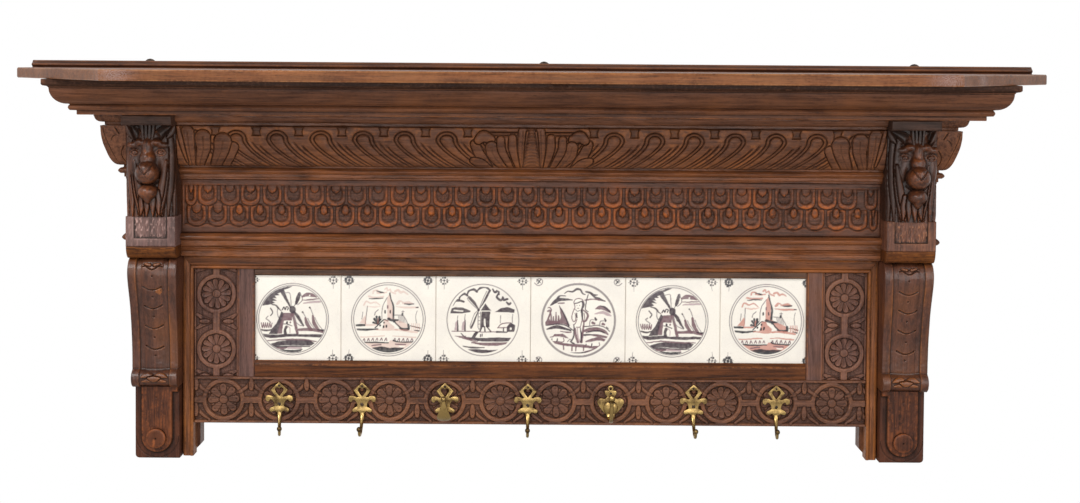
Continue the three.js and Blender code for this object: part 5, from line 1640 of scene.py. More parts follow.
@dataclass
class Painting:
    """Brush work on one tile: a colour and a cover at each point of its grid.

    Places are millimetres from the middle of the painted ring. A mark is laid over what is
    there: colour = (mark * share + below * cover * (1 - share)) / new cover.
    """

    x: np.ndarray
    y: np.ndarray
    seed: int
    sway: float = 0.35
    red: float = 1.0
    inside: float = 45.6

    def __post_init__(self) -> None:
        """Starts bare, and lets the places sway the way that a brush held free does."""
        shape = self.x.shape
        self.far = np.hypot(self.x, self.y)
        self.clear = 1 - ease(self.inside - 0.3, self.inside + 0.5, self.far)
        self.x, self.y = (at + self.sway * (2.2 * drift(shape, (9, 9), self.seed + i)
                                            + 0.7 * drift(shape, (44, 44), self.seed + i + 2))
                          for i, at in enumerate((self.x, self.y)))
        self.body = 0.94 + 0.06 * drift(shape, (52, 52), self.seed + 4)
        self.colour = np.ones((*shape, 3)) * MID.value[:3]
        self.cover = np.zeros(shape)

    def lay(self, ink: Ink, share: np.ndarray, free: bool = False) -> None:
        """Lays a colour over what is there, inside the ring unless it is free of it."""
        share = share * self.body * (1.0 if free else self.clear)
        share = share * (self.red if ink in (SALMON, PINK) else 1.0)
        total = share + self.cover * (1 - share)
        below = (self.cover * (1 - share))[..., None]
        mixed = np.array(ink.value[:3]) * share[..., None] + self.colour * below
        least = 1e-4
        self.colour = np.where(total[..., None] > least, mixed / np.maximum(total, least)[..., None],
                               self.colour)
        self.cover = total

    def line(self, ink: Ink, half: float | tuple[float, ...], *knots: tuple[float, float],
             free: bool = False) -> None:
        """Draws one stroke through its knots.

        Args:
            ink: Its colour.
            half: Half its width, or half its widths evenly spaced from its start to its end.
            knots: Places that it passes.
            free: Whether it may leave the ring.
        """
        path = smooth_path(list(knots), 5) if len(knots) > 2 else np.array(knots, float)
        given = np.atleast_1d(half)
        halves = np.interp(np.linspace(0, 1, len(path)), np.linspace(0, 1, len(given)), given)
        _, past, _ = along(self.x, self.y, path, halves)
        self.lay(ink, 1 - ease(-0.2, 0.5, past), free)

    def patch(self, ink: Ink, *corners: tuple[float, float]) -> None:
        """Fills a shape with straight sides, by counting the sides that a ray to the right meets."""
        ring = np.array([*corners, corners[0]], float)
        _, far, _ = along(self.x, self.y, ring, np.zeros(len(ring)))
        within = np.zeros(self.x.shape, bool)
        for (x0, y0), (x1, y1) in zip(ring[:-1], ring[1:]):
            meets = x0 + (self.y - y0) * (x1 - x0) / ((y1 - y0) or 1.0)
            within ^= ((y0 > self.y) != (y1 > self.y)) & (self.x < meets)
        self.lay(ink, 1 - ease(-0.35, 0.35, np.where(within, -far, far)))

    def dots(self, ink: Ink, size: float, *places: tuple[float, float], free: bool = False) -> None:
        """Sets down round dabs of one size."""
        for x, y in places:
            self.line(ink, size, (x, y - 0.2 * size), (x, y + 0.2 * size), free=free)

    def circle(self, ink: Ink, radius: float, half: float) -> None:
        """Draws a ring round the scene, from its radius and half its width."""
        self.lay(ink, 0.95 * (1 - ease(half - 0.2, half + 0.5, np.abs(self.far - radius))), True)

    def motif(self, x: float, y: float, size: float) -> None:
        """Paints a corner: a dot in a ring of dots, and a thin cross with its long arm inwards."""
        turns = np.radians(np.arange(0, 360, 45) + 22.5)
        inward = -math.copysign(1, y)
        self.line(GREY, 0.3, (x, y - 7), (x, y + 7), free=True)
        self.line(GREY, (0.3, 0.15), (x, y), (x, y + 12 * inward), free=True)
        self.line(GREY, 0.3, (x - 7, y), (x + 7, y + 0.4), free=True)
        self.dots(BLUE, 1.0 * size, (x, y), free=True)
        for i, turn in enumerate(turns):
            at = (x + 4.6 * math.cos(turn), y + 4.6 * math.sin(turn))
            self.dots(BLUE, (1.15 if i % 2 else 0.85) * size, at, free=True)

    def scribble(self, x: float, y: float) -> None:
        """Paints the other kind of corner: a small cross with a pale curl outside it."""
        out = math.copysign(1, x)
        self.line(BLUE, (0.9, 0.3), (x - 2.4, y + 2.6), (x + 2, y - 2), free=True)
        self.line(BLUE, (0.4, 0.9), (x + 2.4, y + 2.8), (x - 1.6, y - 2.4), free=True)
        curl = [(x + out * (3 + a / 2) * math.cos(a), y + (3 + a / 2) * math.sin(a)) for a in range(7)]
        self.line(GREY, 0.5, *curl, free=True)


class Scenes:
    """The scenes in the rings, in the way of old Dutch tiles, each told as strokes of the brush."""

    @staticmethod
    def mill(p: Painting) -> None:
        """A tower mill on its bank, with boats to the right of it and a storm cloud over it."""
        p.patch(DARK, (-42, 18), (-39, 25), (-32, 33.5), (-20, 41.5), (-7, 45.5), (0.6, 45.5), (-4, 43.4),
                (-12, 40.6), (-14, 37.5), (-20, 35), (-17, 33), (-24, 32), (-21, 28.5), (-27, 29),
                (-21, 25.5),
                (-28, 25), (-24, 22.5), (-31, 20.5), (-36, 19.4))
        p.line(DARK, (0.5, 1.0, 0.4), (-29, 20.5), (-23, 18.8), (-19, 14.5), (-15.6, 11.5))
        p.line(GREY, 0.5, (-20.7, 14.5), (-21.1, 8), (-19.5, 2.6))
        p.patch(DARK, (-15.6, 11), (-12, 8), (-20.3, -20.5), (-32.6, -20.5), (-28, -13), (-22.4, -6),
                (-19, 3))
        p.patch(MID, (-12, 9), (0, 9), (-1.2, -1.6), (-12.4, -1.6), (-14.2, -20), (-20.6, -20), (-16.4, -2))
        p.line(MID, 1.8, (0, 8.5), (2.6, -2), (7, -19.5))
        p.patch(WHITE, (-12.4, -1.8), (-0.6, -1.8), (4.6, -19.4), (-14, -19.4))
        p.line(WHITE, 0.7, (-11.6, 9.9), (-1.8, 9.9))
        p.line(DARK, 0.7, (-14, 13), (-12, 16.5), (-10.2, 13.4), (-8.4, 17.2), (-5.6, 16), (-6.8, 13))
        p.dots(DARK, 1.25, (-7.8, -4), (-7.8, -5))
        p.dots(MID, 1.1, (-3.2, -4.2))
        p.line(DARK, (0.4, 0.7, 0.4), (-12.6, -6), (-7, -6.9), (-0.6, -9.4))
        p.line(DARK, (1.9, 1.6, 2.1), (-8.4, -10.6), (-10, -15), (-9.6, -20))
        p.line(PALE, 0.5, (-6.8, -9.4), (-3.3, -12.8), (-3.2, -19))
        p.dots(DARK, 4.3, (0.2, 13.6))
        p.line(DARK, (0.9, 1.9, 2.9), (-2.4, 16.5), (-8.4, 28), (-13.8, 38.4))
        p.line(GREY, 0.45, (-1.5, 19), (-3.1, 35.4), (-9.6, 36.7))
        p.line(DARK, (0.3, 0.4), (1.5, 17), (4.9, 22.2))
        p.line(DARK, (1.7, 2.6, 2.1), (5.2, 22.4), (7.8, 29.5), (9.8, 35.6))
        p.line(GREY, 0.45, (7.4, 20.5), (13, 25.6), (13.4, 31.5), (10.5, 36))
        p.line(DARK, (1.4, 2.3, 1.0), (2, 11), (7.5, 3.2), (15.2, -9.2))
        p.line(GREY, 0.45, (1, 5), (5.2, -4.4), (11, -8.8), (14.6, -9.2))
        p.line(MID, (1.0, 2.6, 2.4, 0.8), (13.6, 31.6), (20, 34.4), (27, 33.4), (33, 30.4))
        p.dots(WHITE, 0.8, (23.6, 33))
        p.line(MID, (0.4, 0.9, 0.5), (13.6, 26.8), (25, 27.2), (37, 28))
        p.line(PALE, (0.6, 1.5, 1.2), (15, 22.4), (26, 23.6), (38, 24.2))
        for x in (0.0, 9.6):
            p.line(GREY, 0.4, (13.8 + x, 10.4 + x / 1.5), (19 + x, 1 + x / 3))
            p.line(DARK, 0.8, (14 + x, 9 + x / 1.5), (13.2 + x, 9.8 + x / 1.5))
            p.line(MID, (1.2, 2.4, 2.2, 1.5), (18 + x, 1.4 + x / 3), (19.8 + x, -5), (23 + x, -11),
                   (26.6 + x, -15.4))
            p.line(GREY, 0.4, (21 + x, 1 + x / 8), (25 + x, -6.4), (30.5 + x, -13.8))
        p.line(DARK, 0.7, (-31, 15.3), (-27.6, 9.6), (-30, 5.1))
        p.line(GREY, 0.6, (-33.5, 4.3), (-36, 1.3), (-34.4, -0.4), (-30, -4))
        for x in range(5):
            p.line(MID, 0.55, (-43 + 3 * x, -5), (-41.4 + 3 * x, -11.6), (-40 + 3 * x, -5.4))
        p.line(DARK, (0.8, 1.3, 0.7), (-44, -14.2), (-36, -15.6), (-28.6, -14.6))
        p.line(MID, (1.7, 2.1, 1.9), (9, -14.6), (25, -14.4), (42, -17.6))
        p.line(DARK, (0.6, 1.4), (34, -15), (44, -16))
        p.line(DARK, (1.7, 2.4, 1.7, 1.9), (-41.4, -21.6), (-28, -23.6), (0, -22.4), (40, -23.2))
        p.line(MID, (0.5, 0.9, 1.4, 0.5), (-35.2, -29.4), (-10, -28.4), (16, -28.8), (33, -30.2))
        p.patch(DARK, (-20, -31), (-8, -29.4), (24, -29.4), (31, -32.4), (26, -36.4), (-31, -36.4),
                (-31, -34.2))
        p.line(DARK, (1.6, 1.2, 0.6), (-26, -37.6), (-10, -38.2), (24, -37.4))
        p.line(MID, (0.8, 1.3, 0.6), (-22, -39.6), (-14, -40.4), (-8, -39.8))
        p.line(PALE, 1.2, (-6, -39.8), (12, -40))
        p.patch(BLUE, (-18, -41.4), (-2, -42.6), (14.4, -41.4), (9, -46), (-9, -46))

    @staticmethod
    def church(p: Painting) -> None:
        """A village church among houses and trees, a sailing boat, and iron red clouds."""
        p.patch(SALMON, (-1.3, 29.4), (2.6, 35.4), (5.4, 17), (5.8, 0), (-2, 0))
        p.line(BLUE, (0.9, 0.8, 1.2, 1.2), (2.3, 35.8), (4.2, 26.6), (6.8, 17), (6.3, 1.4))
        p.line(GREY, 0.45, (-1.3, 29.2), (-7, 19.7), (-8.8, 10), (-9.3, 0.4))
        p.line(BLUE, 0.95, (-4.7, 11.4), (-4.7, 8.6))
        p.line(BLUE, 0.8, (2.4, 11.6), (2.4, 8.6))
        p.line(MID, 0.8, (-1, 18.4), (-1, 15.4))
        p.line(GREY, 0.4, (8, 5.8), (18, 5.8))
        p.line(BLUE, 1.2, (19, 8), (18.8, 6))
        p.line(GREY, 0.35, (19.8, 12), (19.6, 8))
        p.line(GREY, 0.35, (18, 10.6), (21.4, 10.6))
        for x in range(5):
            p.line(GREY, 0.35, (13.4 + 1.8 * x, 4.6), (15 + 2 * x, -4))
        p.line(GREY, 0.5, (20.4, 5.3), (24.4, -1), (27, -7.2))
        p.patch(SALMON, (6, 2), (12, -0.6), (20, -3.6), (26, -6.6), (26.6, -12), (15, -12), (9, -5.6))
        p.line(BLUE, (1.9, 1.7, 1.3), (-0.4, 0.4), (5, -1.4), (12.4, -1))
        p.line(BLUE, (1.4, 1.3, 2.0, 1.3), (7, -3), (13, -9.4), (18, -13.6), (27.6, -13.2), (27.6, -7))
        p.patch(WHITE, (-18.4, -11.6), (-6.6, -0.6), (-6.6, -12.4))
        p.line(BLUE, 0.7, (-18.4, -11.6), (-12, -5.6), (-6.6, -0.6), (-1.6, -2.6))
        p.patch(SALMON, (-6.6, -0.8), (-0.5, -1.4), (1.4, -6), (7.6, -8.6), (7.4, -13.6), (-9, -13.6))
        p.patch(WHITE, (1, -4.4), (8, -4.8), (14.4, -11.6), (10.6, -12.8), (4, -7.6))
        p.dots(BLUE, 1.1, (-11.8, -8.6), (-6.6, -4.7), (-7, -9.8), (-7, -11.2), (-3.1, -9.2), (-3.1, -10.8))
        for end in ((-19.7, 0.5), (-16.6, 3.2), (-12.6, 3), (-21, -4.6), (-11.6, -0.4)):
            p.line(BLUE, (0.6, 1.5), (-15.2, -7), end)
        p.line(SALMON, 0.6, (-15, -6), (-14.6, 1))
        p.line(GREY, 0.5, (-19.2, 5.7), (-18, 9.2), (-14, 12.7))
        p.line(SALMON, 1.0, (-31.9, -7.9), (-18, -7.9))
        p.line(BLUE, (1.2, 1.5, 1.3), (-44.2, -8.2), (-38, -8), (-33, -8))
        p.line(GREY, 0.5, (-28.8, 17.9), (-30.4, 4), (-31.6, -6.4))
        p.patch(SALMON, (-40, -5.6), (-31.2, 6.4), (-30.4, -6.4))
        p.line(GREY, 0.4, (-35, 10), (-36.4, 0.5))
        p.line(BLUE, (1.0, 1.6, 0.8), (-46, -13.6), (-32, -14.2), (-15, -13.8))
        p.line(SALMON, (0.7, 1.2, 0.8), (-17, -14.8), (0, -14.8), (12, -14.6))
        p.line(SALMON, (1.0, 1.7, 1.2), (9, -14.8), (25, -15.8), (39.5, -17.4))
        p.line(BLUE, (0.4, 0.9), (30, -8.6), (45.6, -12))
        p.line(BLUE, (0.4, 1.0), (36, -14.6), (45.6, -16))
        for x in (32, 34.5, 37, 39.5, 42):
            p.line(SALMON, 0.5, (x, -5.4), (x + 0.8, -14))
        p.line(GREY, 0.35, (39, 11.8), (37.3, 4), (38.6, -4.7))
        p.line(SALMON, 0.7, (-41.4, -24.3), (-20, -24), (-5.7, -23.2))
        p.line(SALMON, (0.4, 0.9), (5.6, -23.4), (38.6, -24.8))
        for x in range(-35, 35, 3):
            if not -2 < x < 6:
                p.line(MID, 0.5, (x, -29.8), (x + (1.6 if x % 2 else -1.0), -26.4))
        p.patch(SALMON, (-37, -31.4), (0, -33), (3, -28.6), (9, -30), (36, -31.6), (25, -42), (-25, -42))
        p.line(BLUE, (0.6, 1.1, 0.7), (-36, -31), (-18, -32.4), (0, -32.6))
        p.line(BLUE, (1.1, 0.7, 1.0), (7, -29.4), (16, -31.2), (34, -31.4))
        p.line(MID, 0.8, (-22, -36.5), (-16, -36), (-10, -35.4))
        p.line(MID, 0.7, (10, -34), (24, -34.6))
        p.line(WHITE, (0.5, 1.2, 0.5), (15, -36.6), (18.6, -37.4), (23, -36.8))
        p.patch(BLUE, (-23, -40), (-9, -37.6), (3, -39.6), (10, -38.4), (22.5, -39.4), (14, -46), (-12, -46))
        p.line(SALMON, 0.9, (-4.9, 41.4), (-2.3, 43.6), (-1, 39.4), (2.4, 41.4), (4, 37.6), (10, 35.6))
        p.line(SALMON, (1.3, 1.5, 0.6), (9.6, 38.6), (13.4, 40.4), (17, 37.4), (21, 38.4), (27, 35))
        p.line(SALMON, 0.9, (-21, 36), (-20, 39.6), (-14.4, 39.8), (-15, 36.6), (-7, 36.4), (-2.3, 37))
        p.line(BLUE, (0.4, 1.2, 0.4), (-16.4, 39.6), (-10, 37.4), (-6, 36.8))
        p.line(SALMON, (1.3, 0.8, 1.0), (-26, 32), (-19, 30.4), (-6.6, 31))
        p.line(BLUE, (0.4, 0.9, 0.4), (-26, 28.6), (-16, 28.8), (-7, 28.8))
        p.line(SALMON, (0.9, 1.0, 0.5), (-33.6, 19.7), (-30, 24.9), (-24, 22.2), (-18, 23.6), (-11.8, 19.7))
        p.line(PINK, (0.3, 0.9, 0.3), (-29, 18), (-19, 16.6), (-10, 18))
        p.line(SALMON, (1.4, 2.2, 1.4, 1.8, 0.6), (12, 21.4), (16, 24.4), (21, 22.6), (28, 23.4), (34.3, 21))
        p.dots(WHITE, 1.4, (17.3, 22.3))
        p.line(BLUE, (0.5, 1.2, 0.6), (22, 21.4), (28, 20.8), (34.6, 21.2))
        p.line(SALMON, (0.4, 1.2, 1.2, 0.8), (10.8, 17.6), (22, 16.2), (32, 16.2), (40, 16.4))
        p.line(BLUE, 0.7, (37.6, 16.3), (40.4, 16.6))

    @staticmethod
    def post_mill(p: Painting) -> None:
        """A post mill on its trestle, a house and two boats, under an arch of clouds."""
        p.patch(DARK, (-46, 15), (-38, 18), (-28, 17.6), (-17, 13), (-17, 11), (-30, 9.4), (-46, 9))
        p.patch(DARK, (16, 12), (24, 16.6), (34, 17.4), (44, 14), (43, 9.6), (30, 10.4))
        p.line(WHITE, 0.8, (-40, 13.4), (-28, 12.6))
        arch = ([(-42, 20), (-38, 26), (-32.6, 27), (-26.5, 25.4)],
                [(-33, 27), (-31.5, 33), (-26, 36), (-21, 34)],
                [(-22, 35), (-18, 41), (-12, 42), (-8.4, 38.6)], [(-9, 39), (-4, 44), (3, 45.4), (9.4, 41)],
                [(12.5, 43), (16, 38.3), (20.5, 41.8), (21.3, 35.7)],
                [(20, 36), (18.7, 31.3), (24, 27.4), (27, 31)],
                [(26.5, 32.2), (28.3, 27.9), (33.5, 28.9)], [(31.8, 24.6), (35, 21.6), (38, 23.4)])
        for knots in arch:
            p.line(DARK, (0.8, 1.7, 1.2), *knots)
        p.patch(DARK, (3, 22.8), (-3.4, 13), (11.2, 13))
        p.patch(DARK, (-1.9, 13.4), (10, 13.4), (9.2, -9.8), (-2.8, -9.8))
        p.line(WHITE, (0.9, 1.1), (2.6, 0.6), (3, -9.4))
        p.line(WHITE, 0.5, (-2.4, 12.4), (10.4, 12.6))
        p.dots(DARK, 1.6, (-6.1, 13.9))
        p.line(DARK, (0.5, 1.8, 1.9), (-6.3, 15), (-12, 24), (-18.6, 31.4))
        p.line(GREY, 0.4, (-8.3, 15.7), (-20.8, 28.7), (-18.6, 31.4))
        p.line(DARK, (0.4, 1.2, 1.4), (-4.6, 16), (2.4, 27), (8.4, 40))
        p.line(GREY, 0.4, (-5, 16.4), (-3, 22), (4.8, 39.6))
        p.line(DARK, (0.4, 1.1, 1.3), (-6.6, 12.4), (-11, 1), (-16.2, -11.3))
        p.line(GREY, 0.4, (-8.4, 12), (-12.4, 7), (-17.6, -7.8), (-16.2, -11.3))
        p.line(GREY, 0.45, (-6.5, 11), (-6.5, -10), (-3.4, -10), (-3.4, 11))
        for y in (-6, -1, 4, 9):
            p.line(GREY, 0.35, (-6.4, y), (-3.4, y))
        for knots in (((2.2, -9), (3, -15.4)), ((-1.3, -9.4), (-4.2, -16)), ((5.9, -9.4), (11.2, -16))):
            p.line(DARK, 0.8, *knots)
        p.line(MID, 0.5, (-45.7, -16), (19.6, -16.4))
        p.patch(DARK, (-10, -16.2), (-5.4, -16.2), (-10.6, -24.6), (-15.6, -24.6))
        p.line(DARK, (0.5, 1.0, 2.4, 3.0, 2.2), (-29.6, -19), (-22, -25.2), (0, -26.8), (22, -27),
               (41, -26.4))
        p.line(MID, (0.8, 2.0, 2.2, 0.8), (-15.2, -31.6), (4, -33), (20, -33.4), (34.4, -31.4))
        for k, x in enumerate((-38, -33, -28, -22)):
            p.line(MID, (0.3, 0.8, 0.3), (x, -22.6 - 1.6 * k), (x + 9, -23.6 - 1.9 * k),
                   (x + 15, -22.8 - 2.2 * k))
        p.line(DARK, (0.5, 1.2, 0.5), (-28, -36.4), (-14, -38.4), (2, -37.6))
        p.patch(DARK, (-24, -41), (-6, -40.2), (14, -41.4), (27, -39.6), (15, -46), (-15, -46))
        p.patch(DARK, (33.4, -15.8), (33.4, -9), (39, -3.4), (44.6, -7), (44, -15.8))
        p.dots(WHITE, 1.2, (38.6, -11.6))
        p.line(MID, 0.6, (20.5, -10.6), (26, -5.6), (38.6, -4))
        p.line(MID, 0.5, (21.6, -10.4), (33, -10.4))
        p.line(DARK, 0.8, (28.7, -11.6), (28.7, -14.6))
        p.line(DARK, (1.2, 0.8), (19, -16.4), (33.4, -16.2))
        for x, top in ((-34.4, 6), (-24.6, 8)):
            p.line(GREY, 0.4, (x, top), (x - 0.6, -16))
            p.patch(PALE, (x - 4.4, -14.8), (x - 3, -3), (x - 0.4, -0.6), (x - 0.6, -15))
            p.line(DARK, (0.4, 1.0), (x + 0.4, 0), (x + 0.3, -15.6))
        p.line(DARK, 0.6, (-3, -19.6), (-3.2, -22.6))
        p.line(DARK, 0.6, (-0.8, -19), (-1, -22))
        p.line(GREY, 0.4, (24.4, 6), (24.4, -4))
        p.line(GREY, 0.4, (40.9, 7.8), (40.9, -3.5))

    @staticmethod
    def herd(p: Painting) -> None:
        """Someone standing with a staff between hills, with sheep before and behind."""
        for knots in (((-46.5, -6.3), (-42, 0), (-39, 9.4), (-37.6, 14.4), (-40, 17.6), (-43, 17)),
                      ((-42, 12.6), (-39.6, 13.4), (-39.4, 9.4))):
            p.line(MID, (1.2, 0.9, 0.5), *knots)
        for x, top in ((-40, 1), (-37.6, 9), (-34.4, 5), (-31, 11), (-27.6, 6)):
            p.line(MID, (0.6, 1.5), (x, top), (x + 0.6, -5))
        p.patch(MID, (-26.8, 20.4), (-22, 12), (-18, 2), (-12.6, -8.6), (-20, -5.8), (-28, -4.4), (-24.4, 4))
        p.line(DARK, (0.3, 1.0, 1.2), (-26.6, 20), (-20.4, 8), (-13.6, -8))
        p.patch(MID, (-46.6, -6.4), (-41, -0.4), (-28, -1.4), (-26, -4.6), (-38, -6))
        p.line(DARK, 0.6, (-46, -7.2), (-36, -6.2), (-27.8, -5.4), (-18.2, -7.4), (-11.2, -10.8), (-7, -13.4))
        p.line(DARK, (0.3, 1.6, 2.4, 1.6, 1.0), (-45, -12.6), (-37, -10.4), (-29, -9.2), (-21, -11),
               (-10.4, -13.6))
        p.line(MID, (0.4, 0.9, 0.5), (-25, -15), (-14.7, -16.4), (-9.5, -15.8))
        p.patch(MID, (-35.6, -22.4), (-33, -18.8), (-21.7, -18.2), (-18, -20.6), (-13, -25), (-24, -22.4))
        p.line(MID, 0.6, (-40, -23.7), (-34.7, -22.4))
        for x, y, wide in ((-32.6, -26.4, 7.6), (-24.6, -26.4, 8.4), (15, -33.4, 8), (24, -33, 9.6)):
            p.line(WHITE, 2.6, (x - wide / 3, y), (x + wide / 3, y))
            p.line(MID, 0.5, (x + wide / 2, y + 2), (x + wide / 2 + 0.8, y - 1.6), (x + wide / 3, y - 3.2),
                   (x - wide / 3, y - 3))
            p.line(DARK, 0.7, (x - wide / 2, y + 0.6), (x - wide / 2 - 0.6, y - 3))
        p.line(MID, (1.5, 1.7, 1.2), (-36.5, -30), (-26, -32), (-14, -32.6))
        p.line(MID, (1.0, 2.0, 2.0, 1.3), (-21.7, -33.2), (-6, -34.1), (8, -35.4), (27, -38.5))
        p.line(DARK, 0.6, (8, -8.4), (16.6, -7.8), (25.3, -6.3), (33.2, -8.2), (39.3, -11.7), (42.4, -15))
        p.line(MID, (1.6, 2.6, 2.9, 2.4, 0.8), (8.6, -14.1), (16.6, -12.4), (26, -12.4), (34.9, -15.4),
               (41, -19.8))
        p.line(DARK, (0.5, 1.1, 0.6), (11, -16.6), (20, -14.8), (29, -15), (36, -17.6))
        p.line(DARK, (1.2, 0.9, 0.7), (8.6, -19.8), (18, -19.6), (27, -20.6))
        p.line(MID, (0.6, 1.7, 1.2), (20, -20.4), (28, -21.6), (39.3, -23.6))
        p.line(MID, (0.7, 2.0, 2.4, 1.5), (10.5, -29), (18.4, -27.2), (28, -25.6), (38, -28.4))
        for x, y in ((20.4, -3.2), (33.4, -4.4)):
            p.line(GREY, 0.5, (x - 4.6, y - 3), (x - 3.6, y + 3.6), (x + 1, y + 4.4))
            p.line(MID, (1.8, 1.4), (x - 0.4, y), (x + 1.6, y - 0.6))
            p.line(DARK, (0.7, 1.5), (x + 2.4, y + 7.4), (x + 3.6, y + 4.6))
        p.line(DARK, 0.6, (38.4, -8.8), (41, -11))
        p.line(DARK, (0.5, 1.0, 1.4, 1.1, 0.4), (-19, 37), (-14.7, 39.8), (-8.6, 39.4), (-2.5, 42.6),
               (2.7, 42),
               (5.3, 37.2), (8.8, 35.5))
        p.line(DARK, (1.0, 1.8, 0.6), (10, 39.6), (16, 37.8), (20, 35), (25.6, 35.4))
        p.line(DARK, (0.5, 1.6, 1.8, 0.5), (16.6, 35.6), (22.7, 31.6), (28.8, 29.6), (37.1, 26.8))
        p.line(MID, (0.9, 0.6, 1.0), (8.8, 28.1), (20, 29.2), (28.8, 28.6))
        p.line(DARK, (0.8, 2.4, 2.6, 1.8, 0.5), (-38.2, 20.8), (-32, 25.6), (-27, 28.4), (-20.4, 28.2),
               (-8.6, 28.1))
        p.line(DARK, (1.6, 0.9, 0.5), (-28, 30.4), (-25.2, 33.6), (-17.3, 32.9))
        p.line(MID, 0.7, (-27.8, 23.4), (-20, 23.4))
        p.line(MID, (0.9, 2.7, 2.6, 1.8, 0.6), (23.6, 16.4), (29, 18), (35.8, 17), (41.9, 13.2), (47, 10.6))
        p.line(DARK, (0.4, 1.2, 0.8), (30, 20.4), (36, 18.6), (42.4, 13.2))
        p.line(PALE, (0.7, 1.9, 2.0, 0.5), (22.7, 9.4), (33.2, 11.4), (40, 9), (45.3, 6.8))
        p.patch(MID, (8, -43), (20, -39.4), (31, -36.6), (40, -29), (40, -34), (24, -46), (8, -46))
        p.line(DARK, 0.7, (20, -42.8), (31, -36.4), (40, -29.4))
        for x in (-20, -8.6, -3.4, 7.4):
            p.line(MID, 0.8, (x, -35.2), (x - 0.4, -41.6))
        p.patch(DARK, (-22.4, -42.8), (-11, -44.4), (2, -43.6), (20, -42.6), (12, -47), (-12, -47))
        p.line(DARK, (0.5, 0.6, 0.4), (12.7, 35.5), (10.5, 28.5), (9.7, 22.5), (9.2, 15.5), (12.9, 12.2))
        p.patch(WHITE, (-7, 13), (-8.8, 3), (-6, -1), (-5, -14), (-9, -28), (5, -30), (8, -1), (13, 6),
                (8, 15))
        for knots, ink, half in (
                (((-5.8, 16), (-9, 7), (-9, 1), (-6.8, -1.6), (-4.2, 0), (-3.6, 6), (-4.6, 10)), MID, 0.55),
                (((4.6, 14), (5.2, 8), (5.4, 1)), DARK, (1.4, 1.2, 0.9)),
                (((6, 14.8), (11.2, 10.4), (13, 5.8), (10.4, -0.4), (7, -1)), MID, (0.7, 1.4, 1.3)),
                (((7.6, 10), (8.6, 4.6), (7.2, -0.8)), MID, 0.5),
                (((-2, 10), (-2.4, 7), (-1.8, 4)), DARK, 0.8),
                (((-2, 1.6), (-4, -3.6), (-6.8, -6)), MID, 0.5),
                (((5.6, 1.4), (4.2, -3.6), (2.7, -8.6), (-2.6, -9)), MID, 0.5),
                (((-6.4, -6), (-5.6, -12.4), (-6, -21), (-9.4, -28)), DARK, (0.6, 1.0, 0.9)),
                (((-4, -10.8), (-3, -21), (-0.8, -29.8)), MID, (0.8, 1.6, 1.4)),
                (((-1, -10), (-0.4, -20), (1.8, -30)), PALE, (0.7, 0.9, 0.9)),
                (((7.9, -1), (7, -12.4), (5.7, -21), (4.2, -29.8)), MID, (0.9, 1.4, 1.6)),
                (((3, -9.6), (4.4, -20), (3.2, -29.6)), DARK, (0.5, 1.1, 1.0)),
                (((-14.6, -28.8), (-11.2, -25.6), (-9.6, -29)), GREY, 0.5),
                (((-11, -29), (-8, -30.6), (-5.6, -31.6)), DARK, (0.5, 1.0, 0.6))):
            p.line(ink, half, *knots)
        p.patch(WHITE, (-5, 24.6), (-4.6, 15), (0.4, 12.6), (4.6, 16), (5.4, 24.6), (4, 29.4), (-1, 30.4),
                (-5.6, 27.4))
        p.line(MID, 0.5, (-6.6, 24.8), (-4, 29.2), (0.4, 30.4), (5, 29), (7, 25))
        p.line(DARK, 0.7, (-6, 23.4), (-1.4, 24.4), (3.6, 26.4))
        p.line(DARK, (1.0, 1.6, 1.1, 0.8), (4.6, 26.6), (6.6, 22.4), (5.3, 17.2), (4.2, 13.4))
        p.line(MID, 0.6, (-5.6, 23), (-4.8, 18), (-5.6, 15))
        p.line(GREY, 0.45, (-3.6, 15.4), (-1, 12.8), (2, 14))
        p.dots(MID, 0.45, (-2, 20.8), (1.8, 20.8))
        p.line(MID, 0.35, (-0.8, 16.8), (0.9, 16.8))


@dataclass(frozen=True)
class TileArt:
    """What one tile shows: its scene, where the ring's middle lies, its rings and its corners."""

    scene: object
    middle: tuple[float, float]
    rings: tuple[tuple[float, float], ...]
    corner: float = 1.0
    sway: float = 0.3
    red: float = 0.9


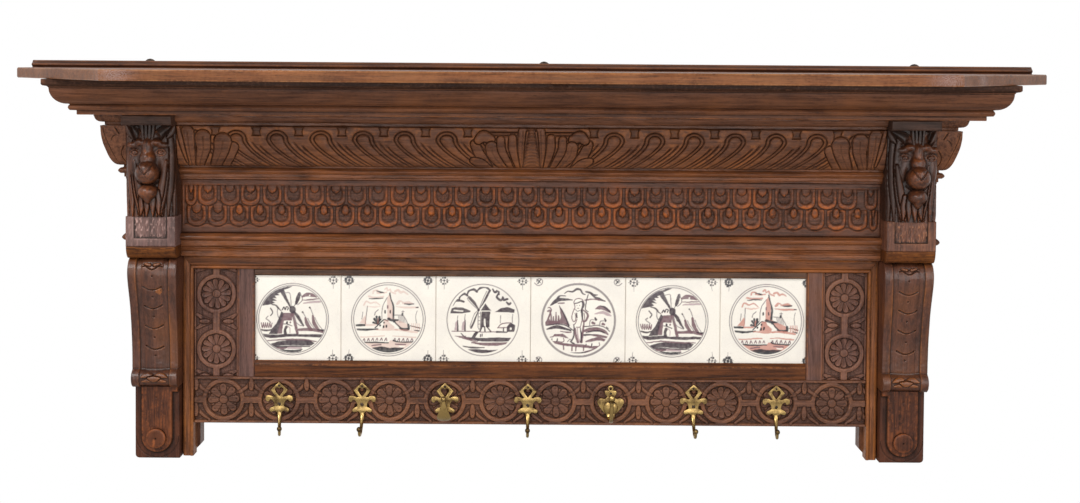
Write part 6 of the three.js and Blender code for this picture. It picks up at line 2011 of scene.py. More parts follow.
@dataclass
class Tiles:
    """The six tiles, each a slightly bowed square of painted glaze, and the mortar behind them."""

    cell: float = 0.7
    corner: float = 54.0
    glazed: float = 1.6
    art: tuple[TileArt, ...] = (
        TileArt(Scenes.mill, (-1.3, 0.4), ((49.2, 0.5), (46.6, 0.5))),
        TileArt(Scenes.church, (0.0, 1.0), ((50.5, 0.5), (47.6, 0.5)), 1.5, 0.3, 0.42),
        TileArt(Scenes.post_mill, (-0.4, 1.0), ((49.2, 0.55),)),
        TileArt(Scenes.herd, (0.7, 1.4), ((50.0, 1.3),), 0.0),
        TileArt(Scenes.mill, (-0.9, 0.9), ((49.2, 0.5), (46.4, 0.5)), 1.0, 0.55),
        TileArt(Scenes.church, (-1.4, 1.8), ((50.8, 0.5), (48.0, 0.5)), 1.6, 0.5),
    )

    def paint(self, relief: Relief, number: int) -> np.ndarray:
        """Paints a tile and returns the colour and the cover at each of its points.

        Args:
            relief: The tile's face.
            number: Which tile it is, from 1 at the left.

        Returns:
            Red, green, blue and cover, by row and column.
        """
        art = self.art[number - 1]
        x = relief.x - ((relief.left + relief.right) / 2 + art.middle[0])
        y = relief.y - ((relief.foot + relief.top) / 2 + art.middle[1])
        painting = Painting(x, y, 400 + 10 * number, art.sway, art.red)
        art.scene(painting)
        for radius, half in art.rings:
            painting.circle(GREY, radius, half)
        for x in (-self.corner, self.corner):
            for y in (-self.corner + 0.6, self.corner + 0.6):
                at = (x - art.middle[0], y - art.middle[1])
                painting.motif(*at, art.corner) if art.corner else painting.scribble(*at)
        return np.concatenate([painting.colour, painting.cover[..., None]], axis=-1)

    def tile(self, number: int) -> bpy.types.Object:
        """Makes one tile, with its rounded edges, and lays its painting on its front."""
        node = f"tile_{number}"
        room = Room.of(node)
        relief = Relief(room.left, room.right, room.foot, room.top, self.cell)
        paint = self.paint(relief, number)
        relief.out = -0.12 - 0.1 * drift(relief.out.shape, (5, 5), 120 + number)
        piece = relief.slab(f"painted_tile_{number}", room.back, room.front, GLAZE, 1.0)
        mesh = piece.data
        at = np.empty(len(mesh.vertices) * 3, np.float32)
        mesh.vertices.foreach_get("co", at)
        across, out, up = (at.reshape(-1, 3) * METRE).T
        shares = ((up - FEET * METRE - relief.foot) / room.height, (across - relief.left) / room.width)
        lasts = [size - 1 for size in paint.shape[:2]]
        row, col = (np.clip(np.rint(share * last).astype(int), 0, last) for share, last in zip(shares, lasts))
        values = paint[row, col]
        values[-out < room.front - self.glazed, 3] = 0.0
        layer = mesh.attributes.new("paint", "FLOAT_COLOR", "POINT")
        layer.data.foreach_set("color", values.astype(np.float32).reshape(-1))
        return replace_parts(piece, node)

    def build(self) -> None:
        """Makes every tile and finishes the mortar."""
        for number in range(1, len(self.art) + 1):
            self.tile(number)
        dress("tile_bed", MORTAR)


# Hooks


@dataclass(frozen=True)
class Casting:
    """One kind of hook.

    outline and hole are the right halves of the plate and of the hole through it, from top to
    foot, in parts that meet at corners. knots gives the rod's distance out of the plate's back,
    its rise over the plate's foot, and half its width and thickness; polish is its wear at its
    root and its tip. Each ball has a distance out, a rise, three radii and its grime.
    """

    outline: tuple
    hole: tuple
    knots: tuple[tuple[float, ...], ...]
    balls: tuple[tuple, ...]
    screws: tuple[float, float] = (-5.4, -30.6)
    polish: tuple[float, float] = (0.5, 0.1)


def joined(parts: tuple[tuple[tuple[float, float], ...], ...]) -> np.ndarray:
    """Smooth lines through the knots of each part, which meet at corners; two knots stay straight."""
    lines = [smooth_path(list(knots)) if len(knots) > 2 else np.array(knots, float) for knots in parts]
    meets = [i > 0 and parts[i - 1][-1] == knots[0] for i, knots in enumerate(parts)]
    return np.vstack([line[1:] if meet else line for line, meet in zip(lines, meets)])


DIAMOND = ((0.0, 0.0), (11.9, -11.3))
CURLED_ARM = ((4.9, -20.2), (7.6, -20.4), (10.6, -19.1), (14.6, -18.5), (18.0, -20.3), (18.8, -23.9),
              (17.2, -26.8), (14.4, -27.2), (12.9, -25.2), (11.2, -24.4), (8.9, -26.0), (7.2, -29.2),
              (6.6, -33.4))
LOBE = ((6.6, -33.4), (9.6, -34.8), (12.9, -37.0), (13.4, -39.6), (11.4, -41.3), (8.0, -40.8), (5.4, -40.2),
        (3.6, -41.9))
HEART = ((0.0, -9.6), (2.2, -8.0), (4.9, -8.7), (5.6, -11.4), (3.6, -15.0), (0.0, -19.6))
LONG_HOOK = Casting(
    (DIAMOND, CURLED_ARM, LOBE), (HEART,),
    ((1.4, 6, 3.4, 1.3), (1.8, -3, 2.9, 1.5), (6, -11, 2.5, 1.8), (12.5, -18.5, 2.2, 1.9), (21, -24, 2.1, 2),
     (31, -24, 2.0, 2), (36.6, -19.4, 1.9, 1.9), (38, -15, 1.8, 1.8)),
    ((38, -14.6, (3.4, 3.4, 3.6), 0.6),))
LEAF_HOOK = Casting(
    (DIAMOND, CURLED_ARM, LOBE), (HEART,),
    ((1.4, 8, 3.4, 1.3), (5, -2, 3.6, 1.8), (16, -5.4, 8.4, 1.9), (27, 1, 9.0, 1.7), (33.4, 12, 5.2, 1.6),
     (36, 25, 1.8, 1.5)),
    ((36.6, 27, (3.4, 3.4, 3.6), 0.3),), polish=(0.4, 0.8))
KNOB_HOOK = Casting(
    (((0.0, 0.0), (2.6, -1.2), (3.7, -4.2), (2.8, -7.6)),
     ((2.8, -7.6), (5.4, -7.0), (8.0, -8.8), (7.4, -12.4), (4.6, -15.4)),
     ((4.6, -15.4), (8.0, -18.6), (12.4, -17.6), (16.6, -19.4), (18.3, -23.6), (16.2, -28.2), (12.6, -33.4),
      (8.2, -38.2), (3.0, -41.2), (0.0, -41.8))),
    (((0.0, -3.0), (1.3, -3.6), (1.5, -5.2), (0.9, -6.6), (0.0, -7.0)),),
    ((2, 8, 6.4, 1.7), (5.4, -2, 5.2, 1.9), (16, -4.6, 3.2, 2.2), (28, 2, 2.7, 2.3), (34.6, 13, 2.6, 2.3),
     (37, 26, 2.5, 2.4)),
    ((37, 26, (4.6, 4.6, 1.6), 0.5), (37, 31.6, (4.7, 4.7, 5.2), 0.0), (1.8, 10.92, (10.4, 5.0, 10.4), 0.1)),
    screws=(-11.4, -36.5))


@dataclass
class Hook:
    """A cast brass hook: a flat plate with eased edges, a tapering rod and two screws."""

    number: int
    tall: float = 42.0
    thick: float = 2.8
    ease_edge: float = 0.55
    crease: float = 40.0
    pitch: float = 113.3

    def __post_init__(self) -> None:
        """Finds the hook's place from its node."""
        self.node = f"hook_{self.number}"
        room = Room.of(self.node)
        self.back, self.top = room.back, room.top
        self.across = RAIL_MIDDLE + (self.number - 4) * self.pitch
        self.turn = {1: 0.16, 7: -0.09}.get(self.number, 0.0)

    def flat(self, halves: list[np.ndarray], name: str) -> bpy.types.Mesh:
        """Fills closed outlines, gives them thickness and rounds their edges.

        Args:
            halves: Right halves of the outline and of each hole, from top to foot.
            name: Name for the mesh.

        Returns:
            The mesh, in the frame's metres.
        """
        curve = bpy.data.curves.new(name, "CURVE")
        curve.dimensions, curve.fill_mode = "2D", "BOTH"
        curve.extrude = (self.thick / 2 - self.ease_edge) / METRE
        curve.bevel_depth, curve.bevel_resolution = self.ease_edge / METRE, 2
        curve.offset = -self.ease_edge / METRE
        for half in halves:
            mirrored = half[1:][::-1] * (-1, 1)
            ring = np.vstack([half, mirrored[mirrored[:, 0] < -1e-6]]) / METRE
            spline = curve.splines.new("POLY")
            spline.points.add(len(ring) - 1)
            flat = np.pad(ring, ((0, 0), (0, 2))) + (0, 0, 0, 1)
            spline.points.foreach_set("co", flat.reshape(-1))
            spline.use_cyclic_u = True
        holder = bpy.data.objects.new(name, curve)
        bpy.context.scene.collection.objects.link(holder)
        mesh = bpy.data.meshes.new_from_object(holder.evaluated_get(bpy.context.evaluated_depsgraph_get()))
        bpy.data.objects.remove(holder)
        bpy.data.curves.remove(curve)
        lay = Matrix.Rotation(math.pi / 2, 4, "X")
        at = place(self.across, self.back + self.thick / 2, self.top)
        mesh.transform(Matrix.Translation([float(v) for v in at]) @ lay)
        return mesh

    def rod(self, shell: Shell, cast: Casting) -> None:
        """Adds the rod of oval section that stands out from the plate."""
        line = smooth_path([(out, rise - self.tall, *halves) for out, rise, *halves in cast.knots], 6)
        slope = np.gradient(line[:, :2], axis=0)
        slope /= np.hypot(*slope.T)[:, None]
        angle = circle(16)
        side = line[:, 2:3] * np.cos(angle)
        lift = line[:, 3:4] * np.sin(angle)
        out = line[:, :1] - slope[:, 1:2] * lift
        drop = line[:, 1:2] + slope[:, :1] * lift
        across = self.across + side * math.cos(self.turn) + out * math.sin(self.turn)
        depth = self.back + out * math.cos(self.turn) - side * math.sin(self.turn)
        wear_and_highlight = np.linspace(*cast.polish, len(line))[:, None]
        shell.tube(place(across, depth, self.top + drop), wear_and_highlight, 0.0)

    def ball(self, shell: Shell, out: float, rise: float, radii: tuple[float, ...], grime_and_shade: float) -> None:
        """Adds a ball, stretched to its radii across, outwards and up."""
        down = np.linspace(0.02, math.pi - 0.02, 13)[:, None]
        angle = circle(20)
        across = self.across + out * math.sin(self.turn) + radii[0] * np.sin(down) * np.cos(angle)
        depth = self.back + out * math.cos(self.turn) + radii[1] * np.sin(down) * np.sin(angle)
        height = self.top + rise - self.tall + radii[2] * np.cos(down) + 0 * angle
        shell.tube(place(across, depth, height), 0.2, grime_and_shade)

    def screw(self, shell: Shell, drop: float, radius: float, slot: float) -> None:
        """Adds a round screw head with a slot cut across it at an angle."""
        rings = np.array([0.0, 0.25, 0.5, 0.7, 0.85, 1.0, 1.0])[:, None] * radius
        dome = np.array([0.9, 0.88, 0.8, 0.66, 0.45, 0.1, -1.6])[:, None]
        angle = circle(28)
        u, v = rings * np.cos(angle), rings * np.sin(angle)
        cut = np.abs(u * math.sin(slot) - v * math.cos(slot)) < radius * 0.24
        height = dome - 0.75 * (cut & (rings < radius * 0.99))
        face = self.back + self.thick
        shell.tube(place(self.across + u + 0 * angle, face + height, self.top + drop + v),
                   0.3, np.where(cut, 1.0, 0.25))

    def build(self) -> bpy.types.Object:
        """Makes the casting, its rod and its screws, and has the castings stand for the node."""
        cast = {3: LEAF_HOOK, 5: KNOB_HOOK}.get(self.number, LONG_HOOK)
        name = f"hook_plate_{self.number}"
        halves = [joined(parts) for parts in (cast.outline, cast.hole)]
        casting = finished(self.flat(halves, name), name, BRASS, self.crease)
        shell = Shell()
        self.rod(shell, cast)
        for ball in cast.balls:
            self.ball(shell, *ball)
        rod = shell.object(f"hook_rod_{self.number}", BRASS, self.crease)
        heads = Shell()
        slots = np.random.default_rng(SEED + 200 + self.number).uniform(0, math.pi, 2)
        for drop, radius, slot in zip(cast.screws, (1.7, 2.5), slots):
            self.screw(heads, drop, radius, float(slot))
        heads.object(f"hook_screws_{self.number}", IRON, 30.0)
        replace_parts(rod, self.node)
        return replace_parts(casting, self.node)


# The pilasters


@dataclass
class LowerBlock:
    """The block at the foot of a pilaster: a raised tongue with a turned disc on it."""

    tongue: float = 41.5
    head: float = 57.0
    head_tall: float = 7.4
    rise: float = 5.0
    foot_gap: float = 9.0
    corner: float = 5.0

    def build(self, side: str) -> None:
        """Builds the block and the disc on one side. Across grows outwards, away from the tiles."""
        sign = SIDES[side]
        room = Room.of(f"lower_block_{side}")
        relief = Relief(-room.width / 2, room.width / 2, room.foot, room.top, 0.8, -self.rise, 0.7, 0.7)
        x, y = relief.x, relief.y
        half = self.tongue / 2
        low = room.foot + self.foot_gap + half
        shaft = np.where(y > low, np.abs(x), np.hypot(x, y - low)) - half
        cap = np.maximum(np.maximum(x - half, -x - self.head / 2), room.top - self.head_tall - y)
        off = np.minimum(shaft, cap)
        relief.out = -self.rise * ease(-0.5, 0.7, off) - 0.7 * ease(-1.6, 0.2, off) * (off < 0.4)
        groove = np.abs(np.hypot(x, np.minimum(y - low, 0)) - half - 8.0)
        ringed = (1 - ease(0.0, 1.0, groove)) * (y < low)
        relief.out -= 0.9 * ringed
        relief.dirt = np.maximum(1 - ease(0.0, 1.6, np.abs(off - 0.6)), 0.6 * ringed)
        fibres = drift(x.shape, (9, 70), 134 + sign)
        relief.glow = 0.62 * ease(-0.3, 0.6, fibres) * (off < -0.5)
        relief.dirt = np.maximum(relief.dirt, 0.55 * ease(0.35, 0.8, -fibres) * (off < -0.5))
        relief.tooled(130 + sign, 0.18)
        relief.pit(0.5, room.top - 15.0, 0.8, 1.2)
        wear_and_highlight, grime_and_shade = relief.marks()
        full = x.max()
        curve = np.clip((room.foot + self.corner - y) / self.corner, 0, 1)
        outer = full - self.corner * (1 - dome(curve))
        across = -full + (x + full) / (2 * full) * (outer + full)
        depth = room.front + relief.out
        near = np.clip(1 - np.minimum.reduce([across + full, outer - across, y - room.foot]) / 1.2, 0, 1)
        depth = depth - 1.2 * (1 - dome(near))
        shell = Shell()
        skin = place(room.middle + sign * across, depth, y)
        flat = place(room.middle + sign * across, room.back + 0 * depth, y)
        shell.carved(skin, flat, (wear_and_highlight, grime_and_shade))
        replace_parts(shell.object(f"foot_block_{side}", FOOT, 60.0), f"lower_block_{side}")
        self.disc(side)

    def disc(self, side: str) -> None:
        """The turned disc: a flat face with an eased edge, and a small centre hole."""
        room = Room.of(f"turned_disc_{side}")
        radius, middle = room.width / 2, (room.foot + room.top) / 2
        thick = room.front - room.back
        ring = np.array([0.03, 0.06, 0.09, 0.25, 0.4, 0.6, 0.8, 0.9, 0.96, 1.0, 1.0, 1.0])[:, None] * radius
        lift = np.array([-1.4, -1.2, -0.1, 0.0, 0.0, 0.0, 0.0, -0.25, -0.8, -1.8, -3.0, -thick])[:, None]
        wear_and_highlight = np.array([0, 0, 0.3, 0.1, 0.1, 0.1, 0.3, 0.8, 0.9, 0.5, 0.1, 0])[:, None]
        grime_and_shade = np.array([1, 1, 0.4, 0, 0, 0, 0, 0, 0, 0.2, 0.8, 1])[:, None]
        angle = circle(72)
        u, v = ring * np.cos(angle), ring * np.sin(angle)
        scar = (np.abs(u + 2.4) < 1.6) & (v < -1.0) if side == "left" else u > math.inf
        shell = Shell()
        points = place(room.middle + u, room.front + lift + 0 * angle, middle + v)
        shell.tube(points, np.where(scar, 1.0, wear_and_highlight), np.where(scar, 0.0, grime_and_shade))
        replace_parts(shell.object(f"foot_disc_{side}", FOOT, 35.0), f"turned_disc_{side}")


@dataclass(frozen=True)
class Lump:
    """An ellipsoid, by its middle and its radii across, outwards and up, in millimetres."""

    middle: tuple[float, float, float]
    radii: tuple[float, float, float]

    def far(self, points: np.ndarray) -> np.ndarray:
        """How far points lie outside it: k0 (k0 - 1) / k1, with k0 = |p / r| and k1 = |p / r2|."""
        offset = points - self.middle
        first = np.linalg.norm(offset / self.radii, axis=-1)
        second = np.linalg.norm(offset / np.square(self.radii), axis=-1)
        return first * (first - 1.0) / np.maximum(second, 1e-6)


def melt(first: np.ndarray, second: np.ndarray, width: float) -> np.ndarray:
    """The smaller of two distances, m = min(a, b) - (w - |a - b|)2 / 4w where they are close."""
    close = np.clip(width - np.abs(first - second), 0.0, None)
    return np.minimum(first, second) - close * close / (4.0 * width)


@dataclass
class LionHead:
    """A lion's head that stands out of its mane.

    The mane is carved on a sheet that wraps the front and both sides of the console: u runs
    along the sheet, and the face is found by casting a ray inwards from each of its points
    on to a melted heap of ellipsoids. Each face is carved a little outside the middle.
    """

    half: float = 33.0
    corner: float = 10.0
    front: float = 95.5
    cell: float = 0.65
    lumps: tuple[Lump, ...] = (
        Lump((0, 83, 414), (36, 17.5, 34)),
        Lump((0, 91, 440), (15, 9, 10)),
        Lump((10.5, 96.5, 432), (7.4, 7.0, 4.8)),
        Lump((20.5, 94.6, 428.2), (8.4, 6.6, 4.6)),
        Lump((19.5, 91, 401), (7.5, 9.4, 17)),
        Lump((0, 98.5, 424), (7.4, 8.8, 14)),
        Lump((0, 100, 410), (10.2, 10.4, 11)),
        Lump((0, 105.6, 392.0), (15.4, 14.4, 15.0)),
        Lump((0, 105.6, 399.5), (9.6, 12.0, 6.4)),
        Lump((0, 100.5, 366.5), (12.8, 13.2, 10.2)),
        Lump((-1.2, 98.5, 358.0), (6.8, 9.6, 8.0)),
    )
    # Lighter patches: the muzzle and the chin rubbed by hands, and the band over the brows a painted
    # highlight.
    rubbed: tuple[tuple[float, ...], ...] = ((392.0, 14.0, 13.0, 0.5), (366.0, 11.0, 9.0, 0.4),
                                             (430.5, 24.0, 5.0, 0.35))
    socket: Lump = Lump((16.8, 105.0, 418.4), (8.0, 9.4, 5.8))
    eye: Lump = Lump((17.0, 96.6, 418.2), (5.2, 4.4, 3.9))

    def sheet(self, u: np.ndarray) -> tuple[np.ndarray, ...]:
        """Where the sheet runs: place across and depth, and the way that it faces there."""
        flat = self.half - self.corner
        bend = np.clip((np.abs(u) - flat) / self.corner, 0, math.pi / 2)
        rest = np.clip(np.abs(u) - flat - self.corner * math.pi / 2, 0, None)
        across = np.sign(u) * (np.minimum(np.abs(u), flat) + self.corner * np.sin(bend))
        depth = self.front - self.corner * (1 - np.cos(bend)) - rest
        return across, depth, np.sign(u) * np.sin(bend), np.cos(bend)

    def face(self, u: np.ndarray, height: np.ndarray, aside: float) -> np.ndarray:
        """How far the face stands out of the sheet, by rays cast from 40 mm in front of it."""
        across, depth, over, out = self.sheet(u)
        reach = np.full(u.shape, 40.0)
        for _ in range(42):
            spot = np.stack([np.abs(across + over * reach - aside), depth + out * reach, height], axis=-1)
            body = self.lumps[0].far(spot)
            for lump in self.lumps[1:]:
                body = melt(body, lump.far(spot), 3.4)
            body = -melt(-body, self.socket.far(spot), 2.4)
            body = melt(body, self.eye.far(spot), 0.6)
            reach = reach - np.clip(body, -2.0, 6.0)
        return np.where(reach > -12.0, reach, -12.0)

    def mane(self, relief: Relief, aside: float) -> None:
        """Carves the strands of the mane, the ears, the tufts and the beard."""
        rng = np.random.default_rng(SEED + 300)
        for side in (-1, 1):
            for k in range(6, -1, -1):
                start = 17.5 + 7.4 * k
                path = [(side * start, 452), (side * (start + 2.6), 415),
                        (side * (start + rng.uniform(-1, 1)), 376),
                        (side * (start - 1.5), 332.8 + rng.uniform(0, 2))]
                relief.blade(path, [2.8, 4.4, 4.8, 0.9], 0.4 + rng.uniform(-0.8, 0.8), 2.4, 1.3)
            for k in range(2):
                path = [(side * (22 - k), 407), (side * (20 - 3 * k), 384), (side * (16.5 - 4 * k), 358),
                        (side * (13.5 - 5 * k), 333.2)]
                relief.blade(path, [2.2, 4.2, 4.4, 0.8], 2.0 + 0.6 * k, 2.4, 1.3)
            ear = [(side * 11.0 + aside, 432), (side * 16.5 + aside, 443), (side * 25.5, 452)]
            relief.blade(ear, [5.4, 7.6, 4.4], 3.4, 1.0, 1.0, hollow=7.4)
            relief.blade([(side * 23, 438), (side * 27.5, 445), (side * 31.5, 454)], [1.2, 3.2, 2.8], 2.6,
                         2.2, 0.9)
        for x in (-10.5, 10.5, -4.0, 3.4):
            path = [(x * 0.9, 366), (x, 352), (x * 1.15, 333.0 + 0.2 * abs(x))]
            relief.blade(path, [3.6, 4.4, 0.8], 3.0, 2.4, 1.3)
        for x in (-7.0, 7.0, -2.4, 2.4):
            path = [(x * 0.6 + aside, 430), (x * 0.9 + aside, 442), (x * 1.1 + aside, 455)]
            relief.blade(path, [1.3, 2.3, 2.0], 4.2, 1.8, 1.0, rib=0.4)
        # Painted highlight: a lighter band along the inner edge of each ear.
        inner = np.abs(relief.x - aside) - 10.8 + 0.10 * (relief.y - 442)
        lit = bell(inner, 1.6) * ease(427, 433, relief.y) * ease(453, 446, relief.y)
        relief.glow = np.maximum(relief.glow, lit)

    def lines(self, relief: Relief, aside: float) -> None:
        """Cuts the lines of the nose, the mouth and the eyes, and raises the lids."""
        cuts = ((((0, 376.8), (7.5, 376.2), (13.8, 380.2)), 1.6, 2.4), (((0, 423), (0, 436)), 0.9, 0.6),
                (((0.4, 390.4), (4.4, 395.6), (9.4, 402.8)), 1.6, 2.2))
        for path, width, depth in cuts:
            for side in (-1, 1):
                relief.cut([(aside + side * x, y) for x, y in path], 0.05, depth, width)
        far = np.hypot((np.abs(relief.x - aside) - 17.0) / 5.9, (relief.y - 418.4) / 4.1)
        relief.out += 1.3 * bell(far - 1, 0.16)
        crease = bell(far - 0.76, 0.1) + bell(far - 1.36, 0.12) * (relief.y > 418)
        relief.out -= 0.8 * crease
        relief.dirt = np.maximum(relief.dirt * ease(0.0, 1.5, np.abs(far - 0.4)), 0.8 * np.clip(crease, 0, 1))
        # Painted highlight: the lids and the eyeballs are made lighter.
        lit = 0.7 * bell(far - 1, 0.14) + 0.6 * bell(far, 0.6)
        relief.glow = np.maximum(relief.glow, lit)
        for side in (-1, 1):
            relief.pit(aside + side * 17.2, 418.2, 1.1, 1.4)
            for k in range(6):
                row, hair = divmod(k, 3)
                relief.pit(aside + side * (5.0 + 2.6 * hair), 390.5 - 2.4 * hair - 4.2 * row, 0.55, 0.6)

    def build(self, side: str, room: Room) -> bpy.types.Object:
        """Carves the head on one side.

        Args:
            side: Left or right.
            room: The console's place.

        Returns:
            The head's object.
        """
        aside = {"left": -2.6, "right": 6.6}[side]
        foot, top = room.foot + 56.0, room.top - 13.3
        bend = self.corner * math.pi / 2
        spread = self.half - self.corner + bend + self.front - self.corner - room.back - 0.4
        relief = Relief(-spread, spread, foot, top, self.cell, 0.0, 0.3, 0.6)
        self.mane(relief, aside)
        face = self.face(relief.x, relief.y, aside)
        bare = ease(-1.5, 1.5, face - relief.out)
        relief.dirt *= 1 - bare
        relief.out = -melt(-relief.out, -face, 1.6)
        relief.glow *= 1 - bare
        self.lines(relief, aside)
        relief.tooled(310 + SIDES[side], 0.14)
        across, depth, over, out = self.sheet(relief.x)
        reach = np.where(np.abs(across) > self.half - 1.0, np.minimum(relief.out, 0.0), relief.out)
        x = room.middle + across + over * reach
        skin = place(np.clip(x, room.left, room.right), depth + out * reach, relief.y)
        saddle = np.exp(-(((relief.x - aside) / 9.0) ** 2 + ((relief.y - 415.5) / 9.0) ** 2) ** 2)
        relief.glow = np.maximum(relief.glow, 0.7 * saddle)
        wear_and_highlight, grime_and_shade = relief.marks()
        # Rubbed muzzle and chin, and the painted highlight along the brows.
        for centre, across_by, up_by, share in self.rubbed:
            patch = ((relief.x - aside) / across_by) ** 2 + ((relief.y - centre) / up_by) ** 2
            wear_and_highlight = np.maximum(wear_and_highlight, share * bell(patch, 1.0) * (1 - relief.dirt))
        # Painted shade: the inner side of the head, away from the light, is darkened.
        inner = 0.75 * ease(14.0, 28.0, -SIDES[side] * (relief.x - aside)) * ease(80, 50, np.abs(relief.x))
        # Painted shade: the top of the mane, in the recess under the cap, is darkened.
        low = ease(410, 450, relief.y) * ease(34, 24, np.abs(relief.x)) * (1 - bare) * (1 - relief.glow)
        shell = Shell()
        shell.grid(skin, wear_and_highlight, np.maximum.reduce([grime_and_shade * (1 - saddle), 0.95 * low, inner]))
        shell.grid(np.stack([skin[:, 0], skin[:, -1]]), 0.0, 0.5)
        shell.face(skin[0], 0.8)
        shell.face(skin[-1], 0.8)
        return shell.object(f"lion_head_{side}", LION_SHADED, 70.0)


@dataclass
class Console:
    """The console over a bracket: a rounded foot, a block with a sunk panel, the lion, a cap."""

    block_front: float = 97.6
    cove_front: float = 84.0
    foot_tall: float = 17.0
    block_top: float = 57.0
    margin: float = 10.5
    sunk: float = 2.6
    cap_tall: float = 13.0
    cap_front: float = 118.8

    def foot(self, side: str, room: Room) -> bpy.types.Object:
        """The foot: a quarter round that turns in under the block."""
        top = room.foot + self.foot_tall - 0.1
        relief = Relief(room.left, room.right, room.foot, top, 0.8, 0.0, 0.7)
        turn = np.clip((top - relief.y) / self.foot_tall, 0, 1)
        relief.out = (self.cove_front - self.block_front) * (1 - dome(turn)) - 0.8
        worn = drift(relief.x.shape, (14, 9), 325 + SIDES[side])
        relief.glow = 0.7 * ease(-0.3, 0.5, worn) * ease(0.9, 0.3, turn)
        relief.tooled(326 + SIDES[side], 0.16)
        return relief.slab(f"console_foot_{side}", room.back, self.block_front, AMBER, 1.0)

    def block(self, side: str, room: Room) -> bpy.types.Object:
        """The block under the head, with its sunk and roughened panel."""
        low = room.foot + self.foot_tall
        relief = Relief(room.left, room.right, low, room.foot + self.block_top, 0.8, 0.0, 0.5)
        x, y = relief.x, relief.y - low
        left, right = room.left + self.margin, room.right - self.margin
        off = np.maximum(np.maximum(left - x, x - right), np.maximum(self.margin - y, y - self.block_top))
        relief.out = -self.sunk * (1 - ease(-0.9, 0.1, off))
        relief.dirt = (1 - ease(0.0, 0.9, np.abs(off + 0.4))) * 0.9
        # The same streaks roughen the sunk panel and are painted on it as pale glints, fainter on the margin.
        scratches_and_glints = drift(x.shape, (12, 60), 320 + SIDES[side])
        relief.out += 0.4 * scratches_and_glints * (off < -1)
        relief.glow = ease(0.1, 0.8, scratches_and_glints) * (off < -1) + 0.4 * ease(0.3, 0.9, scratches_and_glints) * (off > 1)
        relief.tooled(330 + SIDES[side], 0.16)
        finish = {"left": BLOCK, "right": BLOCK_BROWN}[side]
        return relief.slab(f"console_block_{side}", room.back, self.block_front, finish, 1.0)

    def cap(self, side: str, room: Room) -> bpy.types.Object:
        """The plain cap over the head."""
        relief = Relief(room.left, room.right, room.top - self.cap_tall, room.top, 1.0)
        relief.tooled(340 + SIDES[side], 0.14)
        return relief.slab(f"console_cap_{side}", room.back, self.cap_front, CAP, 1.2)

    def build(self, side: str) -> None:
        """Builds the console on one side."""
        node = f"lion_console_{side}"
        room = Room.of(node)
        for make in (self.foot, self.block, self.cap, LionHead().build):
            piece = make(side, room)
            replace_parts(piece, node)


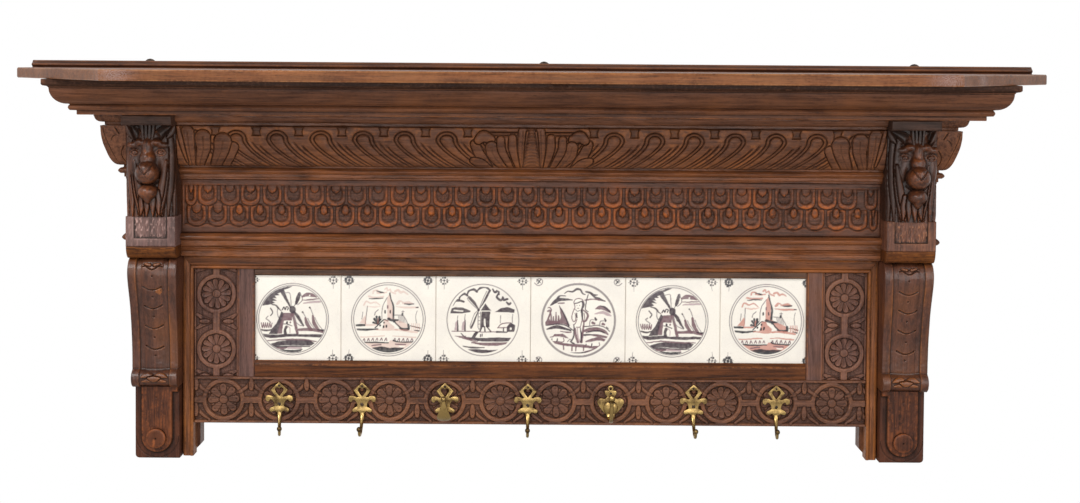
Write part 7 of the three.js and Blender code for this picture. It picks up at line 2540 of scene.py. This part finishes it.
@dataclass
class ScrollBracket:
    """The bracket under a console: a long scroll with thin cut crescents over a carved roll."""

    band: float = 10.8
    gutter: float = 7.2
    roll: float = 12.7
    roll_depth: float = 68.0
    neck: float = 72.0
    belly: float = 91.0
    crescents: tuple[float, ...] = (235.2, 209.3, 181.6, 152.9)
    nails: tuple[float, ...] = (252.3, 223.6, 195.9, 167.2, 142.2)
    curl: float = 263.9
    swelling: tuple[tuple[float, float], ...] = ((0.0, 0.0), (0.1, 0.02), (0.28, 0.14), (0.55, 0.55),
                                                 (0.8, 0.97), (0.9, 0.98), (0.97, 0.72), (1, 0.4))

    def side_view(self, room: Room) -> np.ndarray:
        """The bracket's line from its foot to its top, as depth and height."""
        turn = np.radians(np.linspace(-88, 62, 16))
        middle = room.foot + self.roll
        curl = [(self.roll_depth + self.roll * math.cos(a), middle + self.roll * math.sin(a)) for a in turn]
        swell, tall = self.belly - self.neck, room.top - room.foot - 27.5
        rise = [(self.neck + swell * s, room.foot + 27.5 + tall * t) for t, s in self.swelling]
        return smooth_path([*curl, (self.neck - 0.6, room.foot + 25.6), *rise], 5)

    def carve(self, relief: Relief, at: dict[str, np.ndarray], sign: int) -> None:
        """Carves the bands, the gutters, the crescents with their nail holes, and the roll's leaf.

        Args:
            relief: The face, with across and the length along the line as its two ways.
            at: The line's heights and lengths, to find a length from a height.
            sign: -1 on the left, 1 on the right.
        """
        def length(height: float) -> float:
            """The length along the line at a height."""
            return float(np.interp(height, at["height"], at["length"]))

        rng = np.random.default_rng(SEED + 355 + sign)
        half, wide = (relief.right - relief.left) / 2, 11.6
        bed = half - self.band
        lip = bed - self.gutter
        side = np.abs(relief.x)
        sink = -2.4 * (1 - ease(bed - 0.9, bed + 0.5, side))
        crown = 1.7 * dome(side / (lip + 0.8))
        relief.out = sink + crown
        relief.dirt = np.maximum(0.9 * (1 - ease(0, 0.9, np.abs(side - bed + 0.3))),
                                 0.35 * (1 - ease(0, 0.8, np.abs(side - lip - 0.8))))
        for height in self.crescents:
            low, tilt = length(height), rng.uniform(-0.8, 0.8)
            x = np.linspace(-wide, wide, 7) + rng.uniform(-0.8, 0.8)
            lift = low + 2.0 - 4.2 * np.cos(x / wide * math.pi / 2) + tilt * x / wide
            knots = list(zip(x.tolist(), lift.tolist()))
            relief.cut(knots, [0.75, 0.45, 0.45, 0.75], 1.9)
            for end in (knots[0], knots[-1]):
                if rng.uniform() < 0.5:
                    relief.pit(*end, 0.9, 1.2)
        low = length(self.curl)
        curl = [(-12.5, low + 2.0), (-8.5, low + 2.6), (-4.2, low - 0.6), (0, low - 2.6)]
        relief.cut(curl + [(-x, y) for x, y in curl[-2::-1]], 0.5, 2.2)
        for way in (-1, 1):
            bud = [(way * 3.5, low + 4.2), (way * 9.0, low + 5.6)]
            relief.blade(bud, [2.4, 1.4], -0.9, 1.6, 0.6, bend=False)
        for height in self.nails:
            relief.pit(rng.uniform(-0.8, 0.8), length(height), 1.1, 2.2)
        if sign < 0:
            scar = ((relief.x - 8.5) / 4.6) ** 2 + ((relief.y - length(232.0)) / 5.0) ** 2
            ragged = scar + 0.35 * drift(relief.x.shape, (70, 20), 359)
            relief.glow = np.maximum(relief.glow, 1.0 * (ragged < 0.9))
        foot, crest = length(101.0), length(123.8)
        rolled = (relief.y < crest + 1.2).astype(float)
        relief.out = relief.out * (1 - rolled) + rolled * (-1.9 * (1 - ease(bed - 0.5, bed + 0.5, side)))
        relief.dirt = np.maximum(relief.dirt, 1 - ease(0.0, 1.6, np.abs(relief.y - crest - 1.2)))
        leaf = (foot + crest) / 2
        for way in (-1, 1):
            upper = [(0, leaf + 1), (way * 9, leaf + 4.5), (way * 17.5, leaf + 1.5)]
            relief.blade(upper, [3.4, 4.2, 1.2], -0.6, 1.8, 0.9)
            lower = [(0, leaf - 2), (way * 8, leaf - 3.5), (way * 16, leaf - 4.5)]
            relief.blade(lower, [2.6, 3.0, 1.2], -0.9, 1.5, 0.9)
        relief.blade([(-8, leaf + 0.5), (0, leaf - 1.0), (8, leaf + 0.5)], [1.2, 4.2, 1.2], -0.1, 1.6, 0.9)
        relief.pit(0.6, leaf - 8.0, 0.7, 1.2)

    def build(self, side: str) -> bpy.types.Object:
        """Builds the bracket on one side."""
        node = f"scroll_bracket_{side}"
        room = Room.of(node)
        line = self.side_view(room)
        steps = np.hypot(*np.diff(line, axis=0).T)
        length = np.concatenate([[0.0], np.cumsum(steps)])
        half = room.width / 2
        relief = Relief(-half, half, 0.0, length[-1], 0.6, 0.0, 0.45, 0.6)
        self.carve(relief, {"height": line[:, 1], "length": length}, SIDES[side])
        relief.tooled(350 + SIDES[side], 0.2)
        wear_and_highlight, grime_and_shade = relief.marks()
        depth, height = (np.interp(relief.y, length, line[:, i]) for i in (0, 1))
        slope = [np.gradient(way[:, 0])[:, None] for way in (depth, height)]
        size = np.hypot(*slope)
        out = relief.out - 1.0 * np.clip(1 - (half - np.abs(relief.x)) / 1.2, 0, 1) ** 2
        flare = 1.9 * ease(200.0, 262.0, height) * np.abs(relief.x) / half
        across = relief.x + np.sign(relief.x) * flare
        deep = depth + out * slope[1] / size
        high = np.clip(height - out * slope[0] / size, room.foot, room.top)
        skin = place(room.middle + across, deep, high)
        back = place(room.middle + across, np.full(across.shape, room.back), high)
        shell = Shell()
        shell.carved(skin, back, (wear_and_highlight, grime_and_shade))
        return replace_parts(shell.object(f"carved_scroll_{side}", SCROLL, 65.0), node)


# The studio


@dataclass
class Studio:
    """The camera where the photographer stood, soft lamps, and a pale floor."""

    width: int = 1080
    focal: float = 1548.9
    stand: tuple[float, float, float] = (7.5, 2151.0, 542.0)
    tilt: float = 2.0
    yaw: float = 0.11
    roll: float = 0.412
    centre: tuple[float, float] = (0.5, -135.3)
    lamps: tuple[tuple, ...] = (
        ("key", (-1.5, -2.2, 1.7), (0, -0.1, 0), (1.6, 1.2), 52),
        ("fill", (1.7, -2.4, 0.9), (0, -0.1, 0), (1.6, 1.6), 24),
        ("front", (0.0, -2.9, 0.1), (0, 0, -0.05), (2.4, 1.2), 22),
    )

    def camera(self) -> None:
        """Places the camera by its stand, its angles and its lens, all found from the photograph."""
        data = bpy.data.cameras.new("camera")
        data.sensor_width = 36.0
        data.lens = self.focal / self.width * data.sensor_width
        data.shift_x = -self.centre[0] / self.width
        data.shift_y = self.centre[1] / self.width
        camera = bpy.data.objects.new("camera", data)
        turn = (Matrix.Rotation(-math.radians(self.yaw), 4, "Z")
                @ Matrix.Rotation(math.radians(90 - self.tilt), 4, "X")
                @ Matrix.Rotation(math.radians(self.roll), 4, "Z"))
        at = place(*[np.float64(value) for value in self.stand])
        camera.matrix_world = Matrix.Translation([float(value) for value in at]) @ turn
        bpy.context.scene.collection.objects.link(camera)
        bpy.context.scene.camera = camera

    def lamp(self, name: str, where: tuple, aim: tuple, size: tuple, power: float) -> None:
        """Hangs a soft rectangular lamp.

        Args:
            name: Name of the lamp.
            where: Its place, in metres.
            aim: The point that it faces, in metres.
            size: Width and height, in metres.
            power: Its power in watts.
        """
        data = bpy.data.lights.new(name, "AREA")
        data.shape = "RECTANGLE"
        data.size, data.size_y = size
        data.energy = power
        lamp = bpy.data.objects.new(name, data)
        turn = (Vector(aim) - Vector(where)).to_track_quat("-Z", "Y").to_matrix().to_4x4()
        lamp.matrix_world = Matrix.Translation(where) @ turn
        bpy.context.scene.collection.objects.link(lamp)

    def world(self) -> None:
        """A white surround for the camera and for reflections, and a softer one that lights."""
        world = bpy.data.worlds.new("surround")
        world.use_nodes = True
        tree = Tree(world.node_tree)
        rays = tree.add("ShaderNodeLightPath").outputs
        seen = tree.math("MAXIMUM", rays["Is Camera Ray"], rays["Is Transmission Ray"])
        seen = tree.math("MAXIMUM", seen, rays["Is Glossy Ray"])
        strength = tree.math("MULTIPLY_ADD", seen, 0.58, 0.42)
        sky = tree.add("ShaderNodeBackground", {"Color": (1, 1, 1, 1), "Strength": strength})
        tree.add("ShaderNodeOutputWorld", {"Surface": sky.outputs[0]})
        bpy.context.scene.world = world

    def floor(self) -> None:
        """A pale floor under the rack, which the camera's frame ends above."""
        left, right, near, far, level = -3.0, 3.0, -3.2, 0.8, -0.6
        finish = Plain("pale floor", "carved_oak", rgb(206, 206, 204), rgb(212, 212, 210), 0.6)
        mesh = bpy.data.meshes.new("floor")
        corners = [(left, near, level), (right, near, level), (right, far, level), (left, far, level)]
        mesh.from_pydata(corners, [], [(0, 1, 2, 3)])
        mesh.materials.append(finish.material())
        floor = bpy.data.objects.new("floor", mesh)
        bpy.context.scene.collection.objects.link(floor)

    def build(self) -> None:
        """Sets up the camera, the lamps, the surround and the floor."""
        self.camera()
        self.world()
        self.floor()
        for lamp in self.lamps:
            self.lamp(*lamp)
        bpy.context.scene.view_settings.view_transform = "Standard"


def main() -> None:
    """Builds the sub-assemblies in order."""
    logging.basicConfig(level=logging.INFO, format="%(name)s %(message)s")
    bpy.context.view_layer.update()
    for part in (Studio, Shelf, Cornice, Frieze, ScalePanel, Rosettes, TileFrame, Tiles):
        part().build()
    for number in range(1, 8):
        Hook(number).build()
    for side in SIDES:
        for part in (LowerBlock, ScrollBracket, Console):
            part().build(side)
        dress(f"stile_board_{side}", CARVED_UP)
        dress(f"case_side_{side}", CARVED_UP)
    for node in ("backboard", "case_lower_rail", "frieze_board"):
        dress(node, CARVED)


if __name__ == "__main__":
    main()
